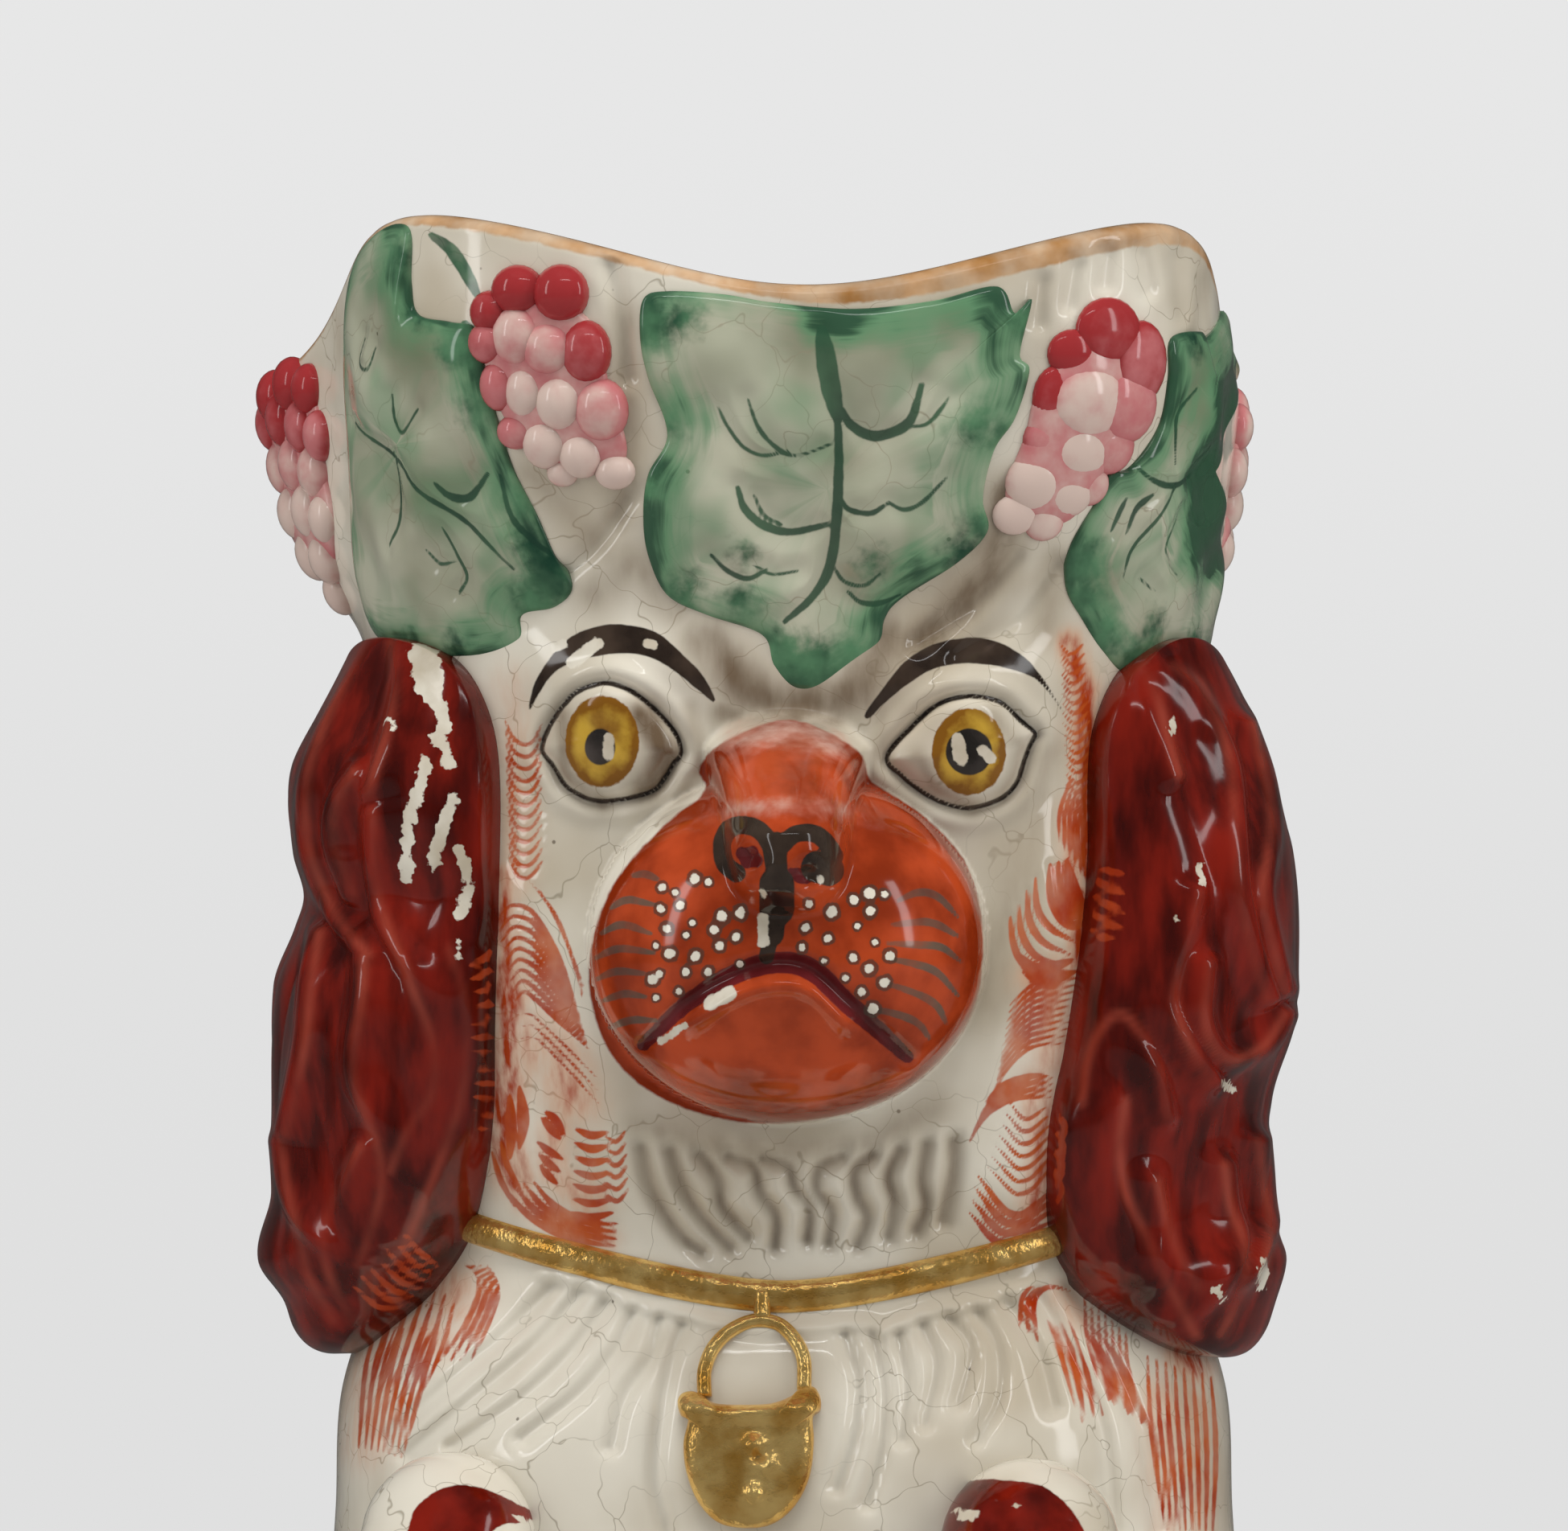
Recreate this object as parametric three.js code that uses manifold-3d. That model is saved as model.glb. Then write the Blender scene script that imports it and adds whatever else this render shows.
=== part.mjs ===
// Begging spaniel jug in glazed earthenware, as the pieces that a potter presses, lutes and applies.
// Millimetres, +Z up. The dog faces -Y and the handle is at +Y. The origin is on the underside of the base.
// Left and right are the viewer's, looking at the dog's face. Angles are degrees from the front, towards +X.
import * as THREE from "three";
import { mergeVertices } from "three/addons/utils/BufferGeometryUtils.js";
import Module from "manifold-3d";

const wasm = await Module();
wasm.setup();

// Driving dimensions
const JUG_HEIGHT = 262;
const HALF_WIDTH = 64;
const FRONT_DEPTH = 54;
const BACK_DEPTH = 58;
const WALL = 5;
const BASE_THICKNESS = 6;
const CLEARANCE = 0.3;
const SEAT_DEPTH = 9;
const OVERRUN = 20;

// Body stations: shares of the height, the half width, the front depth and the back depth, and squareness
const STATION_SHARES = [
  [0.0, 0.906, 0.926, 0.914, 2.3],
  [0.046, 0.969, 0.981, 0.974, 2.3],
  [0.13, 1.0, 1.0, 1.0, 2.3],
  [0.229, 0.953, 0.981, 0.974, 2.3],
  [0.324, 0.892, 0.944, 0.931, 2.3],
  [0.401, 0.867, 0.935, 0.905, 2.3],
  [0.454, 0.858, 0.917, 0.888, 2.25],
  [0.489, 0.816, 0.861, 0.845, 2.2],
  [0.511, 0.766, 0.806, 0.81, 2.2],
  [0.538, 0.753, 0.778, 0.793, 2.2],
  [0.595, 0.789, 0.815, 0.819, 2.2],
  [0.687, 0.8125, 0.852, 0.845, 2.2],
  [0.775, 0.804, 0.861, 0.845, 2.25],
  [0.817, 0.81, 0.87, 0.845, 2.4],
  [0.87, 0.822, 0.926, 0.879, 2.7],
  [0.931, 0.836, 0.972, 0.914, 3.0],
  [1.0, 0.828, 0.991, 0.931, 3.1],
];

// Hat: the flared rim with its dips and its rounded edge, and the side lobes that carry grapes
const HAT_FOOT_SHARE = 0.783;
const LOBES = { fromShare: 0.8, toShare: 0.87, lipShare: 0.93, lipGrowthShare: 0.2, spread: 19, rise: 9.5 };
const LOBE_SHARES = [
  { angle: -97, riseShare: 1 },
  { angle: 108, riseShare: 0.42 },
];
const RIM = { crest: 1.6, round: 1.4, dip: 18 };
const RIM_DIP_SHARES = [
  { angle: 3, depthShare: 0.617, spread: 36, power: 2 },
  { angle: 100, depthShare: 1, spread: 34, power: 3 },
  { angle: -100, depthShare: 1, spread: 34, power: 3 },
  { angle: 180, depthShare: 0.56, spread: 32, power: 3 },
];

// Face: domes set into the wall. Place as shares of the half width and of the height, inset behind the wall
const MUZZLE = {
  xShare: 0.005,
  zShare: 0.667,
  inset: 2,
  halfWidth: 22.5,
  halfLength: 20,
  height: 20.5,
  columns: 24,
};
const FACE_DOMES = [
  { xShare: 0.012, zShare: 0.735, inset: 3, halfWidth: 13, halfLength: 14, height: 18, columns: 16 },
  { xShare: -0.008, zShare: 0.717, inset: -8, halfWidth: 9, halfLength: 10.5, height: 7, columns: 14 },
  { xShare: -0.308, zShare: 0.762, inset: 3, halfWidth: 8.6, halfLength: 6.4, height: 7.2, columns: 14 },
  { xShare: 0.33, zShare: 0.756, inset: 3, halfWidth: 8.6, halfLength: 6.4, height: 7.2, columns: 14 },
  { xShare: -0.3, zShare: 0.797, inset: 6, halfWidth: 14, halfLength: 7.6, height: 6, columns: 12 },
  { xShare: 0.32, zShare: 0.792, inset: 6, halfWidth: 14, halfLength: 7.6, height: 6, columns: 12 },
  { xShare: 0.03, zShare: 0.562, inset: 8, halfWidth: 27, halfLength: 12, height: 10, columns: 16 },
];
const MOUTH = { zShare: 0.66, drop: 10.5, bow: 1.5, halfWidth: 17, halfThickness: 1.3 };
const MOUTH_GRID = { points: 9, sides: 3, steps: 14 };

// Grid lines of the jug's outer face, and of a ball's rows to its columns
const BALL_ROW_SHARE = 0.68;
const COLUMNS = 36;
const ROW_SPANS = [
  { toShare: 0.44, rows: 6 },
  { toShare: 0.6, rows: 8 },
  { toShare: HAT_FOOT_SHARE, rows: 4 },
];
const HAT_ROWS = 6;
const CAVITY_COLUMNS = 24;
const CAVITY_ROWS = 11;

// Collar band round the neck, lower at the throat: section corners are shares of its rise and its height
const COLLAR = { throatShare: 0.515, climb: 14, climbAngle: 65, climbPower: 1.6, height: 4.4, rise: 1.9 };
const COLLAR_COLUMNS = 28;
const COLLAR_SECTION_SHARES = [
  [0.5, -0.5],
  [1, -0.2],
  [1, 0.2],
  [0.5, 0.5],
];

// Padlock hanging from the collar, by a drop from the collar's middle to its own
const PADLOCK = { angle: -4.3, drop: 18.2, halfWidth: 8.4, halfHeight: 7.6, rise: 3, rings: 3, sectors: 22 };
const PADLOCK_CROWN_SHARE = 0.4;
const KEYHOLE_BUMP = { halfWidth: 2.4, halfHeight: 4.4, rise: 0.9 };
const SHACKLE = { halfWidth: 5.6, height: 11, thickness: 2.2, points: 9, sides: 3, steps: 12 };

// Ears, hanging from under the hat past the waist, with wavy locks of hair
const EAR = { angle: 71, zShare: 0.645, halfWidth: 29.5, halfHeight: 43, rise: 11.4, edge: 3 };
const EAR_FLARES = { left: 2.2, right: 0.4 };
const EAR_GRID = { rings: 6, sectors: 26 };
const EAR_ROUNDNESS = 5;
const LOCKS = { count: 3.1, depth: 1.4, meander: 3.2, waves: 2.2 };

// How the ears swell and sink down their length: share of the half height, then share of the ear's rise
const EAR_SWELL_SHARES = {
  left: [
    [-1, 0],
    [-0.88, 0.05],
    [-0.76, 0.26],
    [-0.56, 0],
    [0.02, 0],
    [0.19, -0.22],
    [0.284, -0.3],
    [0.4, -0.15],
    [0.63, 0],
    [0.865, -0.1],
    [1, 0],
  ],
  right: [
    [-1, 0],
    [-0.76, 0.1],
    [-0.6, -0.26],
    [-0.3, -0.22],
    [-0.08, 0],
    [0.4, 0],
    [0.68, -0.26],
    [0.86, -0.2],
    [1, 0.1],
  ],
};

// Vine leaves round the hat, each by a drop from the rim to its middle
const LEAF = { rise: 2.6, edge: 1.5, rings: 2, sectors: 28 };
const FRONT_SHARES = [
  [-1.0, 0.96],
  [-0.02, 0.98],
  [0.98, 0.97],
  [0.82, 0.39],
  [0.73, -0.18],
  [0.45, -0.55],
  [0.16, -0.75],
  [0.06, -0.97],
  [-0.18, -0.99],
  [-0.42, -0.86],
  [-0.45, -0.7],
  [-0.88, -0.51],
  [-0.98, -0.02],
  [-0.9, 0.39],
];
const CORNER_SHARES = [
  [-0.2, 0.98],
  [0.28, 0.96],
  [0.37, 0.65],
  [0.73, 0.3],
  [0.64, -0.02],
  [0.92, -0.22],
  [1.05, -0.66],
  [0.7, -0.76],
  [0.6, -0.95],
  [0, -1],
  [-0.68, -0.86],
  [-0.96, -0.5],
  [-0.78, 0.05],
  [-0.6, 0.6],
];
const LEAVES = {
  front_leaf: { shares: FRONT_SHARES, side: 1, angle: 6, drop: 23.9, halfWidth: 23, halfHeight: 22.5 },
  left_front_leaf: { shares: CORNER_SHARES, side: 1, angle: -53, drop: 27.1, halfWidth: 20, halfHeight: 25 },
  right_front_leaf: { shares: CORNER_SHARES, side: -1, angle: 59, drop: 26.6, halfWidth: 17, halfHeight: 23.5 },
  left_rear_leaf: { shares: FRONT_SHARES, side: -1, angle: -142, drop: 28.5, halfWidth: 17, halfHeight: 20.5 },
  right_rear_leaf: { shares: FRONT_SHARES, side: 1, angle: 147, drop: 28.5, halfWidth: 15, halfHeight: 20.5 },
};

// Bunches of grapes between the leaves, berries in rows over a thin backing
const BERRY = { radius: 3.5, pitch: 5.9, rowPitch: 5.4, lift: 1.2, columns: 7 };
const BUNCH_BACKING = { rise: 2, rings: 1, sectors: 12 };
const BUNCHES = {
  left_front_grapes: { angle: -28, drop: 19.5, tilt: 8, rowCounts: [2, 3, 3, 2, 1] },
  right_front_grapes: { angle: 38.5, drop: 23.4, tilt: -22, rowCounts: [1, 2, 3, 2, 1] },
  left_side_grapes: { angle: -85, drop: 15.2, tilt: 0, rowCounts: [2, 3, 3, 2, 1] },
  right_side_grapes: { angle: 111, drop: 17.5, tilt: 0, rowCounts: [2, 3, 3, 2, 1] },
};

// Legs and tail: each path point is angle, height share, then distance out from the wall and radius as shares
const LEG_TURN = -6;
const LIMB_END_SHARE = 0.7;
const FORELEG = { out: 6, radius: 10.5, steps: 8, sides: 12 };
const FORELEG_PATH_SHARES = [
  { angle: 37, zShare: 0.405, outShare: 0.42, radiusShare: 1 },
  { angle: 35.5, zShare: 0.378, outShare: 0.92, radiusShare: 1.05 },
  { angle: 32, zShare: 0.342, outShare: 1, radiusShare: 1 },
  { angle: 28.5, zShare: 0.304, outShare: 0.83, radiusShare: 0.9 },
  { angle: 26.5, zShare: 0.272, outShare: 0.67, radiusShare: 0.95 },
];
const FOREPAW_TOE = { radius: 4.4, height: 5.4, spread: 6.4, drop: 5.5, out: 4.4, count: 3, columns: 7 };
const HAUNCH = { angle: 58, zShare: 0.17, halfWidth: 30, halfHeight: 35, rise: 10.5, edge: 1.4 };
const HAUNCH_GRID = { rings: 5, sectors: 22 };
const HIND_FOOT = { angle: 33, halfWidth: 12.5, halfLength: 23, height: 17, lift: 4, out: 2.5, columns: 14 };
const HIND_TOE = { halfWidth: 5, halfLength: 8, height: 6, spread: 7.6, inset: 7, count: 3, columns: 8 };
const TAIL = { out: 3, radius: 7.5, steps: 11, sides: 12 };
const TAIL_PATH_SHARES = [
  { angle: 184, zShare: 0.04, outShare: 0.5, radiusShare: 1 },
  { angle: 160, zShare: 0.045, outShare: 1, radiusShare: 1 },
  { angle: 136, zShare: 0.085, outShare: 1, radiusShare: 1 },
  { angle: 121, zShare: 0.16, outShare: 0.83, radiusShare: 0.93 },
  { angle: 119, zShare: 0.235, outShare: 0.5, radiusShare: 0.73 },
];

// Handle: heights as shares of the jug's height, and shares of its reach behind the foot's widest part
const HANDLE = { halfWidth: 8, halfThickness: 5.6, reach: 34, inside: 8, steps: 22, curveSegments: 5 };
const HANDLE_ROOT_SHARES = { top: 0.885, foot: 0.447 };
const HANDLE_ARCH_SHARES = [
  { zShare: 0.912, reachShare: 0.15 },
  { zShare: 0.885, reachShare: 0.71 },
  { zShare: 0.79, reachShare: 1 },
  { zShare: 0.68, reachShare: 0.94 },
  { zShare: 0.575, reachShare: 0.65 },
  { zShare: 0.49, reachShare: 0.24 },
];

const WHITE = { color: 0xe9e4da, roughness: 0.16 };
const RED = { color: 0x6a1108, roughness: 0.22 };
const GREEN = { color: 0x5f9a72, roughness: 0.2 };
const PINK = { color: 0xc4587a, roughness: 0.2 };
const GOLD = { color: 0xb98a2e, roughness: 0.3, metalness: 0.9 };

const sides = { left: -1, right: 1 };
const radians = THREE.MathUtils.degToRad;
const wrapped = (a) => Math.atan2(Math.sin(a), Math.cos(a));
const bell = (a, centre, spread, power) => Math.exp(-(Math.abs(wrapped(a - centre) / spread) ** power));

// Smooth curve through one column of a table, whose first column is the place along it
function smoothColumn(rows, place, column) {
  const last = rows.length - 1;
  const s = Math.min(Math.max(place, rows[0][0]), rows[last][0]);
  let i = 0;
  while (i < last - 1 && rows[i + 1][0] <= s) i += 1;
  const slope = (k) => {
    const [a, b] = [rows[Math.max(k - 1, 0)], rows[Math.min(k + 1, last)]];
    return (b[column] - a[column]) / (b[0] - a[0]);
  };
  const span = rows[i + 1][0] - rows[i][0];
  const t = (s - rows[i][0]) / span;
  return (
    (2 * t ** 3 - 3 * t ** 2 + 1) * rows[i][column] +
    (t ** 3 - 2 * t ** 2 + t) * span * slope(i) +
    (3 * t ** 2 - 2 * t ** 3) * rows[i + 1][column] +
    (t ** 3 - t ** 2) * span * slope(i + 1)
  );
}

const station = (share, column) => smoothColumn(STATION_SHARES, share, column);

// Radius of the plain jug at an angle from the front and a height, before any relief
function jugRadius(angle, z) {
  const share = z / JUG_HEIGHT;
  const width = HALF_WIDTH * station(share, 1);
  const depth = Math.cos(angle) > 0 ? FRONT_DEPTH * station(share, 2) : BACK_DEPTH * station(share, 3);
  const n = station(share, 4);
  const across = Math.abs(Math.sin(angle) / width) ** n;
  const along = Math.abs(Math.cos(angle) / depth) ** n;
  const { smoothstep } = THREE.MathUtils;
  const lip = LOBES.lipGrowthShare * smoothstep(share, LOBES.toShare, LOBES.lipShare);
  const grown = smoothstep(share, LOBES.fromShare, LOBES.toShare) + lip;
  const lobeAt = (lobe) => lobe.riseShare * bell(angle, radians(lobe.angle), radians(LOBES.spread), 2);
  const lobes = LOBE_SHARES.reduce((sum, lobe) => sum + lobeAt(lobe), 0);
  return (across + along) ** (-1 / n) + LOBES.rise * grown * lobes;
}

function rimHeight(angle) {
  const dipAt = (dip) => dip.depthShare * bell(angle, radians(dip.angle), radians(dip.spread), dip.power);
  const dips = RIM_DIP_SHARES.reduce((sum, dip) => sum + dipAt(dip), 0);
  return JUG_HEIGHT + RIM.crest - RIM.dip * dips;
}

function collarHeight(angle) {
  const turn = Math.abs(wrapped(angle)) / radians(COLLAR.climbAngle);
  return COLLAR.throatShare * JUG_HEIGHT + COLLAR.climb * (1 - Math.exp(-(turn ** COLLAR.climbPower)));
}

// Depth of the plain front wall at a distance to the side
function frontWall(x, z) {
  const share = z / JUG_HEIGHT;
  const n = station(share, 4);
  const across = Math.abs(x) / (HALF_WIDTH * station(share, 1));
  return -FRONT_DEPTH * station(share, 2) * (1 - across ** n) ** (1 / n);
}

// A point of the plain jug's outer face
function onJug(angle, z) {
  const r = jugRadius(angle, z);
  return new THREE.Vector3(r * Math.sin(angle), -r * Math.cos(angle), z);
}

// The outward normal of the plain jug
function jugNormal(angle, z) {
  const turn = radians(1);
  const rise = JUG_HEIGHT * turn;
  const low = Math.min(z, JUG_HEIGHT - rise);
  const along = onJug(angle + turn, low).sub(onJug(angle - turn, low));
  const up = onJug(angle, low + rise).sub(onJug(angle, low - rise));
  return along.cross(up).normalize();
}

const raised = (angle, z, lift) => onJug(angle, z).addScaledVector(jugNormal(angle, z), lift);

// Solid from rings of points, closed at both ends by a fan to a cap point
function ringSolid(rings, firstCap, lastCap) {
  const count = rings[0].length;
  const points = [firstCap, ...rings.flat(), lastCap];
  const at = (ring, i) => 1 + ring * count + (i % count);
  const faces = [];
  for (let i = 0; i < count; i += 1) faces.push(0, at(0, i + 1), at(0, i));
  for (let ring = 0; ring + 1 < rings.length; ring += 1) {
    for (let i = 0; i < count; i += 1) {
      faces.push(at(ring, i), at(ring, i + 1), at(ring + 1, i + 1));
      faces.push(at(ring, i), at(ring + 1, i + 1), at(ring + 1, i));
    }
  }
  const last = rings.length - 1;
  for (let i = 0; i < count; i += 1) faces.push(points.length - 1, at(last, i), at(last, i + 1));
  const geometry = new THREE.BufferGeometry().setFromPoints(points);
  geometry.setIndex(faces);
  return toSolid(geometry);
}

function toSolid(geometry) {
  const bare = geometry.clone();
  bare.deleteAttribute("normal");
  bare.deleteAttribute("uv");
  const merged = mergeVertices(bare);
  const vertProperties = merged.attributes.position.array;
  const triVerts = new Uint32Array(merged.index.array);
  const made = new wasm.Manifold(new wasm.Mesh({ numProp: 3, vertProperties, triVerts }));
  if (made.volume() > 0) return made;
  const turned = triVerts.map((_, i) => triVerts[i - (i % 3) + 2 - (i % 3)]);
  return new wasm.Manifold(new wasm.Mesh({ numProp: 3, vertProperties, triVerts: turned }));
}

function toGeometry(solid) {
  const mesh = solid.getMesh();
  const geometry = new THREE.BufferGeometry();
  geometry.setAttribute("position", new THREE.BufferAttribute(new Float32Array(mesh.vertProperties), 3));
  geometry.setIndex(new THREE.BufferAttribute(new Uint32Array(mesh.triVerts), 1));
  const flat = geometry.toNonIndexed();
  flat.computeVertexNormals();
  return flat;
}

const union = (solids) => solids.reduce((a, b) => a.add(b));

function boxSolid(min, max) {
  const size = new THREE.Vector3().subVectors(max, min);
  const middle = new THREE.Vector3().addVectors(max, min).divideScalar(2);
  const geometry = new THREE.BoxGeometry(size.x, size.y, size.z);
  geometry.translate(middle.x, middle.y, middle.z);
  return toSolid(geometry);
}

function ellipsoid(centre, { halfWidth, halfLength, height, columns }) {
  const geometry = new THREE.SphereGeometry(1, columns, Math.round(columns * BALL_ROW_SHARE));
  geometry.scale(halfWidth, halfLength, height);
  geometry.translate(centre.x, centre.y, centre.z);
  return toSolid(geometry);
}

function faceDome(spec, grow) {
  const [x, z] = [spec.xShare * HALF_WIDTH, spec.zShare * JUG_HEIGHT];
  const [halfWidth, halfLength, height] = [spec.halfWidth + grow, spec.halfLength + grow, spec.height + grow];
  const centre = new THREE.Vector3(x, frontWall(x, z) + spec.inset, z);
  return ellipsoid(centre, { halfWidth, halfLength, height, columns: spec.columns });
}

// The line of the closed mouth, as a tube laid along the muzzle's surface
function mouthSolid() {
  const [x0, z0] = [MUZZLE.xShare * HALF_WIDTH, MUZZLE.zShare * JUG_HEIGHT];
  const y0 = frontWall(x0, z0) + MUZZLE.inset;
  const points = Array.from({ length: MOUTH_GRID.points }, (_, i) => {
    const across = (2 * i) / (MOUTH_GRID.points - 1) - 1;
    const x = MOUTH.halfWidth * across;
    const z = MOUTH.zShare * JUG_HEIGHT - MOUTH.drop * Math.abs(across) ** MOUTH.bow;
    const bulge = 1 - ((x - x0) / MUZZLE.halfWidth) ** 2 - ((z - z0) / MUZZLE.height) ** 2;
    return new THREE.Vector3(x, y0 - MUZZLE.halfLength * Math.sqrt(Math.max(bulge, 0)), z);
  });
  const section = new THREE.Shape().absarc(0, 0, MOUTH.halfThickness, 0, 2 * Math.PI);
  const extrudePath = new THREE.CatmullRomCurve3(points);
  const options = { steps: MOUTH_GRID.steps, curveSegments: MOUTH_GRID.sides, extrudePath };
  return toSolid(new THREE.ExtrudeGeometry(section, options));
}

// The plain jug as a full solid, grown outwards by a clearance
function plainSolid(grow) {
  const angles = Array.from({ length: COLUMNS }, (_, i) => (2 * Math.PI * i) / COLUMNS);
  const heights = [0];
  ROW_SPANS.forEach(({ toShare, rows }) => {
    const from = heights[heights.length - 1];
    for (let i = 1; i <= rows; i += 1) heights.push(from + ((toShare * JUG_HEIGHT - from) * i) / rows);
  });
  const rings = heights.map((z) => angles.map((angle) => raised(angle, z, grow)));
  const foot = heights[heights.length - 1];
  for (let row = 1; row <= HAT_ROWS; row += 1) {
    const heightAt = (angle) => foot + ((rimHeight(angle) - RIM.round - foot) * row) / HAT_ROWS;
    rings.push(angles.map((angle) => raised(angle, heightAt(angle), grow)));
  }
  rings.push(
    angles.map((angle) => {
      const inward = new THREE.Vector3(-Math.sin(angle), Math.cos(angle), 1);
      return raised(angle, rimHeight(angle) - RIM.round, grow).addScaledVector(inward, RIM.round);
    }),
  );
  const middle = rimHeight(radians(RIM_DIP_SHARES[0].angle));
  return ringSolid(rings, new THREE.Vector3(0, 0, 0), new THREE.Vector3(0, 0, middle));
}

// The jug with its face
function jugSolid(grow) {
  const domes = [MUZZLE, ...FACE_DOMES].map((spec) => faceDome(spec, grow));
  return union([plainSolid(grow), ...domes]);
}

// A plain loft that follows the jug's wall at an inset and runs out past both ends
function insetLoft(inset) {
  const inner = Array.from({ length: CAVITY_ROWS + 1 }, (_, i) => (JUG_HEIGHT * i) / CAVITY_ROWS);
  const heights = [-OVERRUN, ...inner, JUG_HEIGHT + OVERRUN];
  const rings = heights.map((z) =>
    Array.from({ length: CAVITY_COLUMNS }, (_, i) => {
      const angle = (2 * Math.PI * (i + 1 / 2)) / CAVITY_COLUMNS;
      const r = jugRadius(angle, Math.min(Math.max(z, 0), JUG_HEIGHT)) - inset;
      return new THREE.Vector3(r * Math.sin(angle), -r * Math.cos(angle), z);
    }),
  );
  return ringSolid(rings, new THREE.Vector3(0, 0, -OVERRUN), new THREE.Vector3(0, 0, JUG_HEIGHT + OVERRUN));
}

// Closed outline through points given as shares of two half sizes
function smoothOutline(shares, halfWidth, halfHeight, count) {
  const points = shares.map(([x, y]) => new THREE.Vector3(x * halfWidth, y * halfHeight, 0));
  return new THREE.CatmullRomCurve3(points, true).getSpacedPoints(count).slice(0, count);
}

// A relief piece laid over the jug, no higher than the rim: an outline about a place, with a rise inside it
function reliefSolid({ angle, z: z0, tilt = 0 }, outline, rings, rise) {
  const [a0, lean] = [radians(angle), radians(tilt)];
  const around = jugRadius(a0, z0);
  const place = (x, y, lift) => {
    const u = x * Math.cos(lean) - y * Math.sin(lean);
    const v = x * Math.sin(lean) + y * Math.cos(lean);
    const angleHere = a0 + u / around;
    return raised(angleHere, Math.min(z0 + v, rimHeight(angleHere) - RIM.round), lift);
  };
  const ring = (t, lift) => outline.map(({ x, y }) => place(x * t, y * t, lift(x * t, y * t, t)));
  const tops = [];
  for (let i = 1; i <= rings; i += 1) tops.push(ring(Math.sin((Math.PI * i) / (2 * rings)), rise));
  const foot = ring(1, () => -SEAT_DEPTH);
  return ringSolid([...tops, foot], place(0, 0, rise(0, 0, 0)), place(0, 0, -SEAT_DEPTH));
}

// The height of a piece that hangs a named drop below the rim
const belowRim = ({ angle, drop }) => rimHeight(radians(angle)) - drop;

function limbPoint(limb, step) {
  return raised(radians(step.angle), step.zShare * JUG_HEIGHT, step.outShare * limb.out);
}

// A limb swept along the jug's wall, round in section, with domed ends
function limbSolid(limb, path) {
  const { radius, steps, sides } = limb;
  const curve = new THREE.CatmullRomCurve3(path.map((step) => limbPoint(limb, step)));
  const radiusAt = (t) => {
    const along = t * (path.length - 1);
    const i = Math.min(Math.floor(along), path.length - 2);
    return radius * THREE.MathUtils.lerp(path[i].radiusShare, path[i + 1].radiusShare, along - i);
  };
  const section = (t, shift, scale) => {
    const along = curve.getTangent(t);
    const centre = curve.getPoint(t).addScaledVector(along, shift * radiusAt(t));
    const out = new THREE.Vector3(centre.x, centre.y, 0).projectOnPlane(along).normalize();
    const across = new THREE.Vector3().crossVectors(along, out);
    return Array.from({ length: sides }, (_, i) => {
      const turn = (2 * Math.PI * i) / sides;
      const spoke = across.clone().multiplyScalar(Math.cos(turn)).addScaledVector(out, Math.sin(turn));
      return centre.clone().addScaledVector(spoke, radiusAt(t) * scale);
    });
  };
  const rings = [section(0, -LIMB_END_SHARE, LIMB_END_SHARE)];
  for (let i = 0; i <= steps; i += 1) rings.push(section(i / steps, 0, 1));
  rings.push(section(1, LIMB_END_SHARE, LIMB_END_SHARE));
  const end = (t, sign) => curve.getPoint(t).addScaledVector(curve.getTangent(t), sign * radiusAt(t));
  return ringSolid(rings, end(0, -1), end(1, 1));
}

const reach = HALF_WIDTH + FRONT_DEPTH + BACK_DEPTH;
const jug = jugSolid(0).subtract(mouthSolid());
const seat = jugSolid(CLEARANCE);
const ground = boxSolid(new THREE.Vector3(-reach, -reach, -reach), new THREE.Vector3(reach, reach, 0));
const frontHalf = boxSolid(
  new THREE.Vector3(-reach, -reach, -OVERRUN),
  new THREE.Vector3(reach, 0, JUG_HEIGHT + OVERRUN),
);
const backHalf = boxSolid(
  new THREE.Vector3(-reach, 0, -OVERRUN),
  new THREE.Vector3(reach, reach, JUG_HEIGHT + OVERRUN),
);

// An applied piece is cut to the jug's wall, to the ground, and to the pieces that lie over it
const fitted = (solid, over = []) => [seat, ground, ...over].reduce((a, b) => a.subtract(b), solid);

function baseSlab() {
  const [low, high] = [new THREE.Vector3(-reach, -reach, 0), new THREE.Vector3(reach, reach, BASE_THICKNESS)];
  return insetLoft(WALL + CLEARANCE).intersect(boxSolid(low, high));
}

function collarSolid(grow) {
  const [rise, height] = [COLLAR.rise + grow, COLLAR.height + 2 * grow];
  const section = COLLAR_SECTION_SHARES.map(([outShare, upShare]) => [outShare * rise, upShare * height]);
  const loop = (out, up) =>
    Array.from({ length: COLLAR_COLUMNS }, (_, i) => {
      const angle = (2 * Math.PI * i) / COLLAR_COLUMNS;
      const z = collarHeight(angle);
      return raised(angle, z, out).setZ(z + up);
    });
  const [low, high] = [section[0][1], section[section.length - 1][1]];
  const outer = section.map(([out, up]) => loop(out, up));
  const rings = [loop(-SEAT_DEPTH, low), ...outer, loop(-SEAT_DEPTH, high)];
  const caps = [low, high].map((up) => new THREE.Vector3(0, 0, collarHeight(0) + up));
  return ringSolid(rings, ...caps);
}

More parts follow.
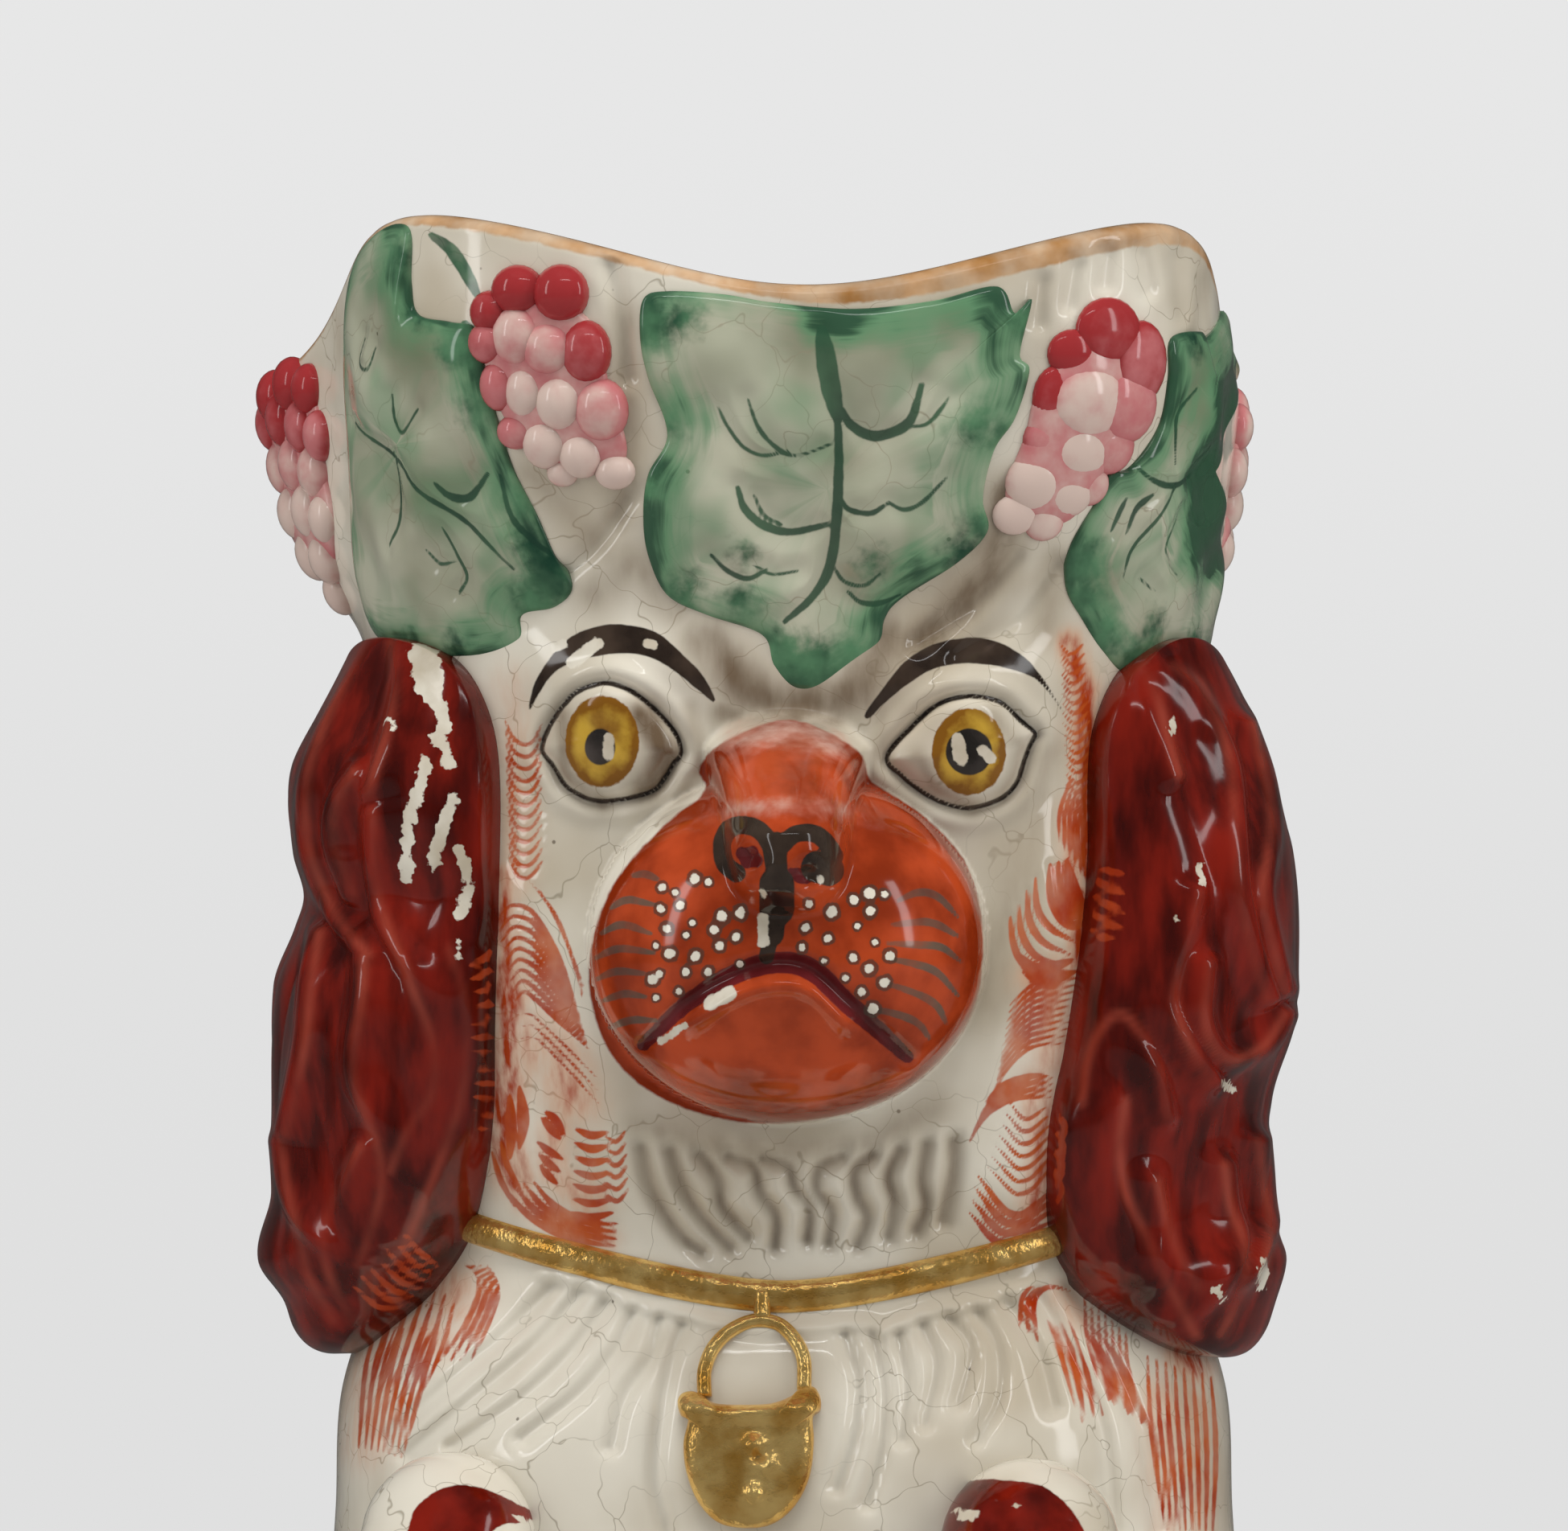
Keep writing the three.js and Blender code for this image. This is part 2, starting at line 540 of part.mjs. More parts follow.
const PADLOCK_OUTLINE_SHARES = [
  [1.02, 0.98],
  [1.05, 0.62],
  [0.96, 0.3],
  [0.92, -0.2],
  [0.62, -0.75],
  [0, -1],
  [-0.62, -0.75],
  [-0.92, -0.2],
  [-0.96, 0.3],
  [-1.05, 0.62],
  [-1.02, 0.98],
  [0, 0.92],
];

const padlockHeight = collarHeight(0) - PADLOCK.drop;

function padlockSolid(grow) {
  const [halfWidth, halfHeight] = [PADLOCK.halfWidth + grow, PADLOCK.halfHeight + grow];
  const outline = smoothOutline(PADLOCK_OUTLINE_SHARES, halfWidth, halfHeight, PADLOCK.sectors);
  const rise = (x, y, t) => {
    const keyhole = 1 - (x / KEYHOLE_BUMP.halfWidth) ** 2 - (y / KEYHOLE_BUMP.halfHeight) ** 2;
    const crown = PADLOCK.rise * (1 - PADLOCK_CROWN_SHARE * t * t);
    return grow + crown + KEYHOLE_BUMP.rise * Math.max(keyhole, 0);
  };
  return reliefSolid({ ...PADLOCK, z: padlockHeight }, outline, PADLOCK.rings, rise);
}

// Hoop of the padlock, from the top of its body up to the collar
function shackleSolid() {
  const half = SHACKLE.thickness / 2;
  const foot = padlockHeight + PADLOCK.halfHeight;
  const points = Array.from({ length: SHACKLE.points }, (_, i) => {
    const turn = (Math.PI * i) / (SHACKLE.points - 1);
    const z = foot + Math.sin(turn) * (SHACKLE.height - half);
    const x = -Math.cos(turn) * (SHACKLE.halfWidth - half);
    return raised(radians(PADLOCK.angle) + x / jugRadius(0, z), z, half);
  });
  const section = new THREE.Shape().absarc(0, 0, half, 0, 2 * Math.PI);
  const extrudePath = new THREE.CatmullRomCurve3(points);
  const options = { steps: SHACKLE.steps, curveSegments: SHACKLE.sides, extrudePath };
  return toSolid(new THREE.ExtrudeGeometry(section, options));
}

// Right ear, front edge to the left: outline as shares of the ear's half sizes
const EAR_OUTLINE_SHARES = [
  [-0.72, 0.97],
  [-0.95, 0.78],
  [-1.0, 0.36],
  [-0.9, -0.08],
  [-0.8, -0.42],
  [-0.52, -0.74],
  [-0.05, -0.98],
  [0.48, -1.0],
  [0.92, -0.7],
  [1.0, -0.15],
  [0.88, 0.5],
  [0.55, 0.86],
  [-0.1, 1.0],
];

function earSolid(word, grow) {
  const side = sides[word];
  const shares = EAR_OUTLINE_SHARES.map(([x, y]) => [side * x, y]);
  const outline = smoothOutline(shares, EAR.halfWidth + grow, EAR.halfHeight + grow, EAR_GRID.sectors);
  const middle = EAR.zShare * JUG_HEIGHT;
  const crest = jugRadius(radians(EAR.angle), middle);
  const rise = (x, y, t) => {
    const down = y / EAR.halfHeight;
    const drift = LOCKS.meander * Math.sin(LOCKS.waves * Math.PI * down);
    const locks = LOCKS.depth * Math.cos((Math.PI * LOCKS.count * (side * x + drift)) / EAR.halfWidth);
    const waist = Math.max(crest - jugRadius(radians(EAR.angle), middle + y), 0);
    const swell = EAR.rise * smoothColumn(EAR_SWELL_SHARES[word], down, 1);
    const hang = waist + swell - EAR_FLARES[word] * down;
    const round = Math.sqrt(1 - t ** EAR_ROUNDNESS);
    return grow + EAR.edge + (EAR.rise - EAR.edge + hang + locks) * round;
  };
  return reliefSolid({ angle: side * EAR.angle, z: middle }, outline, EAR_GRID.rings, rise);
}

function leafSolid(spec, grow) {
  const shares = spec.shares.map(([x, y]) => [spec.side * x, y]);
  const outline = smoothOutline(shares, spec.halfWidth + grow, spec.halfHeight + grow, LEAF.sectors);
  const rise = (x, y, t) => grow + LEAF.edge + (LEAF.rise - LEAF.edge) * (1 - t);
  return reliefSolid({ ...spec, z: belowRim(spec) }, outline, LEAF.rings, rise);
}

const BUNCH_OUTLINE_SHARES = [
  [0.8, 0.6],
  [0.6, -0.5],
  [0, -0.95],
  [-0.6, -0.5],
  [-0.8, 0.6],
  [0, 0.9],
];

function bunchSolid(spec, grow) {
  const lean = radians(spec.tilt);
  const [a0, z0] = [radians(spec.angle), belowRim(spec)];
  const rows = spec.rowCounts.length;
  const berries = spec.rowCounts.flatMap((count, row) =>
    Array.from({ length: count }, (_, i) => {
      const x = (i - (count - 1) / 2) * BERRY.pitch;
      const y = ((rows - 1) / 2 - row) * BERRY.rowPitch;
      const u = x * Math.cos(lean) - y * Math.sin(lean);
      const v = x * Math.sin(lean) + y * Math.cos(lean);
      const angleHere = a0 + u / jugRadius(a0, z0);
      const centre = raised(angleHere, Math.min(z0 + v, rimHeight(angleHere) - BERRY.radius), BERRY.lift);
      const radius = BERRY.radius + grow;
      return ellipsoid(centre, { ...BERRY, halfWidth: radius, halfLength: radius, height: radius });
    }),
  );
  const { rise, rings, sectors } = BUNCH_BACKING;
  const halfWidth = (Math.max(...spec.rowCounts) * BERRY.pitch) / 2;
  const outline = smoothOutline(BUNCH_OUTLINE_SHARES, halfWidth, (rows * BERRY.rowPitch) / 2, sectors);
  const backing = reliefSolid({ ...spec, z: z0 }, outline, rings, () => grow + rise);
  return union([backing, ...berries]);
}

// Right haunch: the knee at the front and the hip behind, as shares of its half sizes
const HAUNCH_OUTLINE_SHARES = [
  [-0.62, 0.86],
  [-0.95, 0.45],
  [-0.98, -0.05],
  [-0.8, -0.6],
  [-0.35, -0.95],
  [0.3, -1],
  [0.82, -0.7],
  [1, -0.15],
  [0.85, 0.4],
  [0.4, 0.8],
  [-0.1, 1],
];

function haunchSolid(side, grow) {
  const shares = HAUNCH_OUTLINE_SHARES.map(([x, y]) => [side * x, y]);
  const [halfWidth, halfHeight] = [HAUNCH.halfWidth + grow, HAUNCH.halfHeight + grow];
  const outline = smoothOutline(shares, halfWidth, halfHeight, HAUNCH_GRID.sectors);
  const rise = (x, y, t) => grow + HAUNCH.edge + (HAUNCH.rise - HAUNCH.edge) * Math.sqrt(1 - t * t);
  const place = { angle: LEG_TURN + side * HAUNCH.angle, z: HAUNCH.zShare * JUG_HEIGHT };
  return reliefSolid(place, outline, HAUNCH_GRID.rings, rise);
}

function forelegSolid(side) {
  const path = FORELEG_PATH_SHARES.map((step) => ({ ...step, angle: LEG_TURN + side * step.angle }));
  const paw = limbPoint(FORELEG, path[path.length - 1]);
  const { radius, height, columns, count, spread, out, drop } = FOREPAW_TOE;
  const toes = Array.from({ length: count }, (_, i) => {
    const shift = (i - (count - 1) / 2) * spread;
    const centre = paw.clone().add(new THREE.Vector3(shift, -out, -drop));
    return ellipsoid(centre, { halfWidth: radius, halfLength: radius, height, columns });
  });
  return union([limbSolid(FORELEG, path), ...toes]);
}

// Hind foot: a long low dome on the ground with toes at its front end
function hindFootSolid(side) {
  const heel = raised(radians(LEG_TURN + side * HIND_FOOT.angle), HIND_FOOT.lift, HIND_FOOT.out);
  const toes = Array.from({ length: HIND_TOE.count }, (_, i) => {
    const shift = (i - (HIND_TOE.count - 1) / 2) * HIND_TOE.spread;
    const forward = new THREE.Vector3(shift, HIND_TOE.inset - HIND_FOOT.halfLength, 0);
    return ellipsoid(heel.clone().add(forward), HIND_TOE);
  });
  return union([ellipsoid(heel, HIND_FOOT), ...toes]);
}

function handleSolid(grow) {
  const behind = (zShare, y) => new THREE.Vector3(0, y, zShare * JUG_HEIGHT);
  const root = (zShare) => behind(zShare, jugRadius(Math.PI, zShare * JUG_HEIGHT) - HANDLE.inside);
  const outwards = (reachShare) => BACK_DEPTH + reachShare * HANDLE.reach;
  const arch = HANDLE_ARCH_SHARES.map((step) => behind(step.zShare, outwards(step.reachShare)));
  const points = [root(HANDLE_ROOT_SHARES.top), ...arch, root(HANDLE_ROOT_SHARES.foot)];
  const [thick, wide] = [HANDLE.halfThickness + grow, HANDLE.halfWidth + grow];
  const section = new THREE.Shape().absellipse(0, 0, wide, thick, 0, 2 * Math.PI);
  const extrudePath = new THREE.CatmullRomCurve3(points);
  const options = { steps: HANDLE.steps, curveSegments: HANDLE.curveSegments, extrudePath };
  return toSolid(new THREE.ExtrudeGeometry(section, options));
}

const part = new THREE.Group();

function add(name, solid, finish) {
  const mesh = new THREE.Mesh(toGeometry(solid), new THREE.MeshStandardMaterial(finish));
  mesh.name = name;
  part.add(mesh);
}

const hollow = jug.subtract(insetLoft(WALL));
const leavesOver = Object.values(LEAVES).map((spec) => leafSolid(spec, CLEARANCE));
const bunchesOver = Object.values(BUNCHES).map((spec) => bunchSolid(spec, CLEARANCE));
const earsOver = Object.keys(sides).map((word) => earSolid(word, CLEARANCE));
const haunchesOver = Object.values(sides).map((side) => haunchSolid(side, CLEARANCE));
const handleOver = handleSolid(CLEARANCE);
const collar = fitted(collarSolid(0), earsOver);

add("front_shell", hollow.intersect(frontHalf), WHITE);
add("back_shell", hollow.intersect(backHalf), WHITE);
add("base_slab", baseSlab(), WHITE);
add("handle", fitted(handleSolid(0)), WHITE);
add("collar_front", collar.intersect(frontHalf), GOLD);
add("collar_back", collar.intersect(backHalf), GOLD);
add("padlock_body", fitted(padlockSolid(0)), GOLD);
add("padlock_shackle", fitted(shackleSolid(), [padlockSolid(CLEARANCE), collarSolid(CLEARANCE)]), GOLD);
add("tail", fitted(limbSolid(TAIL, TAIL_PATH_SHARES), haunchesOver), RED);
Object.entries(LEAVES).forEach(([name, spec]) => add(name, fitted(leafSolid(spec, 0), [handleOver]), GREEN));
Object.entries(BUNCHES).forEach(([name, spec]) => add(name, fitted(bunchSolid(spec, 0), leavesOver), PINK));
Object.entries(sides).forEach(([word, side]) => {
  add(`${word}_ear`, fitted(earSolid(word, 0), [...leavesOver, ...bunchesOver]), RED);
  add(`${word}_foreleg`, fitted(forelegSolid(side), haunchesOver), WHITE);
  add(`${word}_haunch`, fitted(haunchSolid(side, 0)), WHITE);
  add(`${word}_hind_foot`, fitted(hindFootSolid(side), haunchesOver), WHITE);
});

export default part;
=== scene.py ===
"""Begging spaniel jug in glazed and painted earthenware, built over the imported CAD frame.

Tables and geometry are in millimetres, Blender's own values in metres. The dog faces -Y, +X is the
viewer's right and +Z is up. Angles are in degrees from the front, towards +X. The painting's places
are in the photograph's pixels.
"""

import math

import bmesh
import bpy
import numpy as np
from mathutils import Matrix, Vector


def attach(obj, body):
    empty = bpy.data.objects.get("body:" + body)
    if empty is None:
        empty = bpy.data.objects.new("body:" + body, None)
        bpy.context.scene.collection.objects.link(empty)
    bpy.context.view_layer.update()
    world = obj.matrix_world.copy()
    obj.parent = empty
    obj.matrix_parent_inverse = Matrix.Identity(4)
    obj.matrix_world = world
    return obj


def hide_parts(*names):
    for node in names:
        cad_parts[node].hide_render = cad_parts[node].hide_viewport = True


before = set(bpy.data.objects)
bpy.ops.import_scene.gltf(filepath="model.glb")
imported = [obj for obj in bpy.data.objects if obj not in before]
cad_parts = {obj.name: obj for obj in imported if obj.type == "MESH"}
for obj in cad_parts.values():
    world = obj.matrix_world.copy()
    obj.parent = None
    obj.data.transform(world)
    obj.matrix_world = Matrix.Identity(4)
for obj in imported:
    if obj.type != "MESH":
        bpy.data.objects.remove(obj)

bl_info = {
    "name": "Begging spaniel jug",
    "version": (1, 0, 0),
    "blender": (4, 5, 0),
    "location": "View3D > Sidebar > Spaniel jug",
    "description": "Builds a glazed earthenware spaniel jug over its CAD frame",
    "category": "Object",
}

MM = 0.001
BODY = "root"

# Driving dimensions, as in the CAD source
JUG_HEIGHT = 262.0
HALF_WIDTH = 64.0
FRONT_DEPTH = 54.0
BACK_DEPTH = 58.0
BASE_THICKNESS = 6.0

# Body stations: shares of the height, half width, front depth and back depth, and squareness
STATION_SHARES = np.array(
    [
        [0.0, 0.906, 0.926, 0.914, 2.3],
        [0.046, 0.969, 0.981, 0.974, 2.3],
        [0.13, 1.0, 1.0, 1.0, 2.3],
        [0.229, 0.953, 0.981, 0.974, 2.3],
        [0.324, 0.892, 0.944, 0.931, 2.3],
        [0.401, 0.867, 0.935, 0.905, 2.3],
        [0.454, 0.858, 0.917, 0.888, 2.25],
        [0.489, 0.816, 0.861, 0.845, 2.2],
        [0.511, 0.766, 0.806, 0.81, 2.2],
        [0.538, 0.753, 0.778, 0.793, 2.2],
        [0.595, 0.789, 0.815, 0.819, 2.2],
        [0.687, 0.8125, 0.852, 0.845, 2.2],
        [0.775, 0.804, 0.861, 0.845, 2.25],
        [0.817, 0.81, 0.87, 0.845, 2.4],
        [0.87, 0.822, 0.926, 0.879, 2.7],
        [0.931, 0.836, 0.972, 0.914, 3.0],
        [1.0, 0.828, 0.991, 0.931, 3.1],
    ]
)
HAT_FOOT_SHARE = 0.783
LOBES = {"from_share": 0.8, "to_share": 0.87, "lip_share": 0.93, "lip_growth": 0.2, "spread": 19, "rise": 9.5}
LOBE_SHARES = ((-97, 1.0), (108, 0.42))
RIM = {"crest": 1.6, "round": 1.4, "dip": 18.0}
# Dips of the rim: angle, share of the dip, spread and steepness
RIM_DIP_SHARES = ((3, 0.617, 36, 2), (100, 1.0, 34, 3), (-100, 1.0, 34, 3), (180, 0.56, 32, 3))
COLLAR = {"throat_share": 0.515, "climb": 14.0, "climb_angle": 65, "climb_power": 1.6}

# Camera of the photograph: it looks level along +Y at the lens's height
CAMERA = {"distance": 700.0, "height": 197.0, "focal_px": 7000.0, "sensor": 36.0}
PHOTO = {"width": 1950, "height": 1904, "centre_x": 975.0, "centre_y": 952.0}
PX_PER_MM = 10.0
FAR = 6.0

# Face relief in millimetres
MUZZLE = {"x": 0.4, "y": -44.0, "z": 175.9, "half_width": 23.3, "half_height": 20.6}
SNOUT_PROFILE = (
    (206.0, -41.0), (203.0, -47.0), (199.5, -55.0), (195.5, -62.2), (192.5, -66.6), (189.5, -69.4),
    (186.0, -70.2), (183.2, -69.2), (180.8, -65.6), (178.6, -57.0), (176.4, -46.0),
)
SNOUT_HALF_WIDTHS = (
    (176.4, 5.6), (180.0, 7.4), (183.0, 8.4), (187.0, 8.9), (191.0, 8.6), (195.0, 9.4), (199.0, 10.2),
    (202.0, 8.0), (205.0, 2.0),
)
SNOUT = {"x": 0.4, "squareness": 2.5, "base": -40.0, "blend": 0.9, "deepest": -90}
EYE_DOME = {"reach": 6.4, "crease": 0.5, "crease_width": 0.5}
LID = {"rise": 0.9, "offset": 1.7, "width": 1.3}
BROW_DOMES = ((-19.5, 208.0, 13.0, 5.0, 2.4), (20.5, 207.0, 13.0, 5.0, 2.4))
CHEEK_DOMES = ((-31.0, 172.0, 8.0, 20.0, 1.6), (31.0, 172.0, 8.0, 20.0, 1.6))
CHIN_DOME = (1.0, 149.0, 24.0, 7.0, 3.4)
MOUTH_RELIEF = {"depth": 1.1, "width": 1.0, "lip": 1.5, "lip_drop": 28, "lip_width": 1.3}
NOSTRILS = ((932, 1068), (1004, 1088))
NOSTRIL_RELIEF = {"depth": 2.4, "width": 1.7}
FUR_RELIEF = {"depth": 0.12, "width": 0.6}
CURL_RELIEF = {"depth": 1.4, "width": 1.5}
# Painted shade, with pooled glaze, in the grooves of the throat's curls: half width and strength
CURL_POOL_AND_SHADE = {"width": 1.2, "strength": 0.75}

# Painting of the face, as outlines and lines in photograph pixels
MUZZLE_PATCH = (
    (872, 955), (905, 922), (985, 897), (1065, 935), (1082, 972), (1140, 1010), (1190, 1060), (1215, 1120),
    (1220, 1200), (1202, 1270), (1150, 1335), (1080, 1375), (985, 1394), (900, 1390), (820, 1362),
    (765, 1315), (738, 1250), (737, 1180), (765, 1100), (825, 1030), (878, 985),
)
# How far the orange spills past its outline, in millimetres
MUZZLE_SPILL = 0.2
LEFT_EYE = (
    (674, 930), (690, 893), (715, 863), (740, 852), (758, 850), (782, 858), (804, 873), (826, 894),
    (842, 916), (847, 937), (837, 950), (826, 968), (812, 983), (779, 993), (743, 996), (720, 988),
    (702, 975), (688, 952),
)
RIGHT_EYE = (
    (1103, 942), (1134, 904), (1167, 876), (1205, 866), (1243, 873), (1269, 896), (1287, 912), (1282, 924),
    (1274, 945), (1266, 970), (1254, 986), (1238, 996), (1205, 1005), (1172, 998), (1144, 983), (1122, 965),
)
EYE_LINE = 0.29
IRISES = ((749, 922, 46, 57), (1205, 935, 46, 54))
PUPILS = ((746, 929, 19, 23), (1205, 935, 29, 29))
PUPIL_CHIPS = (
    (((757, 918), (756, 938)), 0.75), (((1190, 920), (1196, 945)), 0.8), (((1222, 934), (1231, 942)), 0.7),
)
LEFT_BROW = (
    (658, 884), (662, 858), (677, 828), (707, 794), (743, 779), (779, 777), (817, 787), (850, 815),
    (876, 843), (890, 874), (868, 858), (837, 833), (804, 816), (766, 813), (728, 819), (702, 828),
    (684, 842), (669, 865),
)
RIGHT_BROW = (
    (1075, 889), (1093, 863), (1123, 825), (1159, 802), (1205, 793), (1243, 799), (1277, 820), (1302, 851),
    (1325, 891), (1299, 855), (1277, 839), (1238, 828), (1195, 825), (1159, 833), (1129, 851), (1098, 876),
    (1082, 893),
)
BROW_CHIPS = (
    (((690, 806), (700, 800)), 0.6), (((712, 824), (742, 800)), 0.8), (((806, 800), (812, 802)), 0.6),
)
MOUTH_LINE = (
    (800, 1299), (858, 1245), (917, 1210), (967, 1197), (1009, 1206), (1051, 1245), (1093, 1282),
    (1128, 1314),
)
MOUTH_HALF_WIDTH = 1.35
MOUTH_CHIPS = ((((884, 1248), (908, 1236)), 0.9), (((820, 1296), (850, 1276)), 0.45))
NOSE_MARKS = (
    (
        (
            (916, 1086), (902, 1074), (898, 1050), (907, 1031), (926, 1026), (946, 1034), (958, 1052),
            (963, 1076),
        ),
        1.15,
    ),
    (((972, 1052), (988, 1038), (1010, 1036), (1026, 1046), (1038, 1064)), 1.1),
    (((1016, 1078), (1030, 1082)), 2.0), (((966, 1046), (968, 1100)), 1.2), (((966, 1100), (966, 1130)), 2.2),
    (((964, 1130), (960, 1162)), 1.5), (((960, 1160), (953, 1190)), 0.95),
)
# Painted shade: the mouth's dark red in the nostrils' hollows, as line and half width
NOSTRIL_SHADE_MARKS = ((((924, 1062), (940, 1070)), 1.5), (((984, 1084), (1004, 1094)), 0.9))
NOSE_CHIPS = (
    (((949, 1142), (949, 1172)), 0.65), (((948, 1108), (950, 1114)), 0.3),
    (((1020, 1092), (1021, 1096)), 0.4),
)
# Orange worn pale on the snout's bridge, and a painted highlight along the nose's top edge: line and half
# width
WORN_SNOUT_AND_HIGHLIGHT = ((((912, 918), (980, 912), (1040, 926)), 1.0), (((905, 1008), (980, 1002), (1050, 1010)), 0.2))
WHISKERS = (
    ((786, 1089), (802, 1087), (819, 1094)), ((760, 1129), (781, 1119), (816, 1126)),
    ((747, 1161), (774, 1150), (809, 1161)), ((739, 1192), (770, 1180), (814, 1185)),
    ((742, 1218), (767, 1208), (802, 1211)), ((749, 1245), (777, 1236), (803, 1240)),
    ((758, 1278), (784, 1269), (816, 1269)), ((1191, 1140), (1166, 1115), (1142, 1110), (1117, 1120)),
    ((1191, 1164), (1156, 1147), (1110, 1150)), ((1195, 1196), (1170, 1178), (1138, 1175), (1103, 1173)),
    ((1191, 1238), (1166, 1210), (1138, 1199), (1103, 1192)),
    ((1177, 1273), (1166, 1252), (1145, 1238), (1100, 1222)),
    ((1156, 1292), (1142, 1273), (1114, 1261), (1079, 1254)),
)
WHISKER_HALF_WIDTH = 0.5
DOTS = (
    (823, 1104), (840, 1110), (864, 1093), (881, 1097), (822, 1130), (846, 1126), (898, 1140), (921, 1135),
    (861, 1148), (829, 1155), (888, 1157), (853, 1163), (915, 1165), (895, 1176), (816, 1176), (833, 1186),
    (865, 1189), (853, 1209), (881, 1209), (820, 1211), (812, 1218), (920, 1199), (844, 1233), (816, 1241),
    (1081, 1111), (1100, 1112), (1062, 1119), (1006, 1124), (1034, 1134), (1082, 1133), (1066, 1152),
    (1002, 1154), (1030, 1167), (1088, 1172), (998, 1178), (1061, 1191), (1025, 1195), (1106, 1188),
    (1081, 1205), (1051, 1216), (1100, 1222), (1072, 1234), (1086, 1254),
)
DOT = {
    "white": 0.52, "ring": 0.9, "vary": 0.25, "rough": 0.55, "shift": 0.26, "soft": 0.07, "ring_soft": 0.08,
}

# Painted fur: fans between a first and a last line, with the number of strokes and their half width
FUR_FANS = (
    (
        ((628, 895), (640, 920), (660, 925), (674, 900)),
        ((632, 1065), (645, 1090), (660, 1090), (675, 1070)), 12, 0.28,
    ),
    (
        ((618, 1146), (633, 1127), (660, 1132), (693, 1186), (716, 1248)),
        ((640, 1246), (652, 1233), (676, 1252), (702, 1276), (732, 1304)), 9, 0.36,
    ),
    (
        ((660, 1098), (690, 1136), (712, 1190), (726, 1226)),
        ((672, 1108), (700, 1160), (716, 1206), (724, 1240)), 3, 0.24,
    ),
    (
        ((642, 1262), (660, 1262), (700, 1298), (742, 1340)),
        ((646, 1292), (664, 1290), (706, 1330), (744, 1372)), 3, 0.2,
    ),
    (((646, 1352), (651, 1392), (646, 1428)), ((634, 1362), (636, 1402), (634, 1440)), 2, 0.75),
    (((622, 1420), (632, 1452), (650, 1484)), ((612, 1432), (622, 1466), (640, 1500)), 2, 0.4),
    (((678, 1382), (690, 1392), (702, 1412)), ((674, 1390), (684, 1402), (696, 1416)), 2, 0.6),
    (((668, 1420), (684, 1432), (700, 1442)), ((672, 1450), (682, 1462), (694, 1474)), 3, 0.5),
    (((716, 1404), (736, 1412), (756, 1408)), ((712, 1508), (736, 1514), (762, 1508)), 7, 0.52),
    (((752, 1412), (766, 1420), (778, 1406)), ((752, 1484), (768, 1494), (782, 1478)), 6, 0.3),
    (
        ((664, 1470), (690, 1500), (730, 1520), (768, 1522)),
        ((626, 1476), (660, 1514), (710, 1540), (765, 1550)), 4, 0.5,
    ),
    (((1318, 800), (1332, 814), (1348, 800)), ((1326, 1000), (1344, 1010), (1362, 992)), 17, 0.26),
    (((1318, 1050), (1318, 1010), (1332, 968)), ((1352, 1100), (1346, 1050), (1352, 985)), 6, 0.3),
    (
        ((1288, 1092), (1290, 1128), (1306, 1154), (1338, 1172)),
        ((1256, 1140), (1262, 1180), (1282, 1208), (1318, 1216)), 4, 0.5,
    ),
    (
        ((1306, 1076), (1312, 1120), (1330, 1150), (1350, 1146)),
        ((1326, 1070), (1336, 1110), (1348, 1128), (1360, 1112)), 3, 0.95,
    ),
    (((1264, 1186), (1292, 1206), (1334, 1194)), ((1272, 1208), (1298, 1220), (1338, 1208)), 2, 0.8),
    (
        ((1256, 1250), (1282, 1226), (1312, 1212), (1350, 1206)),
        ((1238, 1352), (1262, 1318), (1290, 1300), (1324, 1298)), 11, 0.27,
    ),
    (
        ((1226, 1370), (1250, 1348), (1285, 1338), (1310, 1340)),
        ((1206, 1420), (1226, 1386), (1262, 1366), (1306, 1364)), 4, 0.44,
    ),
    (((1256, 1372), (1276, 1392), (1302, 1376)), ((1228, 1450), (1270, 1486), (1314, 1444)), 7, 0.3),
    (((1216, 1462), (1262, 1512), (1316, 1474)), ((1206, 1508), (1246, 1546), (1310, 1518)), 4, 0.5),
)
# Thin washes between the strokes: line, half width and strength
CHEEK_HAZE = (
    (((634, 850), (642, 960), (640, 1100)), 2.4, 0.3), (((624, 1090), (630, 1190)), 1.8, 0.85),
    (((664, 1290), (694, 1320), (712, 1366)), 3.6, 0.7),
    (((630, 1200), (634, 1330), (624, 1400), (640, 1465)), 2.4, 1.0),
    (((690, 1405), (690, 1460), (735, 1495)), 2.4, 0.6), (((650, 1490), (700, 1525), (755, 1540)), 1.6, 0.7),
    (((1330, 800), (1350, 860), (1352, 1000), (1350, 1080)), 1.6, 1.0),
    (((1338, 1010), (1340, 1070), (1335, 1140)), 2.0, 0.75), (((1345, 1110), (1340, 1200)), 1.4, 0.9),
    (((1290, 1215), (1320, 1210), (1310, 1320)), 2.6, 0.6),
    (((1290, 1350), (1300, 1430), (1294, 1500)), 2.4, 0.85),
)
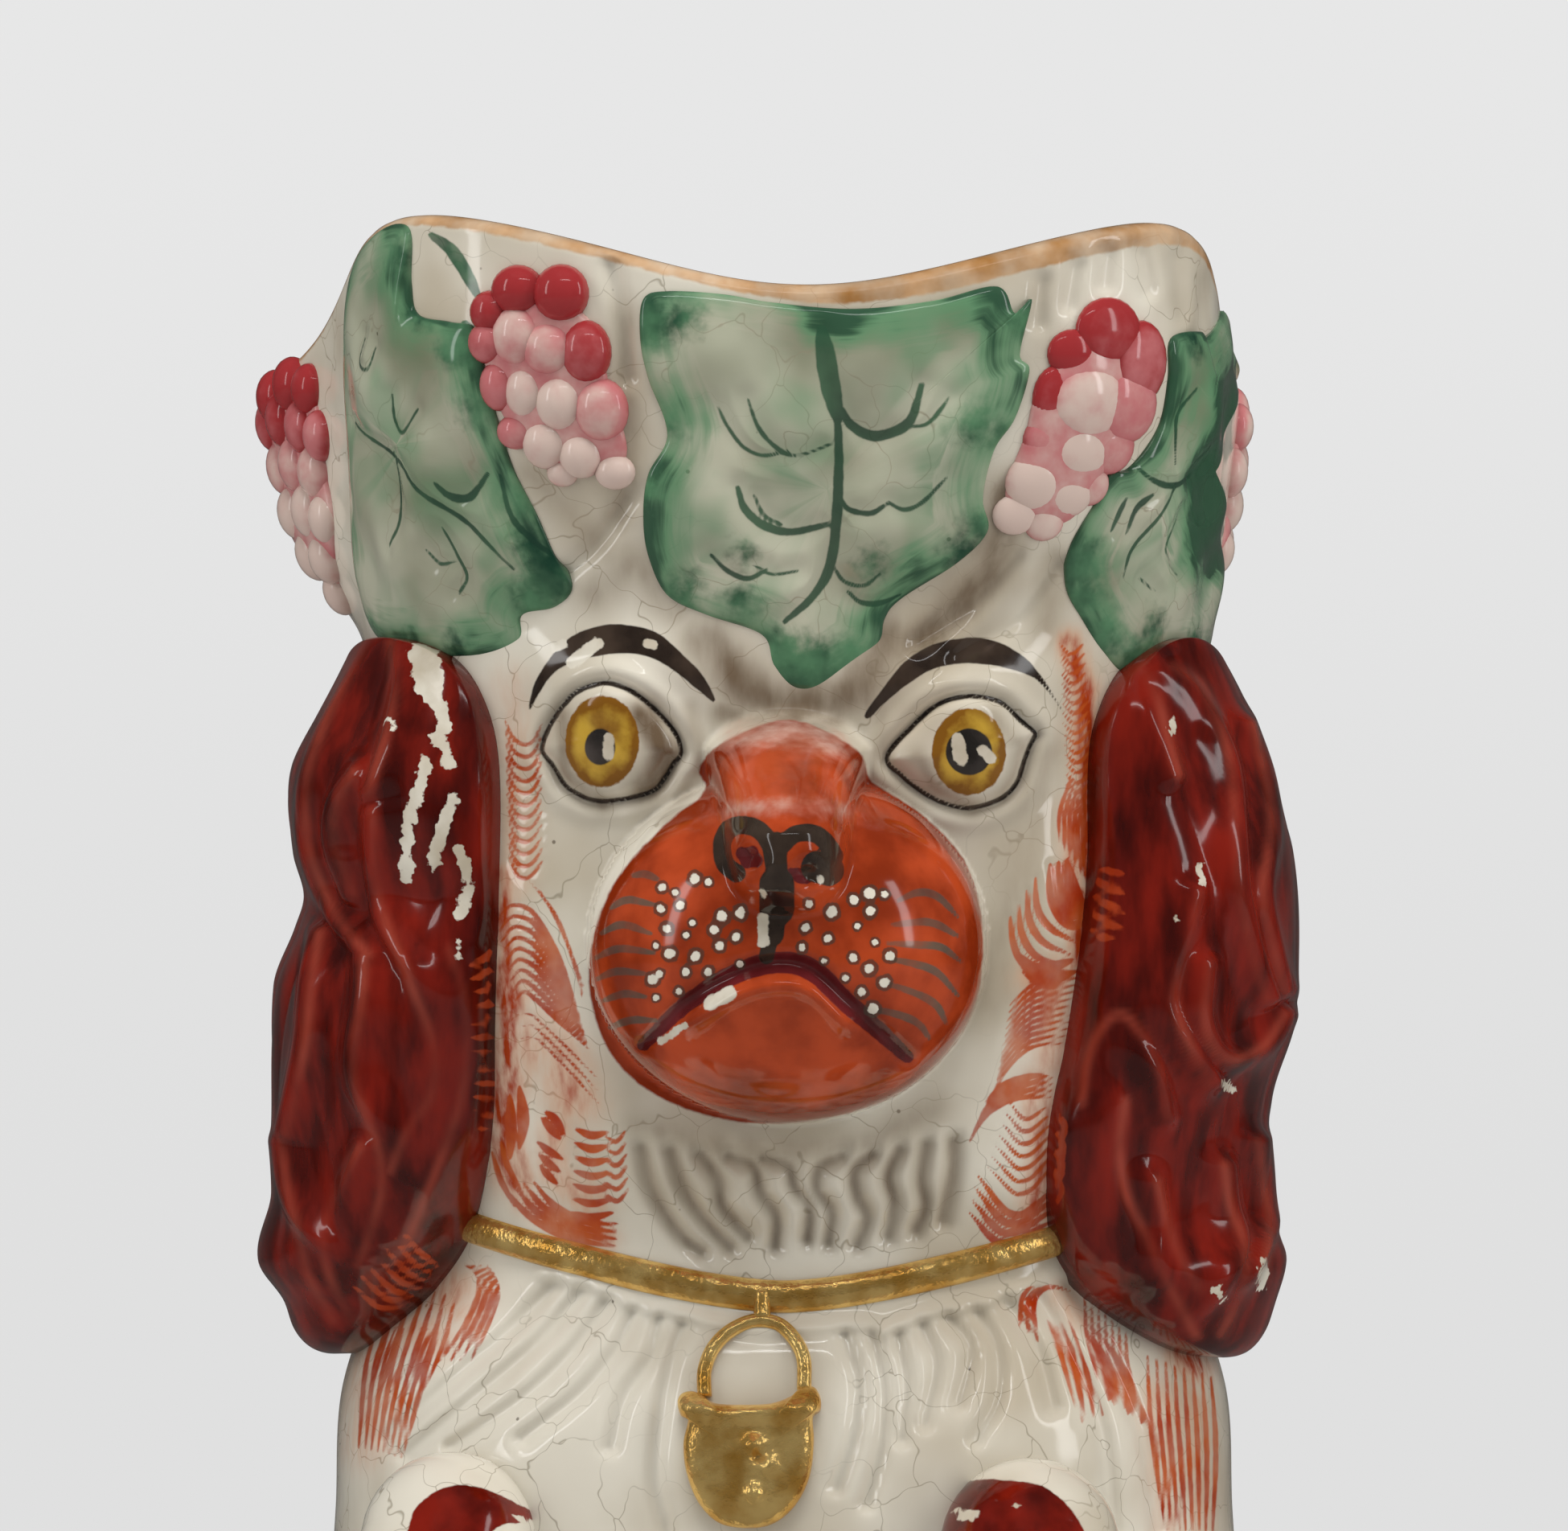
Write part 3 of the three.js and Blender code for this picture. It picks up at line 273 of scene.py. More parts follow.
# Painted shade, together with glaze that pooled and aged to brown: round the leaf's foot, between the brows
# and in hollows
GLAZE_POOLS_AND_SHADE = (
    (((880, 800), (930, 860), (990, 880), (1060, 860), (1110, 800)), 4.6, 0.85),
    (((900, 885), (965, 905), (1040, 895)), 2.4, 0.75), (((860, 880), (872, 960), (830, 1020)), 1.5, 0.5),
    (((1096, 880), (1092, 960), (1140, 1010)), 1.6, 0.5), (((700, 890), (702, 960), (750, 1000)), 1.8, 0.7),
    (((800, 890), (828, 935), (806, 980)), 2.6, 1.0), (((1140, 940), (1160, 975), (1210, 1004)), 1.5, 0.6),
    (((1236, 890), (1270, 930), (1250, 985)), 1.5, 0.5),
    (((790, 1400), (880, 1424), (985, 1432), (1090, 1418), (1160, 1380)), 2.4, 0.55),
    (((700, 1380), (730, 1440), (740, 1520)), 2.4, 0.3), (((775, 400), (782, 560), (770, 640)), 2.6, 0.6),
    (((1250, 620), (1230, 710), (1170, 780), (1130, 800)), 3.8, 0.85),
    (((740, 740), (790, 700), (840, 760)), 3.0, 0.6), (((1310, 700), (1300, 780)), 2.4, 0.5),
    (((660, 590), (720, 650), (780, 720)), 2.4, 0.5), (((1300, 940), (1270, 1080), (1230, 1240)), 4.0, 0.5),
    (((1290, 380), (1295, 440), (1250, 480)), 3.4, 0.4),
)
# Moulded waves of the throat
CURLS = (
    ((800, 1428), (812, 1480), (846, 1535), (872, 1556)),
    ((836, 1432), (852, 1480), (882, 1524), (908, 1550)),
    ((872, 1436), (894, 1466), (900, 1500), (930, 1536)),
    ((908, 1438), (938, 1452), (946, 1482), (966, 1512), (964, 1548)),
    ((950, 1440), (980, 1450), (988, 1476), (1006, 1500), (1004, 1540)),
    ((1046, 1438), (1018, 1452), (1016, 1480), (1034, 1506), (1030, 1544)),
    ((1084, 1436), (1062, 1456), (1066, 1488), (1078, 1514), (1066, 1546)),
    ((1118, 1430), (1104, 1462), (1112, 1496), (1104, 1536)),
    ((1150, 1424), (1144, 1466), (1150, 1500), (1138, 1530)), ((1185, 1420), (1184, 1460), (1172, 1516)),
)
# Flutes and folds of the hat's wall between the leaves
HAT_FOLDS = (
    ((1296, 350), (1290, 400)), ((1338, 330), (1330, 378)), ((1378, 316), (1374, 352)),
    ((1418, 312), (1428, 360)), ((1462, 322), (1472, 390)), ((1500, 350), (1488, 430)),
    ((782, 620), (740, 680), (690, 720)), ((1140, 800), (1210, 748), (1262, 690)),
    ((1190, 820), (1260, 770), (1310, 700)), ((760, 330), (776, 400), (780, 470)),
)
HAT_FOLD_RELIEF = {"depth": 1.0, "width": 1.3}

# Chest, shoulders and back below the collar
CHEST_LEDGE = (
    (676, 1583), (736, 1598), (797, 1626), (835, 1631), (879, 1642), (935, 1652), (1010, 1650), (1071, 1648),
    (1098, 1656), (1126, 1644), (1164, 1630), (1210, 1624), (1280, 1600),
)
CHEST_LEDGE_RELIEF = {"depth": 0.7, "width": 0.9}
CHEST_GROOVE_WIDTH = 1.1
CHEST_GROOVES = (
    ((690, 1600), (640, 1650), (560, 1720), (480, 1790)),
    ((725, 1606), (670, 1670), (590, 1740), (505, 1810)),
    ((757, 1618), (712, 1680), (650, 1740), (560, 1800)),
    ((790, 1632), (765, 1680), (720, 1735), (650, 1790)),
    ((822, 1640), (808, 1690), (775, 1740), (760, 1800)),
    ((850, 1650), (832, 1700), (822, 1760), (815, 1840), (830, 1904)),
    ((1050, 1662), (1068, 1720), (1060, 1790), (1040, 1850)),
    ((1085, 1660), (1100, 1730), (1096, 1800), (1078, 1870)), ((1115, 1662), (1128, 1720), (1122, 1790)),
    ((1145, 1650), (1164, 1700), (1150, 1770)), ((1178, 1640), (1206, 1680), (1192, 1745)),
    ((1212, 1632), (1240, 1680), (1240, 1740), (1215, 1790)), ((1250, 1618), (1290, 1680), (1310, 1750)),
    ((1290, 1612), (1335, 1690), (1370, 1780), (1385, 1904)),
    ((1330, 1600), (1380, 1690), (1425, 1800), (1440, 1904)),
)
SHOULDER_FANS = (
    (
        ((578, 1572), (596, 1594), (582, 1640), (548, 1692)),
        ((606, 1574), (620, 1604), (606, 1650), (584, 1694)), 4, 0.32,
    ),
    (((470, 1650), (455, 1700), (446, 1800)), ((545, 1655), (526, 1720), (500, 1812)), 8, 0.32),
    (((504, 1600), (480, 1660), (458, 1740)), ((566, 1612), (552, 1670), (528, 1726)), 6, 0.34),
    (
        ((1268, 1650), (1272, 1612), (1284, 1600)), ((1290, 1668), (1286, 1620), (1304, 1600), (1330, 1606)),
        3, 0.36,
    ),
    (((1349, 1612), (1353, 1668), (1378, 1742)), ((1400, 1656), (1404, 1706), (1428, 1776)), 7, 0.3),
    (((1300, 1640), (1320, 1690), (1345, 1770)), ((1330, 1640), (1346, 1690), (1372, 1760)), 4, 0.3),
    (((1427, 1686), (1432, 1780), (1450, 1904)), ((1506, 1712), (1512, 1800), (1508, 1904)), 8, 0.34),
)
SHOULDER_HAZE = (
    (((480, 1560), (560, 1610)), 4.0, 0.6), (((470, 1640), (540, 1660)), 3.0, 0.5),
    (((455, 1700), (452, 1800)), 3.0, 0.4), (((1470, 1680), (1490, 1700)), 2.2, 0.9),
    (((1445, 1740), (1460, 1904)), 3.0, 0.4), (((1488, 1740), (1492, 1904)), 2.0, 0.45),
    (((1320, 1612), (1345, 1640)), 1.8, 0.4),
)
BACK_FUR = {
    "waves": 26, "depth": 0.45, "wander": 0.16, "pitch": 34.0, "power": 0.7, "foot_fade": 12, "hat_fade": 14,
}
# Angles between which a relief fades out towards the seams: none of it at the first, all at the second
HOLDS = {"face": (84, 62), "chest": (88, 70), "back": (92, 108)}

# Rim's painted lip: angle from the front and width of the band
RIM_BAND = (
    (-180, 1.5), (-60, 1.4), (-12, 1.4), (0, 2.0), (8, 2.6), (20, 3.0), (45, 2.8), (70, 2.0), (180, 1.5),
)

# Ears: place and size of each as in the CAD source, with the wavy locks
EAR = {"angle": 71, "z_share": 0.645, "half_width": 29.5, "half_height": 43.0, "rise": 11.4, "edge": 2.4}
EAR_FLARES = {"left": 2.2, "right": 0.4}
EAR_OUTLINE_SHARES = {
    "left": (
        (-0.62, 0.97), (-0.86, 0.78), (-0.91, 0.36), (-0.86, -0.08), (-0.76, -0.42), (-0.46, -0.74),
        (0.0, -0.98), (0.48, -1.0), (0.92, -0.7), (1.0, -0.15), (0.88, 0.5), (0.55, 0.86), (-0.1, 1.0),
    ),
    "right": (
        (-0.52, 0.97), (-0.76, 0.78), (-0.81, 0.36), (-0.89, -0.08), (-0.94, -0.42), (-0.76, -0.76),
        (-0.28, -0.98), (0.48, -1.0), (0.92, -0.7), (1.0, -0.15), (0.88, 0.5), (0.55, 0.86), (-0.1, 1.0),
    ),
}
EAR_ROUNDNESS = 5
# Even locks under the traced ones, and the crests of the traced ones
LOCKS = {
    "count": 5.0, "power": 0.8, "even": 0.18, "meander": 4.5, "pitch": 58.0, "lean": 0.06,
    "second": 0.8, "second_pitch": 27.0, "second_lean": 0.2,
}
# Half widths of the traced crests: of their relief, and of the lighter red painted on them as wear and
# highlight
LOCK_CREST = {"width": 1.7, "line": 0.7}
NECK_BLEND = 2.0
EAR_LOCKS = {
    "left": (
        ((460, 780), (430, 840), (397, 913), (380, 980), (383, 1047), (403, 1107), (430, 1153), (457, 1187)),
        ((440, 960), (418, 1000), (416, 1050), (440, 1113)), ((487, 800), (490, 847), (477, 920), (457, 985)),
        (
            (462, 1010), (467, 1093), (480, 1147), (523, 1253), (540, 1307), (537, 1360), (510, 1400),
            (485, 1455),
        ),
        (
            (453, 1187), (450, 1240), (440, 1300), (441, 1347), (457, 1393), (473, 1440), (470, 1500),
            (445, 1573),
        ),
        ((397, 1160), (387, 1227), (380, 1293), (368, 1360), (356, 1410)),
        ((350, 1420), (357, 1480), (370, 1533), (383, 1587), (415, 1640)),
        ((447, 1427), (423, 1473), (403, 1533), (410, 1587), (437, 1640)),
        ((560, 1180), (580, 1260), (575, 1360), (545, 1450), (500, 1560)),
    ),
    "right": (
        ((1410, 820), (1437, 860), (1450, 907), (1467, 963)),
        (
            (1460, 828), (1493, 853), (1516, 900), (1532, 960), (1537, 1040), (1542, 1110), (1560, 1193),
            (1576, 1240),
        ),
        ((1560, 900), (1575, 970), (1580, 1040), (1570, 1110), (1583, 1180), (1597, 1230)),
        ((1597, 1262), (1573, 1300), (1537, 1318), (1510, 1304), (1498, 1262), (1503, 1200)),
        ((1493, 1110), (1480, 1167), (1467, 1213), (1463, 1253), (1480, 1300), (1505, 1345)),
        ((1345, 1370), (1358, 1300), (1390, 1262), (1420, 1285), (1443, 1330), (1452, 1390)),
        ((1400, 1370), (1393, 1427), (1400, 1480), (1420, 1527), (1450, 1590), (1487, 1660)),
        ((1440, 1470), (1460, 1547), (1490, 1600)),
        ((1523, 1450), (1530, 1500), (1548, 1547), (1547, 1600), (1520, 1660)),
        ((1566, 1420), (1573, 1480), (1581, 1527), (1570, 1590)),
    ),
}
EAR_GRID = {"rings": 110, "sectors": 300, "steps": 12}
# The photograph shows nothing behind this place along Y, so the ears' marks end there
EAR_BACK_Y = 5.0
# Swelling of an ear down its height, as shares of its half height and of its rise
EAR_SWELL_SHARES = {
    "left": (
        (-1, 0), (-0.88, 0.05), (-0.76, 0.26), (-0.56, 0), (0.02, 0), (0.19, -0.22), (0.284, -0.3),
        (0.4, -0.15), (0.63, 0), (0.8, -0.2), (1, -0.5),
    ),
    "right": (
        (-1, 0), (-0.76, 0.1), (-0.6, -0.26), (-0.3, -0.22), (-0.08, 0), (0.4, 0), (0.68, -0.26), (0.8, -0.3),
        (1, -0.55),
    ),
}

# Chips of the red, and fur strokes carried over the ears' edges
EAR_CHIPS = {
    "left": (
        (((526, 818), (532, 856), (550, 889), (545, 921)), 0.95), (((528, 815), (534, 850)), 1.9),
        (((531, 949), (508, 1027), (506, 1091)), 0.75), (((563, 990), (545, 1045), (540, 1073)), 0.75),
        (((572, 1059), (582, 1105), (572, 1142)), 0.65), (((555, 940), (560, 948)), 0.8),
        (((487, 895), (489, 903)), 0.5), (((568, 1172), (571, 1190)), 0.4),
    ),
    "right": (
        (((1456, 900), (1460, 908)), 0.5), (((1494, 1082), (1497, 1094)), 0.45),
        (((1466, 1142), (1470, 1146)), 0.4), (((1526, 1350), (1530, 1356)), 0.5),
        (((1512, 1602), (1518, 1612)), 0.6), (((1571, 1570), (1569, 1600)), 0.5),
    ),
}
EAR_FANS = {
    "left": (
        (((500, 1530), (525, 1560), (555, 1580)), ((440, 1600), (470, 1625), (500, 1630)), 7, 0.4),
        (((585, 1200), (604, 1190), (616, 1176)), ((590, 1400), (612, 1405), (634, 1385)), 12, 0.45),
    ),
    "right": (
        (((1356, 1090), (1376, 1082), (1398, 1086)), ((1356, 1170), (1376, 1166), (1398, 1164)), 7, 0.4),
        (((1310, 1380), (1324, 1400), (1318, 1430)), ((1308, 1450), (1320, 1480), (1312, 1500)), 4, 0.4),
    ),
}

# Vine leaves: outline, veins and dark places in photograph pixels
FRONT_LEAF = {
    "outline": (
        (800, 372), (830, 362), (900, 366), (960, 376), (1060, 384), (1160, 374), (1240, 356), (1262, 390),
        (1283, 372), (1268, 440), (1280, 460), (1262, 520), (1236, 560), (1222, 620), (1228, 660),
        (1190, 700), (1120, 745), (1100, 770), (1090, 810), (1030, 852), (990, 858), (962, 830), (948, 790),
        (880, 765), (830, 740), (806, 690), (800, 640), (806, 590), (830, 540), (806, 470), (796, 420),
    ),
    "veins": (
        (((1022, 410), (1026, 440), (1034, 485), (1042, 520)), 1.15),
        (((1040, 500), (1043, 560), (1040, 640), (1032, 700), (1012, 738), (976, 772)), 0.62),
        (((893, 505), (905, 530), (925, 555), (950, 565), (980, 558)), 0.26),
        (((930, 495), (942, 528), (962, 552), (990, 565), (1036, 550)), 0.28),
        (((1044, 505), (1058, 528), (1085, 542), (1112, 536), (1132, 520), (1145, 478)), 0.62),
        (((1128, 530), (1150, 526), (1166, 510), (1179, 492)), 0.24),
        (((918, 605), (926, 630), (950, 652), (985, 661), (1044, 646)), 0.5),
        (((938, 615), (950, 640), (972, 652)), 0.26),
        (((1042, 612), (1054, 630), (1082, 635), (1104, 622)), 0.34),
        (((1102, 622), (1124, 632), (1148, 622), (1176, 592)), 0.26),
        (((885, 688), (905, 708), (930, 718), (954, 706)), 0.32),
        (((936, 700), (960, 712), (992, 708)), 0.22),
        (((1038, 706), (1050, 722), (1074, 727), (1094, 712)), 0.28),
        (((1054, 735), (1070, 748), (1094, 749), (1120, 738)), 0.34),
    ),
    "dark": (
        ((812, 400), 2.8), ((845, 395), 2.0), ((822, 525), 1.7), ((806, 600), 1.4), ((1212, 526), 1.9),
        ((1242, 535), 1.6), ((1200, 690), 2.4), ((1222, 650), 2.0), ((850, 735), 1.8), ((922, 748), 1.6),
        ((926, 686), 1.0), ((1085, 700), 1.3), ((972, 826), 3.8), ((1010, 838), 4.2), ((1062, 828), 3.0),
        ((1272, 398), 1.2),
    ),
}
LEFT_LEAF = {
    "outline": (
        (468, 292), (508, 282), (512, 350), (520, 390), (560, 400), (592, 410), (606, 470), (622, 530),
        (640, 585), (668, 640), (690, 690), (712, 730), (690, 755), (650, 765), (650, 800), (600, 815),
        (520, 812), (470, 790), (452, 740), (440, 640), (436, 540), (432, 440), (440, 340),
    ),
    "veins": (
        (((450, 525), (500, 570), (530, 605), (590, 650), (645, 705)), 0.36),
        (((496, 490), (500, 522), (510, 536), (524, 508)), 0.26),
        (((463, 420), (460, 450), (472, 458), (478, 430)), 0.22),
        (((553, 598), (568, 614), (590, 616), (610, 588)), 0.5),
        (((555, 655), (572, 690), (585, 715), (576, 736)), 0.3), (((495, 560), (506, 640), (497, 676)), 0.26),
        (((536, 682), (552, 700), (570, 696)), 0.24), (((625, 590), (640, 640), (668, 672), (692, 692)), 0.4),
    ),
    "dark": (
        ((505, 320), 1.8), ((530, 388), 1.6), ((578, 430), 2.4), ((600, 505), 1.7), ((688, 718), 3.2),
        ((668, 748), 2.8), ((648, 625), 1.4), ((664, 672), 1.8), ((520, 802), 1.4), ((575, 808), 1.6),
    ),
}
RIGHT_LEAF = {
    "outline": (
        (1526, 348), (1498, 420), (1492, 412), (1456, 420), (1452, 470), (1440, 530), (1405, 580),
        (1378, 590), (1364, 620), (1330, 680), (1325, 730), (1345, 770), (1370, 810), (1400, 838),
        (1445, 830), (1500, 820), (1520, 790), (1500, 740), (1476, 680), (1464, 600), (1478, 540),
        (1505, 470), (1530, 400),
    ),
    "veins": (
        (((1480, 482), (1460, 512), (1456, 540), (1452, 575)), 0.32),
        (((1408, 578), (1425, 595), (1445, 601), (1470, 592), (1492, 562)), 0.38),
        (((1396, 618), (1386, 638), (1377, 658)), 0.36), (((1424, 612), (1406, 630), (1394, 662)), 0.38),
        (((1448, 603), (1430, 640), (1402, 680), (1392, 716)), 0.32),
        (((1456, 638), (1442, 680), (1452, 716)), 0.22), (((1412, 717), (1430, 734)), 0.22),
    ),
    "dark": (
        ((1476, 422), 2.0), ((1522, 380), 1.6), ((1344, 700), 2.4), ((1340, 742), 2.4), ((1368, 790), 2.4),
        ((1402, 820), 2.6), ((1424, 780), 1.8), ((1474, 800), 2.2), ((1512, 760), 1.6),
    ),
}
# Loose strokes of green on the hat's wall
GREEN_STROKES = ((((536, 292), (560, 310), (580, 340), (597, 374)), 0.85), (((578, 405), (592, 440)), 1.6))
# Green from a leaf's edge inwards, in millimetres, and how far the brush's hairs spread it
LEAF_EDGE = {
    "bare": 5.8, "full": 0.4, "dark": 1.4, "streak": 7.0, "patch": 2.2, "wash_size": 12,
    "brush_share": 0.15, "hairs": 0.08,
}
LEAF_RELIEF = {
    "edge": 0.1, "vein": 0.55, "vein_width": 1.5, "round": 5,
    "swell": 0.9, "swell_x": 0.35, "swell_y": 0.3, "swell_start": 1.0,
}
LEAF_GRID = {"rings": 76, "sectors": 420, "steps": 8}
# Angle, drop below the rim and mirroring of the leaves that the photograph doesn't show
REAR_LEAVES = {"left_rear_leaf": (-142, 28.5, -1), "right_rear_leaf": (147, 28.5, 1)}

# Berries: centre and half sizes in photograph pixels, ripeness from 0 (pale) to 1 (crimson)
LEFT_BERRIES = (
    (644, 361, 25, 27, 0.95), (698, 365, 27, 31, 1.0), (610, 388, 19, 23, 0.85), (608, 426, 19, 23, 0.65),
    (644, 418, 24, 33, 0.3), (683, 434, 26, 29, 0.35), (729, 438, 25, 34, 0.75), (621, 480, 18, 27, 0.55),
    (654, 487, 20, 29, 0.2), (697, 501, 24, 31, 0.15), (748, 510, 27, 34, 0.35), (642, 537, 18, 19, 0.5),
    (679, 552, 22, 27, 0.12), (723, 566, 22, 25, 0.08), (700, 588, 16, 15, 0.12), (765, 587, 24, 19, 0.05),
)
RIGHT_BERRIES = (
    (1378, 412, 40, 36, 0.85), (1334, 440, 28, 26, 1.1), (1416, 452, 28, 46, 0.7), (1312, 496, 22, 36, 0.85),
    (1352, 500, 40, 42, 0.2), (1398, 505, 32, 42, 0.45), (1300, 548, 22, 28, 0.45), (1340, 560, 34, 34, 0.12),
    (1380, 556, 24, 30, 0.4), (1286, 600, 28, 32, 0.05), (1326, 612, 28, 28, 0.1), (1356, 604, 18, 22, 0.3),
    (1262, 640, 24, 22, 0.0), (1298, 650, 26, 20, 0.2),
)
SIDE_BERRIES = (
    (-4.2, 12.5, 2.6, 2.9, 0.9), (1.2, 13.4, 2.6, 2.9, 1.0), (6.0, 11.2, 2.4, 2.7, 0.9),
    (-6.6, 7.6, 2.5, 2.9, 0.75), (-1.6, 8.0, 2.7, 3.1, 0.85), (3.8, 6.8, 2.7, 3.0, 0.7),
    (8.0, 5.4, 2.3, 2.7, 0.5), (-5.2, 2.2, 2.6, 3.0, 0.3), (0.2, 2.4, 2.8, 3.1, 0.35),
    (5.4, 1.2, 2.6, 2.9, 0.25), (-3.4, -3.4, 2.6, 2.9, 0.12), (2.0, -3.4, 2.7, 3.0, 0.15),
    (6.2, -4.6, 2.2, 2.6, 0.1), (-1.4, -8.8, 2.4, 2.8, 0.05), (3.2, -9.4, 2.4, 2.7, 0.05),
    (0.8, -13.6, 2.1, 2.4, 0.03),
)
# Its hollow keys add crimson round each berry's foot, in the hollows between berries, as painted shade
BERRY = {
    "swell": 1.2, "depth_share": 0.8, "merged_share": 0.42, "columns": 22,
    "widest": 1.15, "least_facing": 0.5,
    "hollow": 0.4, "hollow_least": 0.35, "hollow_low": 0.1, "hollow_high": 0.8,
}
# Slip behind the berries: rise, ripeness and least reach
BACKING = {"rise": 1.3, "ripe": 0.4, "least": 1.5, "round": 4, "rings": 10, "steps": 10, "turn": 45}
# Angle, drop below the rim, mirroring and ripeness of the bunches at the sides
SIDE_BUNCHES = {"left_side_grapes": (-85, 15.2, 1, 1.0), "right_side_grapes": (111, 17.5, -1, 0.3)}

# Collar and padlock
COLLAR_BAND = {"half_height": 2.0, "sink": 1.2, "sides": 20, "columns": 160}
COLLAR_ARCS = {"front": (-62, 62), "back": (100, 260)}
PADLOCK_OUTLINE = (
    (844, 1747), (848, 1736), (862, 1732), (876, 1738), (890, 1747), (924, 1749), (960, 1747), (984, 1738),
    (996, 1728), (1012, 1727), (1020, 1740), (1020, 1755), (1011, 1764), (1012, 1796), (1007, 1835),
    (991, 1869), (966, 1892), (935, 1900), (896, 1894), (870, 1869), (855, 1832), (851, 1796), (857, 1766),
    (848, 1762),
)
PADLOCK_RELIEF = {"edge": 0.7, "bar": 0.8, "bar_width": 1.3, "round": 6}
PADLOCK_GRID = {"rings": 40, "sectors": 200, "steps": 6}
PADLOCK_BAR = (930, 1757)
PADLOCK_BOSSES = (
    (938, 1797, 0.9, 0.8), (943, 1812, 0.7, -0.9), (960, 1822, 0.9, 0.6), (938, 1857, 1.1, 0.9),
    (940, 1780, 1.8, -0.7),
)
SHACKLE_LINE = (
    (877, 1738), (877, 1706), (888, 1678), (909, 1657), (937, 1645), (966, 1648), (986, 1665), (999, 1691),
    (1000, 1730),
)
SHACKLE_RADIUS = 0.85
LINK_LINE = ((948, 1608), (948, 1642))
LINK_RADIUS = 1.0
SHACKLE_LIFT = 0.7
SHACKLE_GRID = {"sides": 18, "steps": 8}

# Legs, feet and tail: path points are angle, height share, distance out from the wall and radius
LEG_TURN = -6
FORELEG_PATH = (
    (37, 0.405, 2.5, 10.5), (35.5, 0.378, 5.5, 11.0), (32, 0.342, 6.0, 10.5), (28.5, 0.304, 5.0, 9.45),
    (26.5, 0.272, 4.0, 10.0),
)
FORELEG_GRID = (92, 64)
FOREPAW = {
    "half_width": 4.4, "half_length": 4.4, "height": 5.4, "spread": 6.4, "drop": 5.5, "out": 4.4, "count": 3,
}
LEG_PATCHES = (
    (
        (490, 1960), (506, 1904), (522, 1868), (566, 1847), (605, 1853), (637, 1867), (668, 1884),
        (663, 1893), (627, 1896), (606, 1912), (560, 1975),
    ),
    (
        (1105, 1950), (1123, 1904), (1148, 1873), (1175, 1853), (1201, 1843), (1226, 1840), (1265, 1842),
        (1297, 1848), (1321, 1866), (1341, 1891), (1350, 1940), (1240, 1990),
    ),
)
LEG_PATCH_CHIPS = (
    (((1190, 1882), (1216, 1886)), 0.7), (((1258, 1872), (1268, 1874)), 0.3),
    (((596, 1862), (602, 1864)), 0.4), (((636, 1888), (666, 1893)), 0.4),
)
HAUNCH = {
    "angle": 58, "z_share": 0.17, "half_width": 30.0, "half_height": 35.0,
    "rise": 10.2, "edge": 0.4, "round": 2,
    "fur": 0.25, "fur_pitch": 11.0, "fur_x": 10, "fur_y": 14, "fur_fade": 4,
}
HAUNCH_GRID = {"rings": 60, "sectors": 180, "steps": 10}
HAUNCH_OUTLINE_SHARES = (
    (-0.62, 0.86), (-0.95, 0.45), (-0.98, -0.05), (-0.8, -0.6), (-0.35, -0.95), (0.3, -1.0), (0.82, -0.7),
    (1.0, -0.15), (0.85, 0.4), (0.4, 0.8), (-0.1, 1.0),
)
HIND_FOOT = {
    "angle": 33, "half_width": 12.5, "half_length": 23.0, "height": 17.0,
    "lift": 4.0, "out": 2.5, "columns": 40,
}
HIND_TOE = {"half_width": 5.0, "half_length": 8.0, "height": 6.0, "spread": 7.6, "inset": 7.0, "count": 3}
TOE_COLUMNS = 28
TAIL_PATH = (
    (184, 0.04, 1.5, 7.5), (160, 0.045, 3.0, 7.5), (136, 0.085, 3.0, 7.5), (121, 0.16, 2.5, 7.0),
    (119, 0.235, 1.5, 5.5),
)
TAIL_GRID = (112, 48)
TAIL_FUR = {"pitch": 5.7, "twist": 9, "depth_share": 0.004, "worn": 0.5}

# Handle
HANDLE_ROOTS = {"top_share": 0.885, "foot_share": 0.447, "inside": 4.0, "embedded": 2.4}
HANDLE_ARCH = ((0.912, 5.0), (0.885, 24.0), (0.79, 34.0), (0.68, 32.0), (0.575, 22.0), (0.49, 8.0))
HANDLE = {"rib": 0.12, "flare": 0.22, "flare_share": 0.06, "sides": 44, "steps": 14}

# Grids of the shells: stops in degrees or shares with the count to the next stop, or plain counts
HEAD_GRID = {"columns": ((-90, 34), (-54, 236), (54, 34), (90, 0)), "rows": ((0, 190), (0.62, 90), (1, 0))}
BODY_GRID = {"columns": ((-90, 50), (-60, 170), (60, 50), (90, 0)), "rows": ((0, 70), (0.6, 150), (1, 0))}
BACK_GRID = {"columns": 150, "rows": 116}
SLAB_STEP = 3
INNER_ROWS = 12
RIM_ROWS = 9
CAP_ROWS = 10
CAP_SHARE = 0.92
BALL_ROWS_SHARE = 0.7
# Search for the wall's place behind a pixel
SEARCH = {"turns": 361, "rounds": 5}
# Points along each line of a fan of strokes
FAN_POINTS = 8
# Smallest ring as a share of its outline, distance at which points weld, and a piece's seat in the wall
CENTRE = 0.0001
WELD = 0.001
SEATED = 1.5
SLAB_SECTION = ((0.3, 0.0), (0.88, 0.0), (0.915, 0.0), (0.915, BASE_THICKNESS), (0.3, BASE_THICKNESS))

# Shader settings that repeat
SOFT = {"interpolation_type": "SMOOTHSTEP"}
TIMES = {"operation": "MULTIPLY"}
COLOUR = {"data_type": "RGBA", "out": 2}
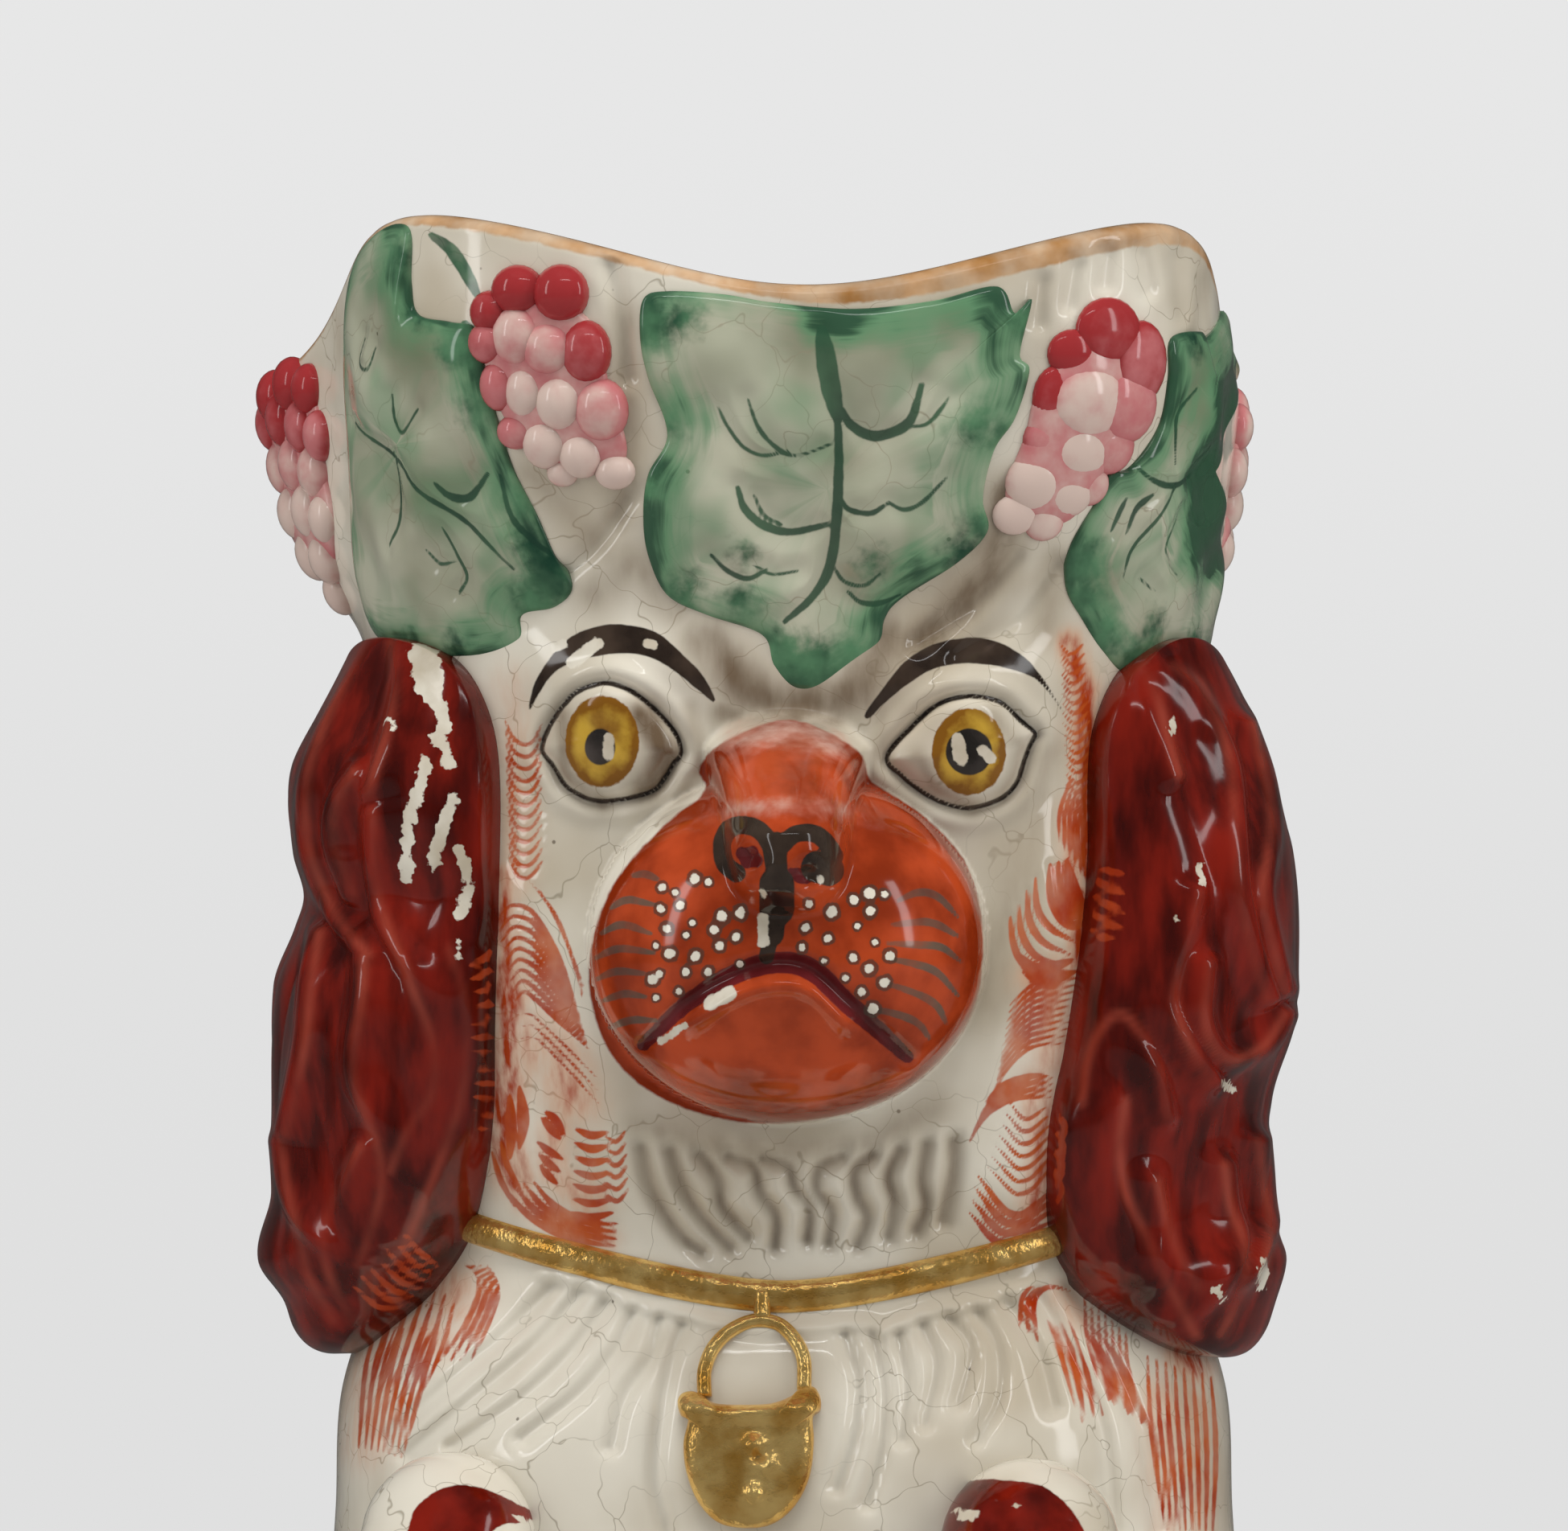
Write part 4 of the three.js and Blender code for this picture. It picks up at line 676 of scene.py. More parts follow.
# How coats of paint end and wear: softness, wobble, fullness at the edge and the like
FUR_COAT = {"wobble": 0.22, "thin": 0.25}
EAR_FUR_COAT = {"wobble": 0.5, "opacity": 0.85, "thin": 0.4}
MUZZLE_COAT = {"soft": 0.2, "wobble": 0.4, "edge": 2.2}
# The snout's worn orange and its painted highlight fade softly
WORN_AND_HIGHLIGHT_COAT = {"soft": 1.6, "wobble": 2.4, "opacity": 0.6}
LIP_COAT = {"soft": 0.25, "wobble": 0.7, "thin": 0.4}
CHIP_COAT = {"wobble": 0.9, "grain": 1.2}
CRAZE_CELL = 8.5
SPECK_CELL = 9
BRUSH_HAIRS = 11.0

# Stage in metres: a paper sweep, and lamps as place, width, height, power and whether the gloss mirrors them
STAGE = {"width": 6.0, "front": 2.5, "back": 1.6, "bend": 0.6, "height": 4.0, "rows": 60, "fade": 0.5}
LIGHTS = (
    ("left_softbox", (-0.95, -0.45, 0.5), 0.7, 0.9, 3.7, False),
    ("right_softbox", (0.95, -0.4, 0.48), 0.7, 0.9, 4.6, False),
    ("top_softbox", (0.0, -0.4, 1.05), 0.6, 0.4, 6.5, False),
    ("left_strip", (-0.8, -0.45, 0.5), 0.1, 0.6, 0.7, True),
    ("right_strip", (0.8, -0.4, 0.48), 0.1, 0.6, 0.7, True),
    ("ceiling_strip", (0.1, -0.75, 0.9), 0.6, 0.025, 0.5, True),
)
LIGHT_AIM = (0.0, 0.0, 0.18)
SKY = "#C2C3C3"
# The darker room that the gloss reflects
ROOM = "#6C6A68"
ROOM_SHARE = 0.35


def smoothstep(low, high, value):
    t = np.clip((value - low) / (high - low), 0, 1)
    return t * t * (3 - 2 * t)


def wrapped(angle):
    return np.arctan2(np.sin(angle), np.cos(angle))


def bell(angle, centre, spread, power=2):
    return np.exp(-(np.abs(wrapped(angle - math.radians(centre)) / math.radians(spread)) ** power))


def smooth_column(table, place, column):
    """Smooth curve through one column of a table, whose first column is the place along it."""
    rows = np.asarray(table)
    last = len(rows) - 1
    s = np.clip(place, rows[0, 0], rows[-1, 0])
    i = np.clip(np.searchsorted(rows[:, 0], s, side="right") - 1, 0, last - 1)
    before, after = rows[np.r_[0, 0:last]], rows[np.r_[1 : last + 1, last]]
    slopes = (after[:, column] - before[:, column]) / (after[:, 0] - before[:, 0])
    span = rows[i + 1, 0] - rows[i, 0]
    t = (s - rows[i, 0]) / span
    return (
        (2 * t**3 - 3 * t**2 + 1) * rows[i, column]
        + (t**3 - 2 * t**2 + t) * span * slopes[i]
        + (3 * t**2 - 2 * t**3) * rows[i + 1, column]
        + (t**3 - t**2) * span * slopes[i + 1]
    )


def falloff(distance, width):
    """A soft ridge: 1 on its line and gone at about twice its width."""
    return np.exp(-((distance / width) ** 2))


def rounded(t, power):
    """Share of a rise that rounds off towards the outline, where t is 1."""
    return math.sqrt(max(1 - t**power, 0))


def held(part, angles):
    """Share of a relief that is left at some angles."""
    none, all_of_it = (math.radians(turn) for turn in HOLDS[part])
    return smoothstep(none, all_of_it, np.abs(wrapped(angles)))


def station(share, column):
    return smooth_column(STATION_SHARES, share, column)


def wall_radius(angle, z):
    share = z / JUG_HEIGHT
    width = HALF_WIDTH * station(share, 1)
    depth = np.where(np.cos(angle) > 0, FRONT_DEPTH * station(share, 2), BACK_DEPTH * station(share, 3))
    n = station(share, 4)
    across = np.abs(np.sin(angle) / width) ** n
    along = np.abs(np.cos(angle) / depth) ** n
    grown = smoothstep(LOBES["from_share"], LOBES["to_share"], share)
    grown = grown + LOBES["lip_growth"] * smoothstep(LOBES["to_share"], LOBES["lip_share"], share)
    lobes = sum(rise * bell(angle, centre, LOBES["spread"]) for centre, rise in LOBE_SHARES)
    return (across + along) ** (-1 / n) + LOBES["rise"] * grown * lobes


def rim_height(angle):
    dips = sum(share * bell(angle, centre, spread, power) for centre, share, spread, power in RIM_DIP_SHARES)
    return JUG_HEIGHT + RIM["crest"] - RIM["dip"] * dips


def collar_height(angle):
    turn = np.abs(wrapped(angle)) / math.radians(COLLAR["climb_angle"])
    climb = 1 - np.exp(-(turn ** COLLAR["climb_power"]))
    return COLLAR["throat_share"] * JUG_HEIGHT + COLLAR["climb"] * climb


def on_wall(angle, z):
    angle, z = np.broadcast_arrays(np.asarray(angle, float), np.asarray(z, float))
    r = wall_radius(angle, z)
    return np.stack([r * np.sin(angle), -r * np.cos(angle), z], axis=-1)


def wall_normal(angle, z):
    turn = math.radians(1)
    rise = JUG_HEIGHT * turn
    low = np.minimum(z, JUG_HEIGHT - rise)
    along = on_wall(angle + turn, low) - on_wall(angle - turn, low)
    up = on_wall(angle, low + rise) - on_wall(angle, low - rise)
    normal = np.cross(along, up)
    return normal / np.linalg.norm(normal, axis=-1, keepdims=True)


def closed_outline(points, grid, sizes=(1.0, 1.0)):
    """Evenly spaced outline through points, scaled to half sizes."""
    line = curve_through(points, grid["steps"], closed=True) * np.array(sizes)
    return resampled(line, grid["sectors"], closed=True)


def raised(angle, z, lift, level=False):
    """Points lifted off the wall, square to it or level."""
    angle, z, lift = np.broadcast_arrays(*(np.asarray(value, float) for value in (angle, z, lift)))
    out = np.stack([np.sin(angle), -np.cos(angle), 0 * angle], axis=-1) if level else wall_normal(angle, z)
    return on_wall(angle, z) + out * lift[..., None]


def to_pixels(points):
    """Photograph pixels of points in millimetres."""
    scale = CAMERA["focal_px"] / (CAMERA["distance"] + points[..., 1])
    x = PHOTO["centre_x"] + points[..., 0] * scale
    y = PHOTO["centre_y"] - (points[..., 2] - CAMERA["height"]) * scale
    return np.stack([x, y], axis=-1)


def from_pixels(pixels):
    """Angles and heights of the wall at some pixels, or of its edge for pixels past the outline."""
    turns = np.radians(np.linspace(-90, 90, SEARCH["turns"]))
    found = []
    for across, down in np.asarray(pixels, float):
        y = -FRONT_DEPTH
        for _ in range(SEARCH["rounds"]):
            scale = (CAMERA["distance"] + y) / CAMERA["focal_px"]
            x = (across - PHOTO["centre_x"]) * scale
            z = CAMERA["height"] + (PHOTO["centre_y"] - down) * scale
            ring = on_wall(turns, z)
            first, last = ring[:, 0].argmin(), ring[:, 0].argmax() + 1
            angle = np.interp(x, ring[first:last, 0], turns[first:last])
            y = np.interp(angle, turns, ring[:, 1])
        found.append((angle, z))
    return np.array(found).T


def curve_through(points, steps=6, closed=False):
    """Catmull-Rom curve through points of any dimension."""
    p = np.asarray(points, float)
    p = np.vstack([p[-1:], p, p[:2]]) if closed else np.vstack([2 * p[:1] - p[1:2], p, 2 * p[-1:] - p[-2:-1]])
    t = np.linspace(0, 1, steps, endpoint=False)[:, None]
    spans = [
        0.5
        * (
            2 * p[i]
            + (p[i + 1] - p[i - 1]) * t
            + (2 * p[i - 1] - 5 * p[i] + 4 * p[i + 1] - p[i + 2]) * t**2
            + (3 * p[i] - p[i - 1] - 3 * p[i + 1] + p[i + 2]) * t**3
        )
        for i in range(1, len(p) - 2)
    ]
    line = np.vstack(spans)
    return line if closed else np.vstack([line, p[-2:-1]])


def resampled(points, count, closed=False):
    """The same line with evenly spaced points."""
    line = np.vstack([points, points[:1]]) if closed else np.asarray(points, float)
    lengths = np.r_[0, np.cumsum(np.linalg.norm(np.diff(line, axis=0), axis=1))]
    marks = np.linspace(0, lengths[-1], count, endpoint=not closed)
    return np.stack([np.interp(marks, lengths, line[:, k]) for k in range(line.shape[1])], axis=1)


def line_distance(places, line):
    """Distance from each place to a line, in the line's units, and how far along the line it falls."""
    best = np.full(len(places), np.inf)
    along = np.zeros(len(places))
    spans = len(line) - 1
    for i in range(spans):
        a, b = line[i], line[i + 1]
        step = b - a
        t = np.clip(((places - a) @ step) / max(step @ step, 1e-12), 0, 1)
        away = np.hypot(*(places - a - t[:, None] * step).T)
        nearer = away < best
        best = np.where(nearer, away, best)
        along = np.where(nearer, (i + t) / spans, along)
    return best, along


def stroke_field(places, strokes, unit=PX_PER_MM, taper=0.0):
    """Signed distance in millimetres, positive inside any of the strokes given as (points, half width)."""
    field = np.full(len(places), -FAR)
    for points, half_width in strokes:
        line = curve_through(points)
        margin = (FAR / 2 + half_width) * unit
        near = np.all((places > line.min(0) - margin) & (places < line.max(0) + margin), axis=1)
        if not near.any():
            continue
        away, along = line_distance(places[near], line)
        width = half_width * (1 - taper * (2 * along - 1) ** 2)
        field[near] = np.maximum(field[near], width - away / unit)
    return field


def patch_field(places, outline, unit=PX_PER_MM, steps=5):
    """Signed distance in millimetres, positive inside a closed outline."""
    line = curve_through(outline, steps, closed=True)
    field = np.full(len(places), -FAR)
    margin = FAR * unit
    near = np.all((places > line.min(0) - margin) & (places < line.max(0) + margin), axis=1)
    p = places[near]
    ring = np.vstack([line, line[:1]])
    away, _ = line_distance(p, ring)
    inside = np.zeros(len(p), bool)
    for a, b in zip(ring[:-1], ring[1:]):
        crosses = (a[1] > p[:, 1]) != (b[1] > p[:, 1])
        with np.errstate(divide="ignore", invalid="ignore"):
            at = a[0] + (p[:, 1] - a[1]) * (b[0] - a[0]) / (b[1] - a[1])
        inside ^= crosses & (p[:, 0] < at)
    field[near] = np.clip(np.where(inside, away, -away) / unit, -FAR, FAR)
    return field


def dot_distance(places, dots, vary=0.0):
    """Distance in millimetres to the nearest dot, more or less for each by a share that varies."""
    swells = [1 + vary * math.sin(i * i) for i in range(len(dots))]
    away = [np.hypot(*(places - np.array(dot, float)).T) * swell for dot, swell in zip(dots, swells)]
    return np.min(away, axis=0) / PX_PER_MM


def oval_field(places, ovals):
    """Signed distance in millimetres, positive inside any of the ovals."""
    fields = []
    for x, y, half_width, half_height in ovals:
        share = np.hypot((places[:, 0] - x) / half_width, (places[:, 1] - y) / half_height)
        fields.append((1 - share) * min(half_width, half_height) / PX_PER_MM)
    return np.clip(np.max(fields, axis=0), -FAR, FAR)


def fan_lines(fans):
    """The lines of each fan, as (points, half width), from its first line to its last."""
    lines = []
    for first, last, count, half_width in fans:
        a, b = (resampled(curve_through(line), FAN_POINTS) for line in (first, last))
        lines += [(a + (b - a) * k / (count - 1), half_width) for k in range(count)]
    return lines


def haze_field(places, hazes):
    """Weight of a soft wash, from 0 to 1."""
    field = np.zeros(len(places))
    for points, half_width, strength in hazes:
        away, _ = line_distance(places, np.asarray(points, float))
        field = np.maximum(field, strength * falloff(away / PX_PER_MM, half_width))
    return field


def groove(places, lines, depth, width):
    """Depth of soft grooves along lines given in pixels."""
    field = stroke_field(places, [(line, 0.0) for line in lines])
    return -depth * falloff(field, width)


def mound(x, z, dome):
    cx, cz, half_width, half_height, rise = dome
    return rise * np.exp(-(((x - cx) / half_width) ** 2) - ((z - cz) / half_height) ** 2)


def face_surface(points):
    """The front wall with the face pushed out of it along -Y."""
    x, y, z = points[:, 0], points[:, 1], points[:, 2]
    pixels = to_pixels(points)
    soft = sum(mound(x, z, dome) for dome in (*BROW_DOMES, *CHEEK_DOMES, CHIN_DOME))
    for eye in (LEFT_EYE, RIGHT_EYE):
        inside = patch_field(pixels, eye)
        dome = np.sqrt(1 - (1 - np.clip(inside / EYE_DOME["reach"], 0, 1)) ** 2)
        soft += sized("eye") * dome - EYE_DOME["crease"] * falloff(inside, EYE_DOME["crease_width"])
        soft += LID["rise"] * falloff(inside + LID["offset"], LID["width"])
    soft += groove(pixels, [line for line, _ in fan_lines(FUR_FANS)], **FUR_RELIEF)
    soft += groove(pixels, CURLS, **CURL_RELIEF)
    soft += groove(pixels, HAT_FOLDS, **HAT_FOLD_RELIEF)
    wall = y - soft
    aside, above = (x - MUZZLE["x"]) / MUZZLE["half_width"], (z - MUZZLE["z"]) / MUZZLE["half_height"]
    bulge = 1 - aside**2 - above**2
    muzzle = np.where(bulge > 0, MUZZLE["y"] - sized("muzzle") * np.sqrt(np.maximum(bulge, 0)), 0)
    profile = np.array(SNOUT_PROFILE)[::-1]
    nose = np.interp(z, profile[:, 0], profile[:, 1], left=0, right=0)
    half = np.interp(z, *np.array(SNOUT_HALF_WIDTHS).T)
    across = np.clip(np.abs(x - SNOUT["x"]) / half, 0, 1)
    base = SNOUT["base"]
    block = base + (nose - base) * (1 - across ** SNOUT["squareness"]) ** 0.5
    snout = np.where((nose < base) & (across < 1), block, 0)
    k = SNOUT["blend"]
    parts = (np.maximum(wall, SNOUT["deepest"]), muzzle, snout)
    return -k * np.log(sum(np.exp(-part / k) for part in parts))


def head_relief(points, angles):
    """Moves the head's front points and returns them."""
    hold = held("face", angles)
    moved = points.copy()
    moved[:, 1] += (face_surface(points) - points[:, 1]) * hold
    pixels = to_pixels(moved)
    lip = [(x, y + MOUTH_RELIEF["lip_drop"]) for x, y in MOUTH_LINE[1:-2]]
    push = groove(pixels, [MOUTH_LINE], MOUTH_RELIEF["depth"], MOUTH_RELIEF["width"])
    push -= groove(pixels, [lip], MOUTH_RELIEF["lip"], MOUTH_RELIEF["lip_width"])
    push -= NOSTRIL_RELIEF["depth"] * falloff(dot_distance(pixels, NOSTRILS), NOSTRIL_RELIEF["width"])
    moved[:, 1] -= push * hold
    return moved


def body_relief(points, angles):
    """Moves the chest's points and returns them."""
    pixels = to_pixels(points)
    push = groove(pixels, CHEST_GROOVES, depth=sized("chest"), width=CHEST_GROOVE_WIDTH)
    push -= groove(pixels, [CHEST_LEDGE], **CHEST_LEDGE_RELIEF)
    push += groove(pixels, [line for line, _ in fan_lines(SHOULDER_FANS)], **FUR_RELIEF)
    moved = points.copy()
    moved[:, 1] -= push * held("chest", angles)
    return moved


def back_relief(points, angles):
    """Shallow wavy fur over the back."""
    z, hat = points[:, 2], HAT_FOOT_SHARE * JUG_HEIGHT
    wander = BACK_FUR["wander"] * np.sin(2 * np.pi * z / BACK_FUR["pitch"])
    waves = np.cos(BACK_FUR["waves"] * (angles + wander))
    fade = smoothstep(0, BACK_FUR["foot_fade"], z) * smoothstep(hat, hat - BACK_FUR["hat_fade"], z)
    hold = held("back", angles)
    push = BACK_FUR["depth"] * np.abs(waves) ** BACK_FUR["power"] * hold * fade
    out = points * np.array([1, 1, 0])
    out /= np.linalg.norm(out, axis=1, keepdims=True)
    return points + out * (push - BACK_FUR["depth"] * hold * fade)[:, None]


def head_paint(points):
    """Signed distances of the painting at the head's points."""
    pixels = to_pixels(points)
    eyes = [patch_field(pixels, eye) for eye in (LEFT_EYE, RIGHT_EYE)]
    lines = np.maximum(EYE_LINE - np.abs(eyes[0]), EYE_LINE - np.abs(eyes[1]))
    brows = np.maximum(patch_field(pixels, LEFT_BROW), patch_field(pixels, RIGHT_BROW))
    marks = stroke_field(pixels, NOSE_MARKS)
    chips = stroke_field(pixels, (*BROW_CHIPS, *MOUTH_CHIPS, *NOSE_CHIPS, *PUPIL_CHIPS))
    # Painted shade, with pooled glaze, along the curls' grooves
    curl_pool_and_shade = -groove(pixels, CURLS, 1.0, CURL_POOL_AND_SHADE["width"])
    return {
        "paint_orange": patch_field(pixels, MUZZLE_PATCH) + MUZZLE_SPILL,
        "paint_fur": stroke_field(pixels, fan_lines(FUR_FANS), taper=0.7),
        "paint_haze": haze_field(pixels, CHEEK_HAZE),
        # Painted shade and pooled glaze, from the pools and the curls' grooves
        "paint_pool": np.maximum(haze_field(pixels, GLAZE_POOLS_AND_SHADE), CURL_POOL_AND_SHADE["strength"] * curl_pool_and_shade),
        "paint_brown": np.maximum.reduce([lines, brows, marks]),
        "paint_whisker": stroke_field(pixels, [(line, WHISKER_HALF_WIDTH) for line in WHISKERS], taper=0.5),
        # Worn orange and a painted highlight on the snout
        "paint_worn": stroke_field(pixels, WORN_SNOUT_AND_HIGHLIGHT),
        "paint_green": stroke_field(pixels, GREEN_STROKES, taper=0.6),
        # The mouth's red, and painted shade of that red in the nostrils
        "paint_mouth": stroke_field(pixels, [(MOUTH_LINE, MOUTH_HALF_WIDTH), *NOSTRIL_SHADE_MARKS], taper=0.4),
        "paint_iris": oval_field(pixels, IRISES),
        "paint_pupil": oval_field(pixels, PUPILS),
        "paint_chip": chips,
        "paint_dot": dot_distance(pixels, DOTS, DOT["vary"]),
        **rim_paint(points),
    }


def body_paint(points):
    pixels = to_pixels(points)
    return {
        "paint_fur": stroke_field(pixels, fan_lines(SHOULDER_FANS), taper=0.6),
        "paint_haze": haze_field(pixels, SHOULDER_HAZE),
    }


def rim_paint(points):
    """Height above the lower edge of the rim's painted band."""
    angles = np.arctan2(points[:, 0], -points[:, 1])
    edge = rim_height(angles) - np.interp(np.degrees(angles), *np.array(RIM_BAND).T)
    return {"paint_lip": points[:, 2] - edge}


# What a mark holds where nothing is painted, when that isn't -FAR
UNPAINTED = {"paint_haze": 0.0, "paint_pool": 0.0, "paint_dot": FAR}


def linear(hex_colour):
    """Linear values of an sRGB hex colour."""
    values = [int(hex_colour[i : i + 2], 16) / 255 for i in (1, 3, 5)]
    return (*[v / 12.92 if v <= 0.04045 else ((v + 0.055) / 1.055) ** 2.4 for v in values], 1.0)


def tint(label, hex_colour, meaning):
    settings = {"subtype": "COLOR", "size": 4, "min": 0, "max": 1, "default": linear(hex_colour)}
    return bpy.props.FloatVectorProperty(name=label, description=meaning, **settings)


def length(label, millimetres, meaning):
    size = millimetres * MM
    return bpy.props.FloatProperty(name=label, description=meaning, unit="LENGTH", min=0, default=size)


class SpanielSizes(bpy.types.PropertyGroup):
    """Sizes that a maker may change without moving a piece off its place."""

    wall: length("Wall", 4.6, "Thickness of the pressed wall")
    muzzle: length("Muzzle", 20.0, "How far the muzzle stands out of the face")
    eye: length("Eyes", 3.4, "Rise of the eyeballs between their lids")
    locks: length("Locks", 2.0, "Depth between the wavy locks of the ears")
    chest: length("Chest fur", 1.2, "Depth of the moulded fur on the chest")
    leaf: length("Leaves", 1.5, "Rise of the vine leaves off the hat")
    collar: length("Collar", 1.5, "Rise of the collar band off the neck")
    padlock: length("Padlock", 2.6, "Rise of the padlock off the chest")
    handle_width: length("Handle width", 7.8, "Half of the handle's width")
    handle_thickness: length("Handle thickness", 5.4, "Half of the handle's thickness")


class SpanielGlazes(bpy.types.PropertyGroup):
    """Glaze and paint colours, each as a light and a dark coat."""

    glaze_light: tint("Glaze, thin", "#D9D2C2", "Clear glaze over the pale body")
    glaze_dark: tint("Glaze, pooled", "#B9AD98", "Glaze where it lies thicker and has aged")
    craze: tint("Crazing", "#8E8470", "Fine cracks of the glaze")
    speck: tint("Specks", "#4A3A2C", "Iron specks in the body")
    orange_light: tint("Muzzle, thin", "#B64620", "Thin orange paint of the muzzle")
    orange_dark: tint("Muzzle, full", "#80290B", "Full orange paint of the muzzle")
    fur_light: tint("Fur stroke, thin", "#BC5822", "Thin end of a painted fur stroke")
    fur_dark: tint("Fur stroke, full", "#9C2C0A", "Full end of a painted fur stroke")
    haze_light: tint("Fur wash, thin", "#CB8A62", "Thin wash between the fur strokes")
    haze_dark: tint("Fur wash, full", "#A23A16", "Full wash between the fur strokes")
    # The mouth's red, also painted into the nostrils as shade
    mouth_light: tint("Mouth, thin", "#6A2326", "Thin paint of the mouth")
    mouth_dark: tint("Mouth, full", "#43100F", "Full paint of the mouth")
    brown_light: tint("Brown line, thin", "#43362C", "Thin brown of brows, lids and nose")
    brown_dark: tint("Brown line, full", "#1C1410", "Full brown of brows, lids and nose")
    whisker_light: tint("Whisker, thin", "#6A5546", "Thin end of a whisker")
    whisker_dark: tint("Whisker, full", "#4A3C34", "Full end of a whisker")
    iris_light: tint("Iris, thin", "#C09A38", "Thin ochre of the iris")
    iris_dark: tint("Iris, full", "#7E5216", "Full ochre of the iris")
    pupil_light: tint("Pupil, worn", "#4A423E", "Worn black of the pupil")
    pupil_dark: tint("Pupil, full", "#1B1815", "Full black of the pupil")
    lip_light: tint("Rim band, worn", "#CFA880", "Worn ochre band on the rim")
    lip_dark: tint("Rim band, full", "#9A6A34", "Full ochre band on the rim")
    red_light: tint("Ear red, thin", "#7C190C", "Thin iron red of the ears")
    red_dark: tint("Ear red, full", "#360502", "Full iron red of the ears")
    # Lighter red on the crests: worn enamel, and painted highlight along the ears' traced crests
    crest: tint("Worn crest", "#943C2C", "Red worn thin along the crests of the locks")
    # Painted shade, in the brown of pooled and aged glaze, for the hollows and shaded places
    pool_light: tint("Glaze, thick", "#94856F", "Thick glaze about the hollows")
    pool: tint("Glaze, aged", "#6A5844", "Brown glaze in the hollows")
    leaf_pale: tint("Leaf, bare", "#BAB8A3", "Middle of a leaf, hardly painted")
    leaf_dull: tint("Leaf, pooled", "#737059", "Hollows of a leaf, where the glaze pooled")
    leaf_green: tint("Leaf, thin", "#5A8762", "Thin green round a leaf")
    leaf_dark: tint("Leaf, full", "#17392A", "Green where the brush was loaded")
    vein: tint("Vein", "#34583F", "Painted vein")
    berry_pale: tint("Grape, bare", "#CFB8AC", "Grape left nearly bare")
    berry_pink: tint("Grape, thin", "#BC6F70", "Thin pink of a grape")
    berry_crimson: tint("Grape, full", "#982E30", "Full crimson of a grape")
    gold_light: tint("Gilding, burnished", "#FFD988", "Burnished gold")
    gold_dark: tint("Gilding, dull", "#D09C46", "Dull and thin gold")


class SpanielStudio(bpy.types.PropertyGroup):
    """Light and backdrop of the stage."""

    light: bpy.props.FloatProperty(
        name="Light", description="Share of every lamp's power", min=0, default=1.0
    )
    sky: bpy.props.FloatProperty(name="Sky", description="Strength of the even light", min=0, default=0.38)
    backdrop_high: tint("Backdrop", "#E7E7E7", "Backdrop above the jug")
    # The floor is a little darker than the backdrop: painted shade
    backdrop_low: tint("Floor", "#E0E0E0", "Floor at the jug's foot")


def sized(name):
    """A size in millimetres."""
    return getattr(bpy.context.scene.spaniel_sizes, name) / MM


def glaze(name):
    return tuple(getattr(bpy.context.scene.spaniel_glazes, name))


def moulded(name, bm, places, attributes, material):
    """A closed piece from a bmesh whose points go to places: seams are welded and open ends filled."""
    mesh = bpy.data.meshes.new(name)
    bm.to_mesh(mesh)
    mesh.vertices.foreach_set("co", (places * MM).astype(np.float32).ravel())
    for key, values in attributes.items():
        marks = mesh.attributes.new(key, "FLOAT", "POINT")
        marks.data.foreach_set("value", values.astype(np.float32).ravel())
    bm.clear()
    bm.from_mesh(mesh)
    bmesh.ops.remove_doubles(bm, verts=bm.verts, dist=WELD * MM)
    open_edges = [edge for edge in bm.edges if edge.is_boundary]
    filled = bmesh.ops.holes_fill(bm, edges=open_edges, sides=0)["faces"] if open_edges else []
    bmesh.ops.recalc_face_normals(bm, faces=bm.faces)
    for face in bm.faces:
        face.smooth = True
    for face in filled:
        face.smooth = False
        for edge in face.edges:
            edge.smooth = False
    bmesh.ops.triangulate(bm, faces=filled)
    bm.to_mesh(mesh)
    bm.free()
    mesh.materials.append(material)
    piece = bpy.data.objects.new(name, mesh)
    bpy.context.scene.collection.objects.link(piece)
    return piece


def sheet(name, rows, attributes, material):
    """A piece rolled up from a flat grid: rows of points that meet along their seams."""
    bm = bmesh.new()
    bmesh.ops.create_grid(bm, x_segments=rows.shape[1] - 1, y_segments=rows.shape[0] - 1, size=1)
    return moulded(name, bm, rows.reshape(-1, 3), attributes, material)


def ball(name, axes, centre, paint, material, columns, floor=None):
    """A pressed ball: axes are three vectors as rows, each as long as the ball's half size along it."""
    bm = bmesh.new()
    bmesh.ops.create_uvsphere(bm, u_segments=columns, v_segments=round(columns * BALL_ROWS_SHARE), radius=1)
    unit = np.array([vert.co for vert in bm.verts])
    places = np.asarray(centre) + unit @ np.asarray(axes)
    if floor is not None:
        places[:, 2] = np.maximum(places[:, 2], floor)
    return moulded(name, bm, places, paint(unit, places), material)


def luted(name, pieces):
    """One object out of several closed ones."""
    first = pieces[0]
    with bpy.context.temp_override(active_object=first, selected_editable_objects=pieces, object=first):
        bpy.ops.object.join()
    first.name = name
    first.data.name = name
    return first


def finish_piece(piece, slot, *nodes):
    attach(piece, BODY)
    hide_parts(*nodes)


def spaced(stops):
    """Values from stops of (value, count to the next stop)."""
    parts = [np.linspace(a, b, count, endpoint=False) for (a, count), (b, _) in zip(stops[:-1], stops[1:])]
    return np.concatenate([*parts, [stops[-1][0]]])


